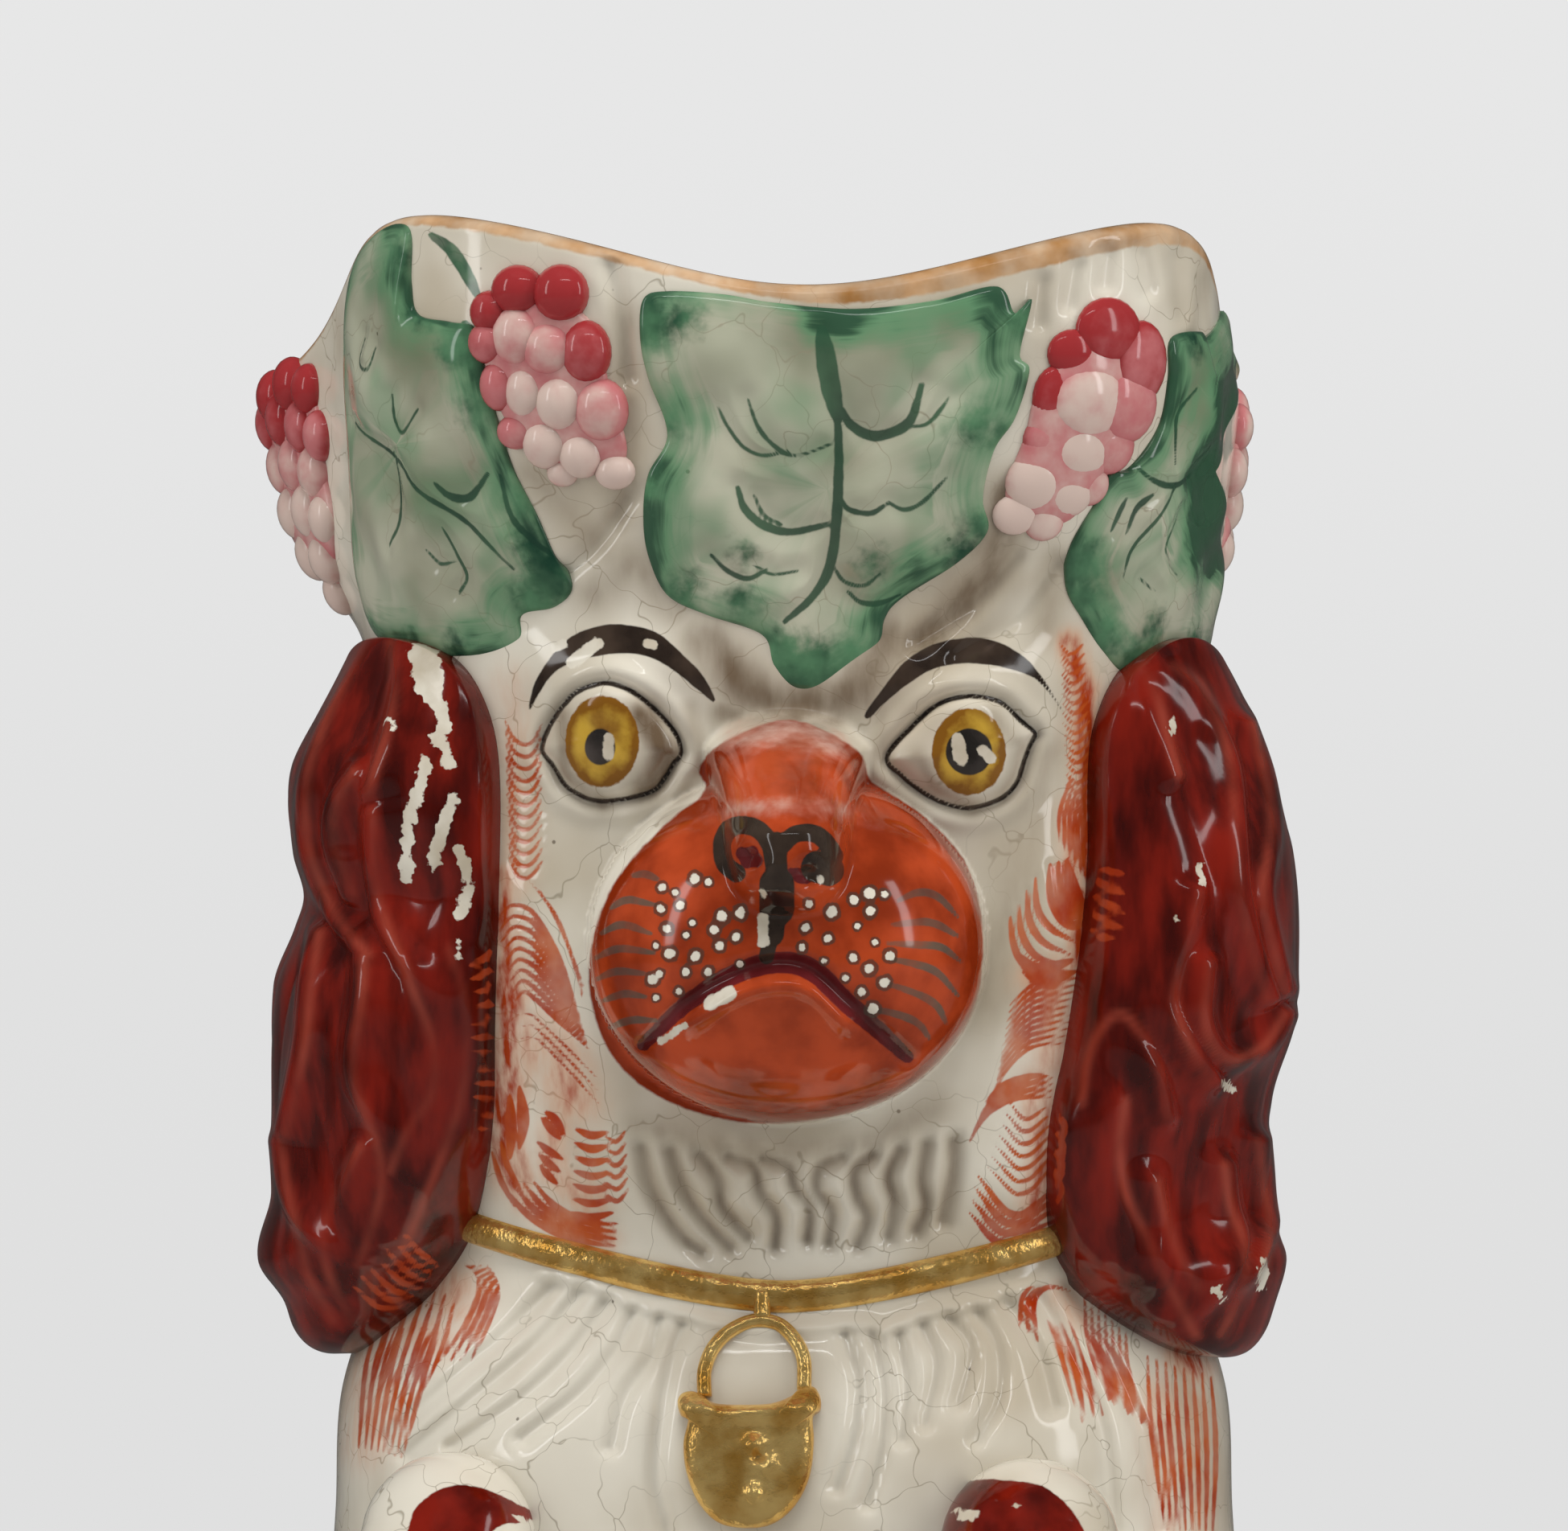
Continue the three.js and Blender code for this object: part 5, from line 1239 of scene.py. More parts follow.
def shell_rows(angles, low, high, outer_shares, to_rim):
    """Rows of points up the outside of the wall, over its top, and down the inside back to the first row."""
    radial = np.stack([np.sin(angles), -np.cos(angles), 0 * angles], axis=-1)
    outer = [on_wall(angles, low + (high - low) * share) for share in outer_shares]
    over = []
    if to_rim:
        for turn in np.linspace(0, math.pi, RIM_ROWS)[1:-1]:
            lifted = on_wall(angles, high) - radial * sized("wall") * (1 - math.cos(turn)) / 2
            lifted[:, 2] += RIM["round"] * math.sin(turn)
            over.append(lifted)
    shares = np.linspace(1, 0, INNER_ROWS)
    inner = [on_wall(angles, low + (high - low) * share) - radial * sized("wall") for share in shares]
    return np.stack([*outer, *over, *inner, outer[0]])


def shell_piece(name, angles, low, high, outer_shares, relief, paint, material, to_rim=False):
    rows = shell_rows(angles, low, high, outer_shares, to_rim)
    count = len(outer_shares)
    flat = rows[:count].reshape(-1, 3)
    moved = relief(flat, np.tile(angles, count))
    rows[:count] = moved.reshape(count, -1, 3)
    rows[-1] = rows[0]
    attributes = {}
    for key, values in paint(moved).items():
        whole = np.full(rows.shape[:2], UNPAINTED.get(key, -FAR))
        whole[:count] = values.reshape(count, -1)
        whole[-1] = whole[0]
        if key == "paint_lip":
            whole[count:-1] = rim_paint(rows[count:-1].reshape(-1, 3))["paint_lip"].reshape(-1, rows.shape[1])
        attributes[key] = whole
    return sheet(name, rows, attributes, material)


def loft_rows(rings):
    """Rings of points as rows of a grid, with each ring closed and both ends drawn to a point."""
    rings = np.asarray(rings)
    closed = np.concatenate([rings, rings[:, :1]], axis=1)
    ends = [np.broadcast_to(ring.mean(axis=0), closed[0].shape) for ring in (rings[0], rings[-1])]
    return np.concatenate([ends[0][None], closed, ends[1][None]])


def relief_rows(angle, z, outline, rings, rise, sink, level=False):
    """A piece laid over the wall: rings from its middle to its outline, then under it."""
    turn = math.radians(angle)
    around = float(wall_radius(np.array(turn), np.array(z)))
    made, spots = [], []
    for t in np.sin(np.linspace(0, math.pi / 2, rings + 1)):
        spots.append(outline * max(t, CENTRE))
        made.append(rise(spots[-1], t))
    for t in (1.0, CENTRE):
        spots.append(outline * t)
        made.append(np.full(len(outline), -sink))
    spots, lifts = np.asarray(spots), np.asarray(made)
    angles = turn + spots[..., 0] / around
    heights = np.minimum(z + spots[..., 1], rim_height(angles) - RIM["round"] / 2)
    rows = loft_rows(raised(angles, heights, lifts, level))
    spots = np.concatenate([spots, spots[:, :1]], axis=1)
    return rows, np.concatenate([spots[:1], spots, spots[-1:]])


def tube_rows(centres, outs, sizes, sides, rib=0.0):
    """A tube with oval sections: centres, outward directions and (half across, half out) at each."""
    tangents = np.gradient(centres, axis=0)
    tangents /= np.linalg.norm(tangents, axis=1, keepdims=True)
    outs = outs - np.sum(outs * tangents, axis=1, keepdims=True) * tangents
    outs /= np.linalg.norm(outs, axis=1, keepdims=True)
    across = np.cross(tangents, outs)
    turn = np.linspace(0, 2 * math.pi, sides, endpoint=False)
    ribbed = 1 - rib * np.cos(2 * turn) * (np.abs(np.sin(turn)) ** 3)
    rings = (
        centres[:, None]
        + across[:, None] * (sizes[:, :1] * np.cos(turn)[None])[..., None]
        + outs[:, None] * (sizes[:, 1:] * (np.sin(turn) * ribbed)[None])[..., None]
    )
    return loft_rows(rings)


def limb_rows(path, grid):
    """A limb along the wall with rounded ends."""
    steps, sides = grid
    path = np.array([[math.radians(angle), share * JUG_HEIGHT, *sizes] for angle, share, *sizes in path])
    line = curve_through(path, steps // (len(path) - 1))
    centres = raised(line[:, 0], line[:, 1], line[:, 2])
    start, end = centres[0] - centres[1], centres[-1] - centres[-2]
    start, end = start / np.linalg.norm(start), end / np.linalg.norm(end)
    turns = np.linspace(math.pi / 2, 0, CAP_ROWS, endpoint=False) * CAP_SHARE
    before = [centres[0] + start * line[0, 3] * math.sin(t) for t in turns]
    after = [centres[-1] + end * line[-1, 3] * math.sin(t) for t in turns[::-1]]
    radii = np.concatenate([line[0, 3] * np.cos(turns), line[:, 3], line[-1, 3] * np.cos(turns[::-1])])
    centres = np.vstack([before, centres, after])
    return tube_rows(centres, centres * np.array([1.0, 1.0, 0.0]), np.stack([radii, radii], axis=1), sides)


def add(tree, kind, inputs=(), out=0, **settings):
    """Adds a shader node with its settings, sets or links its inputs, and returns one of its outputs."""
    node = tree.nodes.new("ShaderNode" + kind)
    for key, value in settings.items():
        setattr(node, key, value)
    for key, value in dict(inputs).items():
        if isinstance(value, bpy.types.NodeSocket):
            tree.links.new(value, node.inputs[key])
        else:
            node.inputs[key].default_value = value
    return node.outputs[out] if node.outputs else None


def bare_material(name):
    material = bpy.data.materials.new(name)
    material.use_nodes = True
    material.node_tree.nodes.clear()
    return material, material.node_tree


def mottle(tree, size, detail=2.0, stretch=(1, 1, 1), shift=0.0):
    """Uneven patches of a size in millimetres, from 0 to 1 about a half."""
    scale = [share / (size * MM) for share in stretch]
    place = add(tree, "TexCoord", out="Object")
    place = add(tree, "Mapping", {"Vector": place, "Scale": scale, "Location": (shift, shift, shift)})
    return add(tree, "TexNoise", {"Vector": place, "Scale": 1.0, "Detail": detail})


def aged_glaze(tree, light="glaze_light", dark="glaze_dark"):
    """Off-white lead glaze, clouded where it pooled, with crazing and iron specks."""
    cloud = add(tree, "MapRange", {0: mottle(tree, 26, 3), 1: 0.38, 2: 0.72}, **SOFT)
    colour = add(tree, "Mix", {0: cloud, 6: glaze(light), 7: glaze(dark)}, **COLOUR)
    # Crazing in cells of 6 to 15 mm: real cracks are finer than a pixel, so they are drawn 0.1 mm wide
    place = add(tree, "TexCoord", out="Object")
    scaled = add(tree, "VectorMath", {0: place, 1: (1 / (CRAZE_CELL * MM),) * 3}, operation="MULTIPLY")
    bent = add(tree, "TexNoise", {"Vector": scaled, "Scale": 1.3, "Detail": 2.0}, out=1)
    moved = add(tree, "VectorMath", {0: scaled, 1: bent}, operation="ADD")
    cells = add(tree, "TexVoronoi", {"Vector": moved, "Scale": 1.0}, feature="DISTANCE_TO_EDGE")
    crack = add(tree, "MapRange", {0: cells, 1: 0.013, 2: 0.0}, **SOFT)
    seen = add(tree, "MapRange", {0: mottle(tree, 30, 1, shift=3.0), 1: 0.3, 2: 0.52, 3: 0.0, 4: 0.7}, **SOFT)
    crack = add(tree, "Math", {0: crack, 1: seen}, **TIMES)
    colour = add(tree, "Mix", {0: crack, 6: colour, 7: glaze("craze")}, **COLOUR)
    spots = add(tree, "TexVoronoi", {"Vector": place, "Scale": 1 / (SPECK_CELL * MM)}, out="Distance")
    spots = add(tree, "MapRange", {0: spots, 1: 0.035, 2: 0.02, 3: 0.0, 4: 0.7}, **SOFT)
    return add(tree, "Mix", {0: spots, 6: colour, 7: glaze("speck")}, **COLOUR)


def painted(
    tree, under, mark, light, dark, soft=0.12, wobble=0.3, grain=1.6, opacity=1.0, thin=0.0, edge=0.0
):
    """Brushed paint where a mark's distance is positive: ragged, uneven and, with edge, fuller there."""
    rough = add(tree, "Math", {0: mottle(tree, grain, 3), 1: 0.5}, operation="SUBTRACT")
    rough = add(tree, "Math", {0: rough, 1: wobble}, **TIMES)
    inside = add(tree, "Attribute", out="Fac", attribute_name=mark)
    inside = add(tree, "Math", {0: inside, 1: rough}, operation="ADD")
    mask = add(tree, "MapRange", {0: inside, 1: -soft, 2: soft, 3: 0.0, 4: opacity}, **SOFT)
    coat = mottle(tree, grain * 3, 3, shift=7.0)
    coat = add(tree, "MapRange", {0: coat, 1: 0.3, 2: 0.7, 3: 1.0 - thin, 4: 1.0}, **SOFT)
    mask = add(tree, "Math", {0: mask, 1: coat}, **TIMES)
    tone = add(tree, "MapRange", {0: mottle(tree, grain * 5, 4, shift=1.0), 1: 0.3, 2: 0.7}, **SOFT)
    if edge:
        rim = add(tree, "MapRange", {0: inside, 1: edge, 2: 0.0, 3: 0.0, 4: 0.8}, **SOFT)
        tone = add(tree, "Math", {0: tone, 1: rim}, operation="ADD", use_clamp=True)
    paint = add(tree, "Mix", {0: tone, 6: glaze(light), 7: glaze(dark)}, **COLOUR)
    return add(tree, "Mix", {0: mask, 6: under, 7: paint}, **COLOUR)


def washed(tree, under, mark, light, dark, grain=1.4, least=0.45, most=1.3):
    """A streaky wash where a weight is above 0."""
    streak = mottle(tree, grain, 4, stretch=(1, 1, 0.35))
    streak = add(tree, "MapRange", {0: streak, 1: 0.2, 2: 0.8, 3: least, 4: most}, **SOFT)
    weight = add(tree, "Attribute", out="Fac", attribute_name=mark)
    mask = add(tree, "Math", {0: weight, 1: streak}, use_clamp=True, **TIMES)
    strong = add(tree, "MapRange", {0: mask, 1: 0.35, 2: 0.95}, **SOFT)
    paint = add(tree, "Mix", {0: strong, 6: glaze(light), 7: glaze(dark)}, **COLOUR)
    return add(tree, "Mix", {0: mask, 6: under, 7: paint}, **COLOUR)


def fired(tree, colour, roughness=0.1, metallic=0.0, bump=0.22, bump_size=8.0, coat=0.2, ior=1.5):
    """Closes a material with its gloss and a slightly uneven surface."""
    normal = {"Strength": bump, "Distance": 0.6 * MM, "Height": mottle(tree, bump_size, 2, shift=5.0)}
    inputs = {
        "Base Color": colour,
        "Roughness": roughness,
        "Metallic": metallic,
        "Coat Weight": coat,
        "Coat Roughness": 0.04,
        "Normal": add(tree, "Bump", normal),
    }
    if not metallic:
        inputs["IOR"] = ior
    surface = add(tree, "BsdfPrincipled", inputs)
    add(tree, "OutputMaterial", {"Surface": surface})


# Lead-glazed earthenware with overglaze enamels: a wet gloss, with matter and ragged strokes of colour in it
def head_material():
    material, tree = bare_material("enamelled_lead_glaze")
    colour = aged_glaze(tree)
    # Painted shade under the leaf, between the brows, about the eyes and below the muzzle, with glaze pooled
    # in the hollows
    colour = washed(tree, colour, "paint_pool", "pool_light", "pool", grain=3.0, least=0.8, most=1.15)
    colour = washed(tree, colour, "paint_haze", "haze_light", "haze_dark")
    colour = painted(tree, colour, "paint_fur", "fur_light", "fur_dark", **FUR_COAT)
    colour = painted(tree, colour, "paint_orange", "orange_light", "orange_dark", **MUZZLE_COAT)
    # Pale glaze over the orange: worn on the snout's bridge, and a painted highlight along the nose's top
    colour = painted(tree, colour, "paint_worn", "glaze_light", "orange_light", **WORN_AND_HIGHLIGHT_COAT)
    # Red of the mouth, and painted shade of the same red in the nostrils
    colour = painted(tree, colour, "paint_mouth", "mouth_light", "mouth_dark", wobble=0.4)
    colour = painted(tree, colour, "paint_whisker", "whisker_light", "whisker_dark", wobble=0.2, thin=0.4)
    # Dots of bare glaze left in the orange, each with a thin brown ring
    ragged = add(tree, "Math", {0: mottle(tree, 1.1), 1: DOT["rough"]}, **TIMES)
    dots = add(tree, "Attribute", out="Fac", attribute_name="paint_dot")
    dots = add(tree, "Math", {0: dots, 1: ragged}, operation="ADD")
    for reach, soft, weight, coat in (
        (DOT["ring"], DOT["ring_soft"], 0.75, "brown_light"),
        (DOT["white"], DOT["soft"], 1.0, "glaze_light"),
    ):
        edge = {1: reach + DOT["shift"] + soft, 2: reach + DOT["shift"] - soft, 3: 0.0, 4: weight}
        mask = add(tree, "MapRange", {0: dots, **edge}, **SOFT)
        colour = add(tree, "Mix", {0: mask, 6: colour, 7: glaze(coat)}, **COLOUR)
    colour = painted(tree, colour, "paint_iris", "iris_light", "iris_dark", wobble=0.4, grain=0.8, edge=1.6)
    colour = painted(tree, colour, "paint_pupil", "pupil_light", "pupil_dark", wobble=0.2)
    colour = painted(tree, colour, "paint_brown", "brown_light", "brown_dark", wobble=0.22)
    colour = painted(tree, colour, "paint_lip", "lip_light", "lip_dark", **LIP_COAT)
    colour = painted(tree, colour, "paint_green", "leaf_green", "leaf_dark", wobble=0.3, thin=0.2)
    colour = painted(tree, colour, "paint_chip", "glaze_dark", "glaze_light", **CHIP_COAT)
    fired(tree, colour)
    return material


# The same lead glaze with fur strokes only
def body_material():
    material, tree = bare_material("brushed_lead_glaze")
    colour = washed(tree, aged_glaze(tree), "paint_haze", "haze_light", "haze_dark")
    colour = painted(tree, colour, "paint_fur", "fur_light", "fur_dark", **FUR_COAT)
    fired(tree, colour)
    return material


# Plain lead glaze: off-white, wet and crazed
def plain_material():
    material, tree = bare_material("plain_lead_glaze")
    fired(tree, aged_glaze(tree))
    return material


# Lead glaze under a worn ochre band along the rim
def back_material():
    material, tree = bare_material("banded_lead_glaze")
    colour = painted(tree, aged_glaze(tree), "paint_lip", "lip_light", "lip_dark", **LIP_COAT)
    fired(tree, colour)
    return material


# Iron-red enamel: deep and streaky, worn thin on the crests with a painted highlight there, and chipped to
# the white glaze
def red_material():
    material, tree = bare_material("iron_red_enamel")
    tone = add(tree, "MapRange", {0: mottle(tree, 5, 4, stretch=(1, 1, 0.3)), 1: 0.3, 2: 0.7}, **SOFT)
    colour = add(tree, "Mix", {0: tone, 6: glaze("red_dark"), 7: glaze("red_light")}, **COLOUR)
    # Lighter red along the crests, unevenly: worn enamel and painted highlight
    worn = add(tree, "MapRange", {0: mottle(tree, 12), 1: 0.35, 2: 0.65, 3: 0.2, 4: 0.8}, **SOFT)
    crest = add(tree, "Attribute", out="Fac", attribute_name="paint_crest")
    crest = add(tree, "Math", {0: crest, 1: worn}, **TIMES)
    colour = add(tree, "Mix", {0: crest, 6: colour, 7: glaze("crest")}, **COLOUR)
    colour = painted(tree, colour, "paint_fur", "orange_light", "fur_dark", **EAR_FUR_COAT)
    colour = painted(tree, colour, "paint_chip", "glaze_dark", "glaze_light", wobble=2.6, grain=1.3)
    fired(tree, colour, roughness=0.13)
    return material


# Lead glaze with iron-red patches on the knees
def leg_material():
    material, tree = bare_material("patched_lead_glaze")
    colour = painted(tree, aged_glaze(tree), "paint_red", "red_light", "red_dark", wobble=0.5)
    colour = painted(tree, colour, "paint_chip", "glaze_dark", "glaze_light", **CHIP_COAT)
    fired(tree, colour)
    return material


# Copper-green glaze: brushed in from the edge of a leaf in strokes, dark where the brush was set down
def leaf_material():
    material, tree = bare_material("copper_green_glaze")
    colour = aged_glaze(tree, "leaf_pale", "leaf_dull")
    inset = add(tree, "Attribute", out="Fac", attribute_name="paint_edge")
    ray = {axis: add(tree, "Attribute", out="Fac", attribute_name=f"brush_{axis.lower()}") for axis in "XY"}
    ray["Z"] = add(tree, "Math", {0: inset, 1: LEAF_EDGE["hairs"]}, **TIMES)
    hairs = {"Vector": add(tree, "CombineXYZ", ray), "Scale": BRUSH_HAIRS, "Detail": 3.0, "Distortion": 0.6}
    strokes = add(tree, "TexNoise", hairs)
    patchy = {0: mottle(tree, 10, 2), 1: LEAF_EDGE["patch"], 2: strokes}
    patchy = add(tree, "Math", patchy, operation="MULTIPLY_ADD")
    shift = -LEAF_EDGE["streak"] * (1 + LEAF_EDGE["patch"]) / 2
    ragged = add(tree, "Math", {0: patchy, 1: LEAF_EDGE["streak"], 2: shift}, operation="MULTIPLY_ADD")
    reach = add(tree, "Math", {0: inset, 1: ragged}, operation="ADD")
    streaks = add(tree, "MapRange", {0: strokes, 1: 0.4, 2: 0.62, 3: 0.15, 4: 1.0}, **SOFT)
    broad = {0: mottle(tree, LEAF_EDGE["wash_size"], 2), 1: 0.38, 2: 0.64, 3: 0.1, 4: 0.62}
    broad = add(tree, "MapRange", broad, **SOFT)
    wash = add(tree, "Math", {0: streaks, 1: broad}, **TIMES)
    colour = add(tree, "Mix", {0: wash, 6: colour, 7: glaze("leaf_green")}, **COLOUR)
    rim = {0: reach, 1: LEAF_EDGE["bare"], 2: LEAF_EDGE["full"], 3: 0.0, 4: 0.88}
    rim = add(tree, "MapRange", rim, **SOFT)
    colour = add(tree, "Mix", {0: rim, 6: colour, 7: glaze("leaf_green")}, **COLOUR)
    loaded = add(tree, "MapRange", {0: reach, 1: LEAF_EDGE["dark"], 2: -1.0, 3: 0.0, 4: 0.8}, **SOFT)
    colour = add(tree, "Mix", {0: loaded, 6: colour, 7: glaze("leaf_dark")}, **COLOUR)
    colour = painted(tree, colour, "paint_dark", "leaf_green", "leaf_dark", soft=2.0, wobble=5.0, grain=1.6)
    colour = painted(tree, colour, "paint_vein", "vein", "leaf_dark", wobble=0.3, opacity=0.9)
    fired(tree, colour)
    return material


# Pink glaze: crimson on the ripe grapes, crimson as painted shade in the hollows between them, nearly bare on
# the others
def berry_material():
    material, tree = bare_material("crimson_glaze")
    uneven = add(tree, "Math", {0: mottle(tree, 3, 3), 1: 0.5}, **TIMES)
    ripe = add(tree, "Attribute", out="Fac", attribute_name="paint_ripe")
    ripe = add(tree, "Math", {0: ripe, 1: uneven}, operation="ADD")
    pink = add(tree, "MapRange", {0: ripe, 1: 0.35, 2: 0.8}, **SOFT)
    colour = add(tree, "Mix", {0: pink, 6: glaze("berry_pale"), 7: glaze("berry_pink")}, **COLOUR)
    full = add(tree, "MapRange", {0: ripe, 1: 0.75, 2: 1.2}, **SOFT)
    colour = add(tree, "Mix", {0: full, 6: colour, 7: glaze("berry_crimson")}, **COLOUR)
    fired(tree, colour)
    return material


# Burnished gilding over glaze: soft metal, speckled where the gold is thin
def gold_material():
    material, tree = bare_material("worn_gilding")
    tone = add(tree, "MapRange", {0: mottle(tree, 4, 3), 1: 0.3, 2: 0.7}, **SOFT)
    colour = add(tree, "Mix", {0: tone, 6: glaze("gold_light"), 7: glaze("gold_dark")}, **COLOUR)
    fired(tree, colour, roughness=0.25, metallic=0.8, bump=0.3, bump_size=0.9, coat=0.0)
    return material


def back_angles():
    return np.radians(np.linspace(90, 270, BACK_GRID["columns"]))


def build_head():
    front = (np.radians(spaced(HEAD_GRID["columns"])), spaced(HEAD_GRID["rows"]), head_relief, head_paint)
    back = (back_angles(), np.linspace(0, 1, BACK_GRID["rows"]), back_relief, rim_paint)
    for word, half, material in (("front", front, head_material()), ("back", back, back_material())):
        angles, shares, relief, paint = half
        low, high = collar_height(angles), rim_height(angles) - RIM["round"]
        head = shell_piece(f"head_{word}", angles, low, high, shares, relief, paint, material, True)
        finish_piece(head, "glaze", f"{word}_shell")


def build_body():
    plain = plain_material()
    front = (np.radians(spaced(BODY_GRID["columns"])), spaced(BODY_GRID["rows"]), body_relief, body_paint)
    back = (back_angles(), np.linspace(0, 1, BACK_GRID["rows"]), back_relief, lambda _: {})
    for word, half, material in (("front", front, body_material()), ("back", back, plain)):
        angles, shares, relief, paint = half
        neck = collar_height(angles)
        body = shell_piece(f"body_{word}", angles, 0 * angles, neck, shares, relief, paint, material)
        finish_piece(body, "glaze", f"{word}_shell")
    turns = np.radians(np.arange(0, 360, SLAB_STEP))
    rings = [on_wall(turns, z) * np.array([share, share, 1.0]) for share, z in SLAB_SECTION]
    finish_piece(sheet("foot_slab", loft_rows(rings), {}, plain), "glaze", "base_slab")


def lock_crests(places, side):
    """Height of the wavy locks of an ear, from 0 in the valleys to 1 on the crests."""
    x, y = side * places[:, 0], places[:, 1]
    drift = LOCKS["meander"] * np.sin(2 * np.pi * y / LOCKS["pitch"] + LOCKS["lean"] * x)
    drift += LOCKS["second"] * np.sin(2 * np.pi * y / LOCKS["second_pitch"] + LOCKS["second_lean"] * x)
    phase = np.pi * LOCKS["count"] * (x + drift) / (2 * EAR["half_width"])
    return np.abs(np.sin(phase)) ** LOCKS["power"]


def ear_piece(word, side, material):
    half_sizes = (EAR["half_width"], EAR["half_height"])
    outline = closed_outline(np.array(EAR_OUTLINE_SHARES[word]) * np.array([side, 1.0]), EAR_GRID, half_sizes)
    middle = EAR["z_share"] * JUG_HEIGHT
    turn = math.radians(EAR["angle"])
    around = float(wall_radius(np.array(turn), np.array(middle)))

    def rise(places, t):
        down = places[:, 1] / EAR["half_height"]
        angles = side * turn + places[:, 0] / around
        # The ear hangs straight where the neck draws in behind it
        waist = wall_radius(angles, np.full(len(places), middle)) - wall_radius(angles, middle + places[:, 1])
        waist = (waist + np.hypot(waist, NECK_BLEND)) / 2
        swell = EAR["rise"] * smooth_column(EAR_SWELL_SHARES[word], down, 1)
        hang = waist + swell - EAR_FLARES[word] * down
        seen = to_pixels(raised(angles, middle + places[:, 1], EAR["rise"] + hang, True))
        crests = -groove(seen, EAR_LOCKS[word], 1.0, LOCK_CREST["width"]) * (np.cos(angles) > 0)
        locks = sized("locks") * (crests + LOCKS["even"] * lock_crests(places, side) - 0.5)
        return EAR["edge"] + (EAR["rise"] - EAR["edge"] + hang + locks) * rounded(t, EAR_ROUNDNESS)

    rows, _ = relief_rows(side * EAR["angle"], middle, outline, EAR_GRID["rings"], rise, SEATED, True)
    seen = to_pixels(rows.reshape(-1, 3))
    forward = rows[..., 1].ravel() < EAR_BACK_Y
    attributes = {
        # Lighter red along the traced crests: worn enamel and painted highlight
        "paint_crest": np.maximum(-groove(seen, EAR_LOCKS[word], 1.0, LOCK_CREST["line"]), 0),
        "paint_fur": np.where(forward, stroke_field(seen, fan_lines(EAR_FANS[word]), taper=0.6), -FAR),
        "paint_chip": np.where(forward, stroke_field(seen, EAR_CHIPS[word]), -FAR),
    }
    finish_piece(sheet(f"{word}_ear_hair", rows, attributes, material), "red_glaze", f"{word}_ear")


def build_ears():
    material = red_material()
    ear_piece("left", -1, material)
    ear_piece("right", 1, material)


def local_places(pixels, angle, z):
    """Millimetres along the wall from a place on it, for places given in pixels."""
    angles, heights = from_pixels(pixels)
    around = float(wall_radius(np.array(angle), np.array(z)))
    return np.stack([(angles - angle) * around, heights - z], axis=-1)


def middle_of(pixels):
    """Angle and height of the middle of an outline given in pixels."""
    angles, heights = from_pixels(pixels)
    return float((angles.min() + angles.max()) / 2), float((heights.min() + heights.max()) / 2)


def leaf_piece(name, leaf, node, material, place=None, mirror=1):
    """A leaf at its own place in the photograph, or at another angle and height."""
    angle, z = middle_of(leaf["outline"])
    flip = np.array([mirror, 1.0])
    outline = closed_outline(local_places(leaf["outline"], angle, z), LEAF_GRID) * flip
    veins = [(local_places(line, angle, z) * flip, width) for line, width in leaf["veins"]]
    dark = [(local_places([spot], angle, z)[0] * flip, radius) for spot, radius in leaf["dark"]]
    rims = LEAF_RELIEF["edge"]

    def rise(places, t):
        across = np.sin(places[:, 0] * LEAF_RELIEF["swell_x"])
        down = np.cos(places[:, 1] * LEAF_RELIEF["swell_y"] + LEAF_RELIEF["swell_start"])
        swell = LEAF_RELIEF["swell"] * across * down * (1 - t * t)
        vein = stroke_field(places, [(line, 0.0) for line, _ in veins], unit=1.0)
        sunk = LEAF_RELIEF["vein"] * falloff(vein, LEAF_RELIEF["vein_width"])
        return rims + (sized("leaf") - rims + swell - sunk) * rounded(t, LEAF_RELIEF["round"])

    turn, height = (math.degrees(angle), z) if place is None else place
    rows, spots = relief_rows(turn, height, outline, LEAF_GRID["rings"], rise, SEATED)
    flat = spots.reshape(-1, 2)
    ray = flat / np.maximum(np.linalg.norm(flat, axis=1, keepdims=True), WELD)
    attributes = {
        "brush_x": ray[:, 0] * LEAF_EDGE["brush_share"],
        "brush_y": ray[:, 1] * LEAF_EDGE["brush_share"],
        "paint_edge": patch_field(flat, outline[::4], unit=1.0, steps=1),
        "paint_vein": stroke_field(flat, veins, unit=1.0, taper=0.5),
        "paint_dark": np.max([radius - np.hypot(*(flat - spot).T) for spot, radius in dark], axis=0),
    }
    finish_piece(sheet(name, rows, attributes, material), "green_glaze", node)


def build_leaves():
    material = leaf_material()
    leaf_piece("front_vine_leaf", FRONT_LEAF, "front_leaf", material)
    leaf_piece("left_front_vine_leaf", LEFT_LEAF, "left_front_leaf", material)
    leaf_piece("right_front_vine_leaf", RIGHT_LEAF, "right_front_leaf", material)
    for node, (turn, drop, mirror) in REAR_LEAVES.items():
        place = (turn, float(rim_height(np.radians(turn))) - drop)
        leaf_piece(node.replace("leaf", "vine_leaf"), FRONT_LEAF, node, material, place, mirror)


def bunch_outline(berries):
    """Smooth outline round a bunch, from its farthest berries in eight directions."""
    places = np.array([[x, y] for x, y, *_ in berries])
    middle = places.mean(axis=0)
    turns = np.radians(np.arange(0, 360, BACKING["turn"]))
    reach = [max(((places - middle) @ [math.cos(t), math.sin(t)]).max(), BACKING["least"]) for t in turns]
    return middle + np.stack([np.cos(turns) * reach, np.sin(turns) * reach], axis=1)


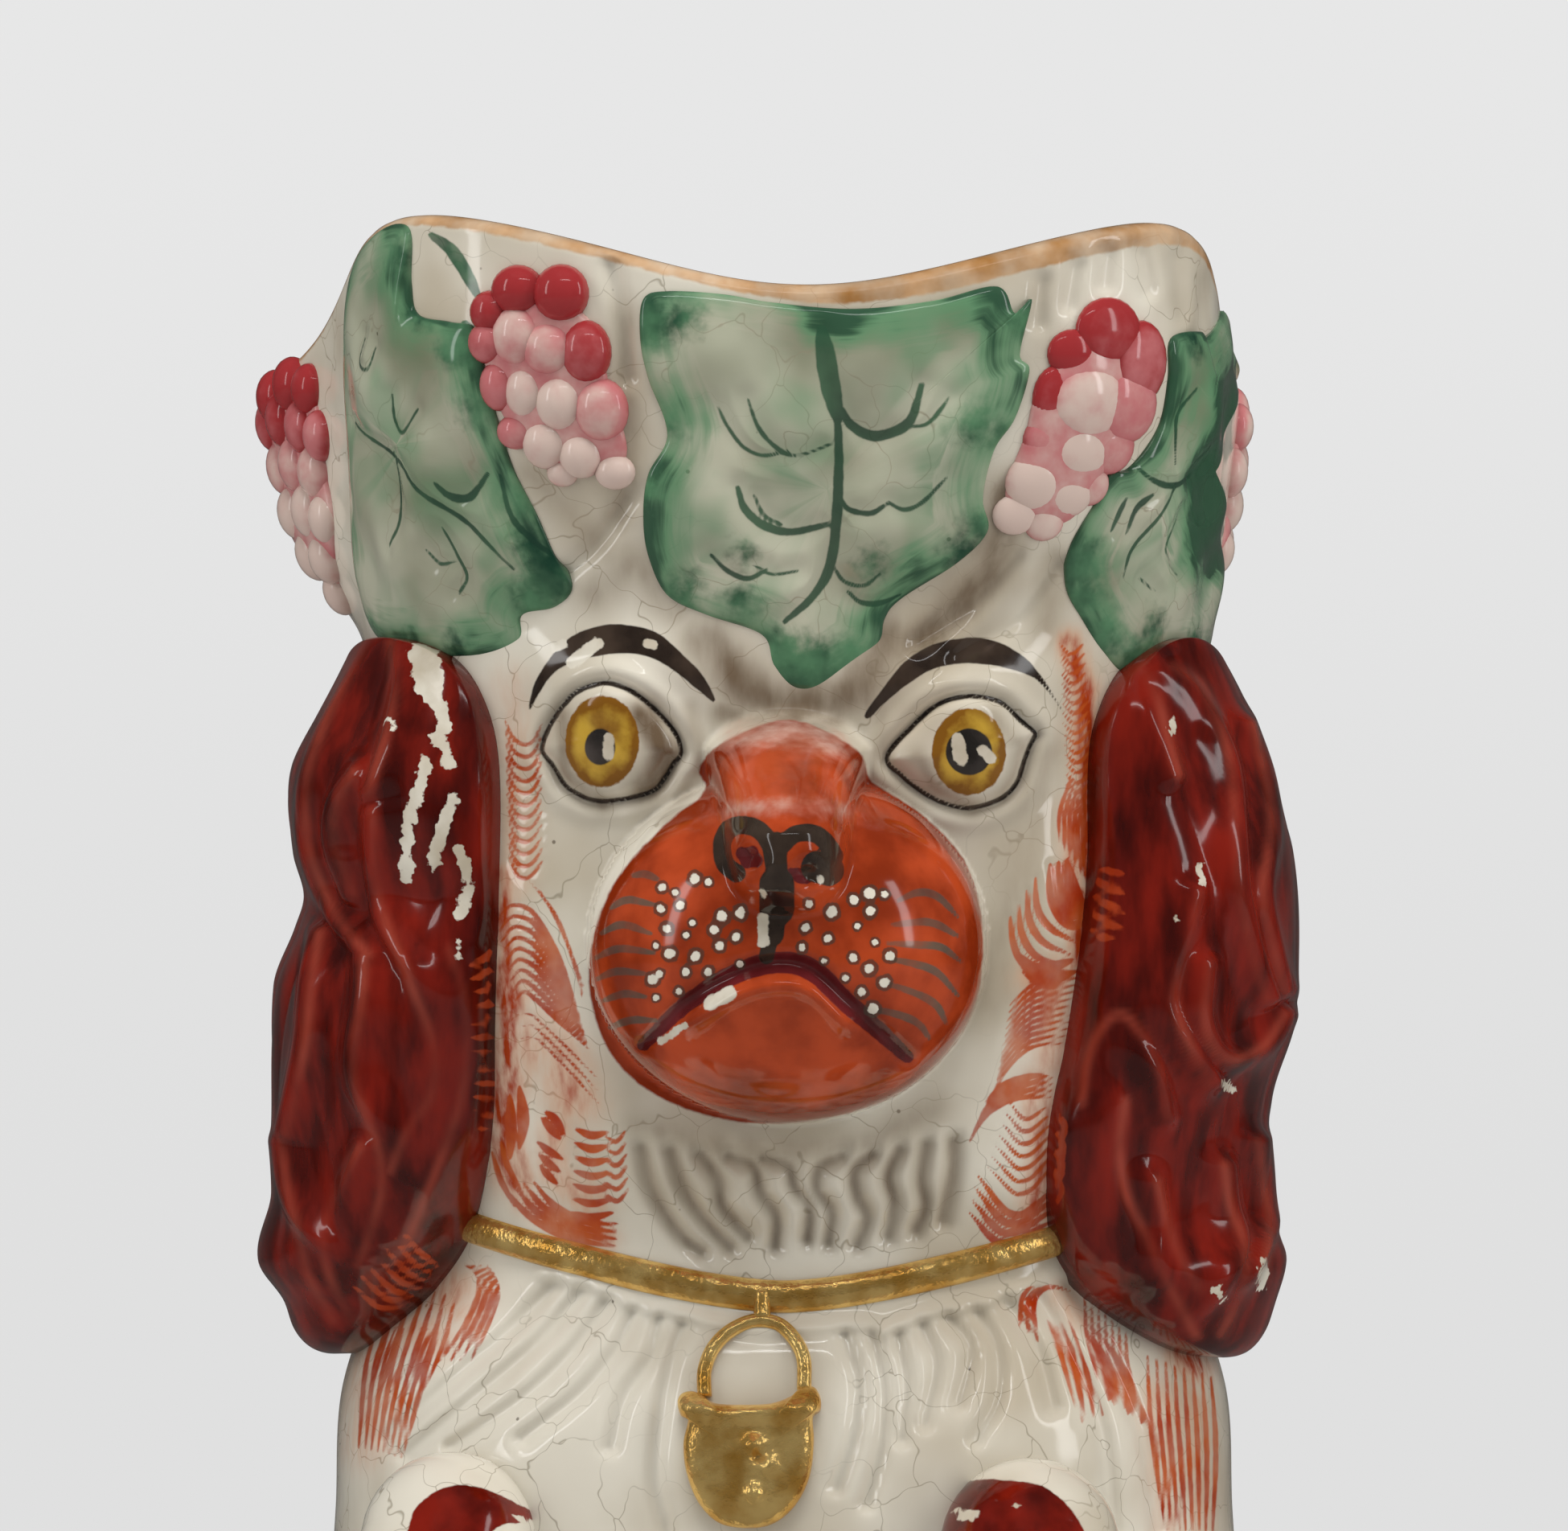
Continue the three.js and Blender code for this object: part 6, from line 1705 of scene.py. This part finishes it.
def bunch_piece(name, node, berries, angle, z, material, depth_share):
    """Berries laid on the wall about a place: each is x, y, half width, half height and ripeness."""
    around = float(wall_radius(np.array(angle), np.array(z)))
    pieces = []
    for index, (x, y, half_width, half_height, ripe) in enumerate(berries):
        half_width, half_height = half_width * BERRY["swell"], half_height * BERRY["swell"]
        depth = min(half_width, half_height) * depth_share
        here = np.array(angle + x / around)
        height = np.array(min(z + y, float(rim_height(here)) - half_height))
        centre = on_wall(here, height)
        out = wall_normal(here, height)
        side = np.cross([0.0, 0.0, 1.0], out)
        side /= np.linalg.norm(side)
        axes = [side * half_width, np.cross(out, side) * half_height, out * depth]

        def shade(unit, places, ripe=ripe):
            # Painted shade: more crimson towards the berry's foot, where it meets its neighbours and the wall
            hollow = 1 - smoothstep(BERRY["hollow_low"], BERRY["hollow_high"], unit[:, 2])
            return {"paint_ripe": ripe + BERRY["hollow"] * hollow * (ripe + BERRY["hollow_least"])}

        pieces.append(ball(f"{name}_{index}", axes, centre, shade, material, BERRY["columns"]))

    def rise(places, t):
        return np.full(len(places), BACKING["rise"] * rounded(t, BACKING["round"]))

    backing = curve_through(bunch_outline(berries), BACKING["steps"], closed=True)
    rows, _ = relief_rows(math.degrees(angle), z, backing, BACKING["rings"], rise, SEATED)
    attributes = {"paint_ripe": np.full(rows.shape[:2], BACKING["ripe"])}
    pieces.append(sheet(f"{name}_back", rows, attributes, material))
    finish_piece(luted(name, pieces), "pink_glaze", node)


def photo_bunch(name, node, berries, material, depth_share):
    """A bunch whose berries are given in pixels, each widened where the wall turns away from the camera."""
    pixels = np.array([[x, y] for x, y, *_ in berries], float)
    angle, z = middle_of(pixels)
    facing = np.maximum(np.cos(from_pixels(pixels)[0]), BERRY["least_facing"])
    scale = (CAMERA["distance"] - FRONT_DEPTH) / CAMERA["focal_px"]
    laid = []
    places = local_places(pixels, angle, z)
    for (x, y), turned, (_, _, half_width, half_height, ripe) in zip(places, facing, berries):
        width = min(half_width / turned, half_height * BERRY["widest"]) * scale
        laid.append((x, y, width, half_height * scale, ripe))
    bunch_piece(name, node, laid, angle, z, material, depth_share)


def build_grapes():
    material = berry_material()
    photo_bunch("left_front_bunch", "left_front_grapes", LEFT_BERRIES, material, BERRY["depth_share"])
    photo_bunch("right_front_bunch", "right_front_grapes", RIGHT_BERRIES, material, BERRY["merged_share"])
    for node, (turn, drop, mirror, ripeness) in SIDE_BUNCHES.items():
        berries = [(mirror * x, y, *sizes, ripe * ripeness) for x, y, *sizes, ripe in SIDE_BERRIES]
        z = float(rim_height(np.radians(turn))) - drop
        name, share = node.replace("grapes", "bunch"), BERRY["depth_share"]
        bunch_piece(name, node, berries, math.radians(turn), z, material, share)


def collar_piece(name, node, angles, material):
    turns = np.linspace(0, 2 * math.pi, COLLAR_BAND["sides"] + 1)
    out = np.where(np.sin(turns) > 0, sized("collar"), COLLAR_BAND["sink"]) * np.sin(turns)
    heights = collar_height(angles)[:, None]
    rows = raised(angles[:, None], heights, out[None])
    rows[..., 2] = heights + COLLAR_BAND["half_height"] * np.cos(turns)
    finish_piece(sheet(name, rows, {}, material), "gilding", node)


def build_collar():
    material = gold_material()
    for word, arc in COLLAR_ARCS.items():
        angles = np.radians(np.linspace(*arc, COLLAR_BAND["columns"]))
        collar_piece(f"collar_band_{word}", f"collar_{word}", angles, material)


def build_padlock():
    material = gold_material()
    angle, z = middle_of(PADLOCK_OUTLINE)
    outline = closed_outline(local_places(PADLOCK_OUTLINE, angle, z), PADLOCK_GRID)
    bosses = [(local_places([(x, y)], angle, z)[0], size, rise) for x, y, size, rise in PADLOCK_BOSSES]
    bar = local_places([PADLOCK_BAR], angle, z)[0][1]
    rims = PADLOCK_RELIEF["edge"]

    def rise(places, t):
        push = sum(lift * falloff(np.hypot(*(places - place).T), size) for place, size, lift in bosses)
        push = push + PADLOCK_RELIEF["bar"] * falloff(places[:, 1] - bar, PADLOCK_RELIEF["bar_width"])
        return rims + (sized("padlock") - rims + push) * rounded(t, PADLOCK_RELIEF["round"])

    rows, _ = relief_rows(math.degrees(angle), z, outline, PADLOCK_GRID["rings"], rise, SEATED)
    finish_piece(sheet("padlock_plate", rows, {}, material), "gilding", "padlock_body")
    tubes = []
    for index, (line, radius) in enumerate(((SHACKLE_LINE, SHACKLE_RADIUS), (LINK_LINE, LINK_RADIUS))):
        turn, height = from_pixels(curve_through(line, SHACKLE_GRID["steps"]))
        centres = raised(turn, height, radius * SHACKLE_LIFT)
        sizes = np.full((len(centres), 2), radius)
        rows = tube_rows(centres, wall_normal(turn, height), sizes, SHACKLE_GRID["sides"])
        tubes.append(sheet(f"shackle_{index}", rows, {}, material))
    finish_piece(luted("padlock_hoop", tubes), "gilding", "padlock_shackle")


def toes(word, heel, toe, offset, paint, material):
    """A row of toes: offset is how far each stands forward of the heel and below it."""
    made = []
    for i in range(toe["count"]):
        shift = (i - (toe["count"] - 1) / 2) * toe["spread"]
        centre = heel + np.array([shift, -offset[0], -offset[1]])
        axes = np.diag([toe["half_width"], toe["half_length"], toe["height"]])
        made.append(ball(f"{word}_toe_{i}", axes, centre, paint, material, TOE_COLUMNS, floor=0.0))
    return made


def build_legs():
    material, plain = leg_material(), plain_material()
    for word, side, patch in (("left", -1, LEG_PATCHES[0]), ("right", 1, LEG_PATCHES[1])):

        def patched(_, places, patch=patch):
            pixels = to_pixels(places)
            chips = stroke_field(pixels, LEG_PATCH_CHIPS)
            return {"paint_red": patch_field(pixels, patch), "paint_chip": chips}

        path = [(LEG_TURN + side * angle, *rest) for angle, *rest in FORELEG_PATH]
        rows = limb_rows(path, FORELEG_GRID)
        attributes = patched(None, rows.reshape(-1, 3))
        paw = raised(math.radians(path[-1][0]), path[-1][1] * JUG_HEIGHT, path[-1][2])
        leg = [sheet(f"{word}_leg", rows, attributes, material)]
        leg += toes(f"{word}_fore", paw, FOREPAW, (FOREPAW["out"], FOREPAW["drop"]), patched, material)
        finish_piece(luted(f"{word}_front_leg", leg), "glaze", f"{word}_foreleg")

        shares = np.array(HAUNCH_OUTLINE_SHARES) * np.array([side, 1.0])
        outline = closed_outline(shares, HAUNCH_GRID, (HAUNCH["half_width"], HAUNCH["half_height"]))

        def thigh(places, t, side=side):
            sweep = np.hypot(places[:, 0] + side * HAUNCH["fur_x"], places[:, 1] + HAUNCH["fur_y"])
            fur = HAUNCH["fur"] * np.cos(2 * np.pi * sweep / HAUNCH["fur_pitch"])
            fur = fur * (1 - t ** HAUNCH["fur_fade"])
            return HAUNCH["edge"] + (HAUNCH["rise"] - HAUNCH["edge"]) * rounded(t, HAUNCH["round"]) + fur

        turn, height = LEG_TURN + side * HAUNCH["angle"], HAUNCH["z_share"] * JUG_HEIGHT
        rows, _ = relief_rows(turn, height, outline, HAUNCH_GRID["rings"], thigh, SEATED)
        finish_piece(sheet(f"{word}_thigh", rows, {}, plain), "glaze", f"{word}_haunch")

        heel = raised(math.radians(LEG_TURN + side * HIND_FOOT["angle"]), HIND_FOOT["lift"], HIND_FOOT["out"])
        axes = np.diag([HIND_FOOT["half_width"], HIND_FOOT["half_length"], HIND_FOOT["height"]])
        foot = [ball(f"{word}_instep", axes, heel, lambda *_: {}, plain, HIND_FOOT["columns"], floor=0.0)]
        forward = (HIND_FOOT["half_length"] - HIND_TOE["inset"], 0.0)
        foot += toes(f"{word}_hind", heel, HIND_TOE, forward, lambda *_: {}, plain)
        finish_piece(luted(f"{word}_back_foot", foot), "glaze", f"{word}_hind_foot")


def build_tail():
    rows = limb_rows(TAIL_PATH, TAIL_GRID)
    angles = np.arctan2(rows[..., 0], -rows[..., 1])
    strands = np.cos(2 * np.pi * rows[..., 2] / TAIL_FUR["pitch"] + TAIL_FUR["twist"] * angles)
    rows = rows * (1 + TAIL_FUR["depth_share"] * strands[..., None] * np.array([1, 1, 0]))
    bare = np.full(rows.shape[:2], -FAR)
    # Lighter red on the strands' crests: worn enamel and painted highlight
    worn = np.clip(strands, 0, 1) * TAIL_FUR["worn"]
    attributes = {"paint_crest": worn, "paint_chip": bare, "paint_fur": bare}
    finish_piece(sheet("curled_tail", rows, attributes, red_material()), "red_glaze", "tail")


def build_handle():
    arch = [(BACK_DEPTH + reach, share * JUG_HEIGHT) for share, reach in HANDLE_ARCH]
    roots = []
    for share in (HANDLE_ROOTS["top_share"], HANDLE_ROOTS["foot_share"]):
        wall = float(wall_radius(np.array(math.pi), np.array(share * JUG_HEIGHT)))
        roots.append((wall - HANDLE_ROOTS["inside"], share * JUG_HEIGHT))
    line = curve_through([roots[0], *arch, roots[1]], HANDLE["steps"])
    centres = np.stack([0 * line[:, 0], line[:, 0], line[:, 1]], axis=1)
    tangents = np.gradient(centres, axis=0)
    outs = np.stack([0 * line[:, 0], -tangents[:, 2], tangents[:, 1]], axis=1)
    along = np.linspace(0, 1, len(centres))
    swell = sum(HANDLE["flare"] * falloff(end, HANDLE["flare_share"]) for end in (along, 1 - along))
    sizes = np.array([sized("handle_width"), sized("handle_thickness")]) * (1 + swell[:, None])
    rows = tube_rows(centres, outs, sizes, HANDLE["sides"], HANDLE["rib"])
    # The ends are pressed flat inside the wall
    floor = wall_radius(np.full(rows[..., 2].shape, math.pi), rows[..., 2]) - HANDLE_ROOTS["embedded"]
    rows[..., 1] = np.maximum(rows[..., 1], floor)
    finish_piece(sheet("loop_handle", rows, {}, plain_material()), "glaze", "handle")


# Matt paper: plain and pale to the camera, a little darker towards the floor as painted shade, and softly lit
# where it is not seen
def backdrop_material():
    studio = bpy.context.scene.spaniel_studio
    material, tree = bare_material("matt_paper")
    height = add(tree, "SeparateXYZ", {0: add(tree, "TexCoord", out="Object")}, out="Z")
    # Painted shade: the paper seen by the camera darkens towards the floor
    fade = add(tree, "MapRange", {0: height, 1: 0.0, 2: STAGE["fade"]}, **SOFT)
    shade = {0: fade, 6: tuple(studio.backdrop_low), 7: tuple(studio.backdrop_high)}
    colour = add(tree, "Mix", shade, **COLOUR)
    mirrored = add(tree, "LightPath", out="Is Glossy Ray")
    dimmed = add(tree, "Mix", {0: mirrored, 6: colour, 7: linear(ROOM)}, **COLOUR)
    lit = add(tree, "BsdfPrincipled", {"Base Color": dimmed, "Roughness": 0.9})
    plain = add(tree, "Emission", {"Color": colour, "Strength": 1.0})
    seen = add(tree, "LightPath", out="Is Camera Ray")
    surface = add(tree, "MixShader", {0: seen, 1: lit, 2: plain})
    add(tree, "OutputMaterial", {"Surface": surface})
    return material


def build_stage():
    """A sheet of paper that runs along the floor, bends, and rises behind the jug."""
    bm = bmesh.new()
    bmesh.ops.create_grid(bm, x_segments=1, y_segments=STAGE["rows"], size=1)
    floor_end = STAGE["back"] - STAGE["bend"]
    quarter = STAGE["bend"] * math.pi / 2
    total = STAGE["front"] + floor_end + quarter + STAGE["height"]
    for vert in bm.verts:
        run = (vert.co.y + 1) / 2 * total - STAGE["front"]
        turn = min(max(run - floor_end, 0), quarter) / STAGE["bend"]
        rest = max(run - floor_end - quarter, 0)
        y = min(run, floor_end) + STAGE["bend"] * math.sin(turn)
        vert.co = Vector((vert.co.x * STAGE["width"] / 2, y, STAGE["bend"] * (1 - math.cos(turn)) + rest))
    mesh = bpy.data.meshes.new("backdrop")
    bm.to_mesh(mesh)
    bm.free()
    backdrop = bpy.data.objects.new("backdrop", mesh)
    bpy.context.scene.collection.objects.link(backdrop)
    mesh.materials.append(backdrop_material())
    studio = bpy.context.scene.spaniel_studio
    for name, place, width, height, power, mirrored in LIGHTS:
        light = bpy.data.lights.new(name, "AREA")
        light.shape = "RECTANGLE"
        light.size, light.size_y = width, height
        light.energy = power * studio.light
        lamp = bpy.data.objects.new(name, light)
        lamp.visible_glossy = mirrored
        lamp.location = place
        aim = Vector(LIGHT_AIM) - Vector(place)
        lamp.rotation_euler = aim.to_track_quat("-Z", "Y").to_euler()
        bpy.context.scene.collection.objects.link(lamp)
    world = bpy.data.worlds.new("studio")
    world.use_nodes = True
    background = world.node_tree.nodes["Background"]
    background.inputs["Color"].default_value = linear(SKY)
    tree = world.node_tree
    mirrored = add(tree, "LightPath", out="Is Glossy Ray")
    strength = {0: mirrored, 3: studio.sky, 4: studio.sky * ROOM_SHARE}
    tree.links.new(add(tree, "MapRange", strength), background.inputs["Strength"])
    bpy.context.scene.world = world
    bpy.context.scene.view_settings.view_transform = "Standard"


def build_camera():
    data = bpy.data.cameras.new("photo_camera")
    data.sensor_width = CAMERA["sensor"]
    data.lens = CAMERA["sensor"] * CAMERA["focal_px"] / PHOTO["width"]
    camera = bpy.data.objects.new("photo_camera", data)
    camera.location = (0, -CAMERA["distance"] * MM, CAMERA["height"] * MM)
    camera.rotation_euler = (math.pi / 2, 0, 0)
    bpy.context.scene.collection.objects.link(camera)
    bpy.context.scene.camera = camera


class SPANIEL_OT_head(bpy.types.Operator):
    """Press the head with the hat's wall, and paint the face"""

    bl_idname = "spaniel.head"
    bl_label = "Head"

    def execute(self, context):
        build_head()
        return {"FINISHED"}


class SPANIEL_OT_body(bpy.types.Operator):
    """Press the body below the collar, with the slab in its foot"""

    bl_idname = "spaniel.body"
    bl_label = "Body"

    def execute(self, context):
        build_body()
        return {"FINISHED"}


class SPANIEL_OT_ears(bpy.types.Operator):
    """Apply the two ears with their wavy locks"""

    bl_idname = "spaniel.ears"
    bl_label = "Ears"

    def execute(self, context):
        build_ears()
        return {"FINISHED"}


class SPANIEL_OT_leaves(bpy.types.Operator):
    """Lay the vine leaves round the hat"""

    bl_idname = "spaniel.leaves"
    bl_label = "Vine leaves"

    def execute(self, context):
        build_leaves()
        return {"FINISHED"}


class SPANIEL_OT_grapes(bpy.types.Operator):
    """Set the bunches of grapes between the leaves"""

    bl_idname = "spaniel.grapes"
    bl_label = "Grapes"

    def execute(self, context):
        build_grapes()
        return {"FINISHED"}


class SPANIEL_OT_collar(bpy.types.Operator):
    """Run the gilt collar round the neck"""

    bl_idname = "spaniel.collar"
    bl_label = "Collar"

    def execute(self, context):
        build_collar()
        return {"FINISHED"}


class SPANIEL_OT_padlock(bpy.types.Operator):
    """Hang the gilt padlock from the collar"""

    bl_idname = "spaniel.padlock"
    bl_label = "Padlock"

    def execute(self, context):
        build_padlock()
        return {"FINISHED"}


class SPANIEL_OT_legs(bpy.types.Operator):
    """Apply the forelegs, the thighs and the hind feet"""

    bl_idname = "spaniel.legs"
    bl_label = "Legs"

    def execute(self, context):
        build_legs()
        return {"FINISHED"}


class SPANIEL_OT_tail(bpy.types.Operator):
    """Curl the tail round the back"""

    bl_idname = "spaniel.tail"
    bl_label = "Tail"

    def execute(self, context):
        build_tail()
        return {"FINISHED"}


class SPANIEL_OT_handle(bpy.types.Operator):
    """Pull the loop handle at the back"""

    bl_idname = "spaniel.handle"
    bl_label = "Handle"

    def execute(self, context):
        build_handle()
        return {"FINISHED"}


class SPANIEL_OT_stage(bpy.types.Operator):
    """Set the paper backdrop, the lamps and the camera"""

    bl_idname = "spaniel.stage"
    bl_label = "Stage"

    def execute(self, context):
        build_stage()
        build_camera()
        return {"FINISHED"}


OPERATORS = (
    SPANIEL_OT_stage,
    SPANIEL_OT_head,
    SPANIEL_OT_body,
    SPANIEL_OT_ears,
    SPANIEL_OT_leaves,
    SPANIEL_OT_grapes,
    SPANIEL_OT_collar,
    SPANIEL_OT_padlock,
    SPANIEL_OT_legs,
    SPANIEL_OT_tail,
    SPANIEL_OT_handle,
)
GROUPS = {"spaniel_sizes": SpanielSizes, "spaniel_glazes": SpanielGlazes, "spaniel_studio": SpanielStudio}


class SPANIEL_PT_jug(bpy.types.Panel):
    """Sizes, glazes and building steps of the jug"""

    bl_idname = "SPANIEL_PT_jug"
    bl_label = "Spaniel jug"
    bl_space_type = "VIEW_3D"
    bl_region_type = "UI"
    bl_category = "Spaniel jug"

    def draw(self, context):
        for operator in OPERATORS:
            self.layout.operator(operator.bl_idname)
        for name, group in GROUPS.items():
            box = self.layout.box()
            for key in group.__annotations__:
                box.prop(getattr(context.scene, name), key)


def register():
    for made in (*GROUPS.values(), *OPERATORS, SPANIEL_PT_jug):
        bpy.utils.register_class(made)
    for name, group in GROUPS.items():
        setattr(bpy.types.Scene, name, bpy.props.PointerProperty(type=group))


def unregister():
    for name in GROUPS:
        delattr(bpy.types.Scene, name)
    for made in reversed((*GROUPS.values(), *OPERATORS, SPANIEL_PT_jug)):
        bpy.utils.unregister_class(made)


def main():
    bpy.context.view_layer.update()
    register()
    for operator in OPERATORS:
        getattr(bpy.ops.spaniel, operator.bl_idname.split(".")[1])()


if __name__ == "__main__":
    main()
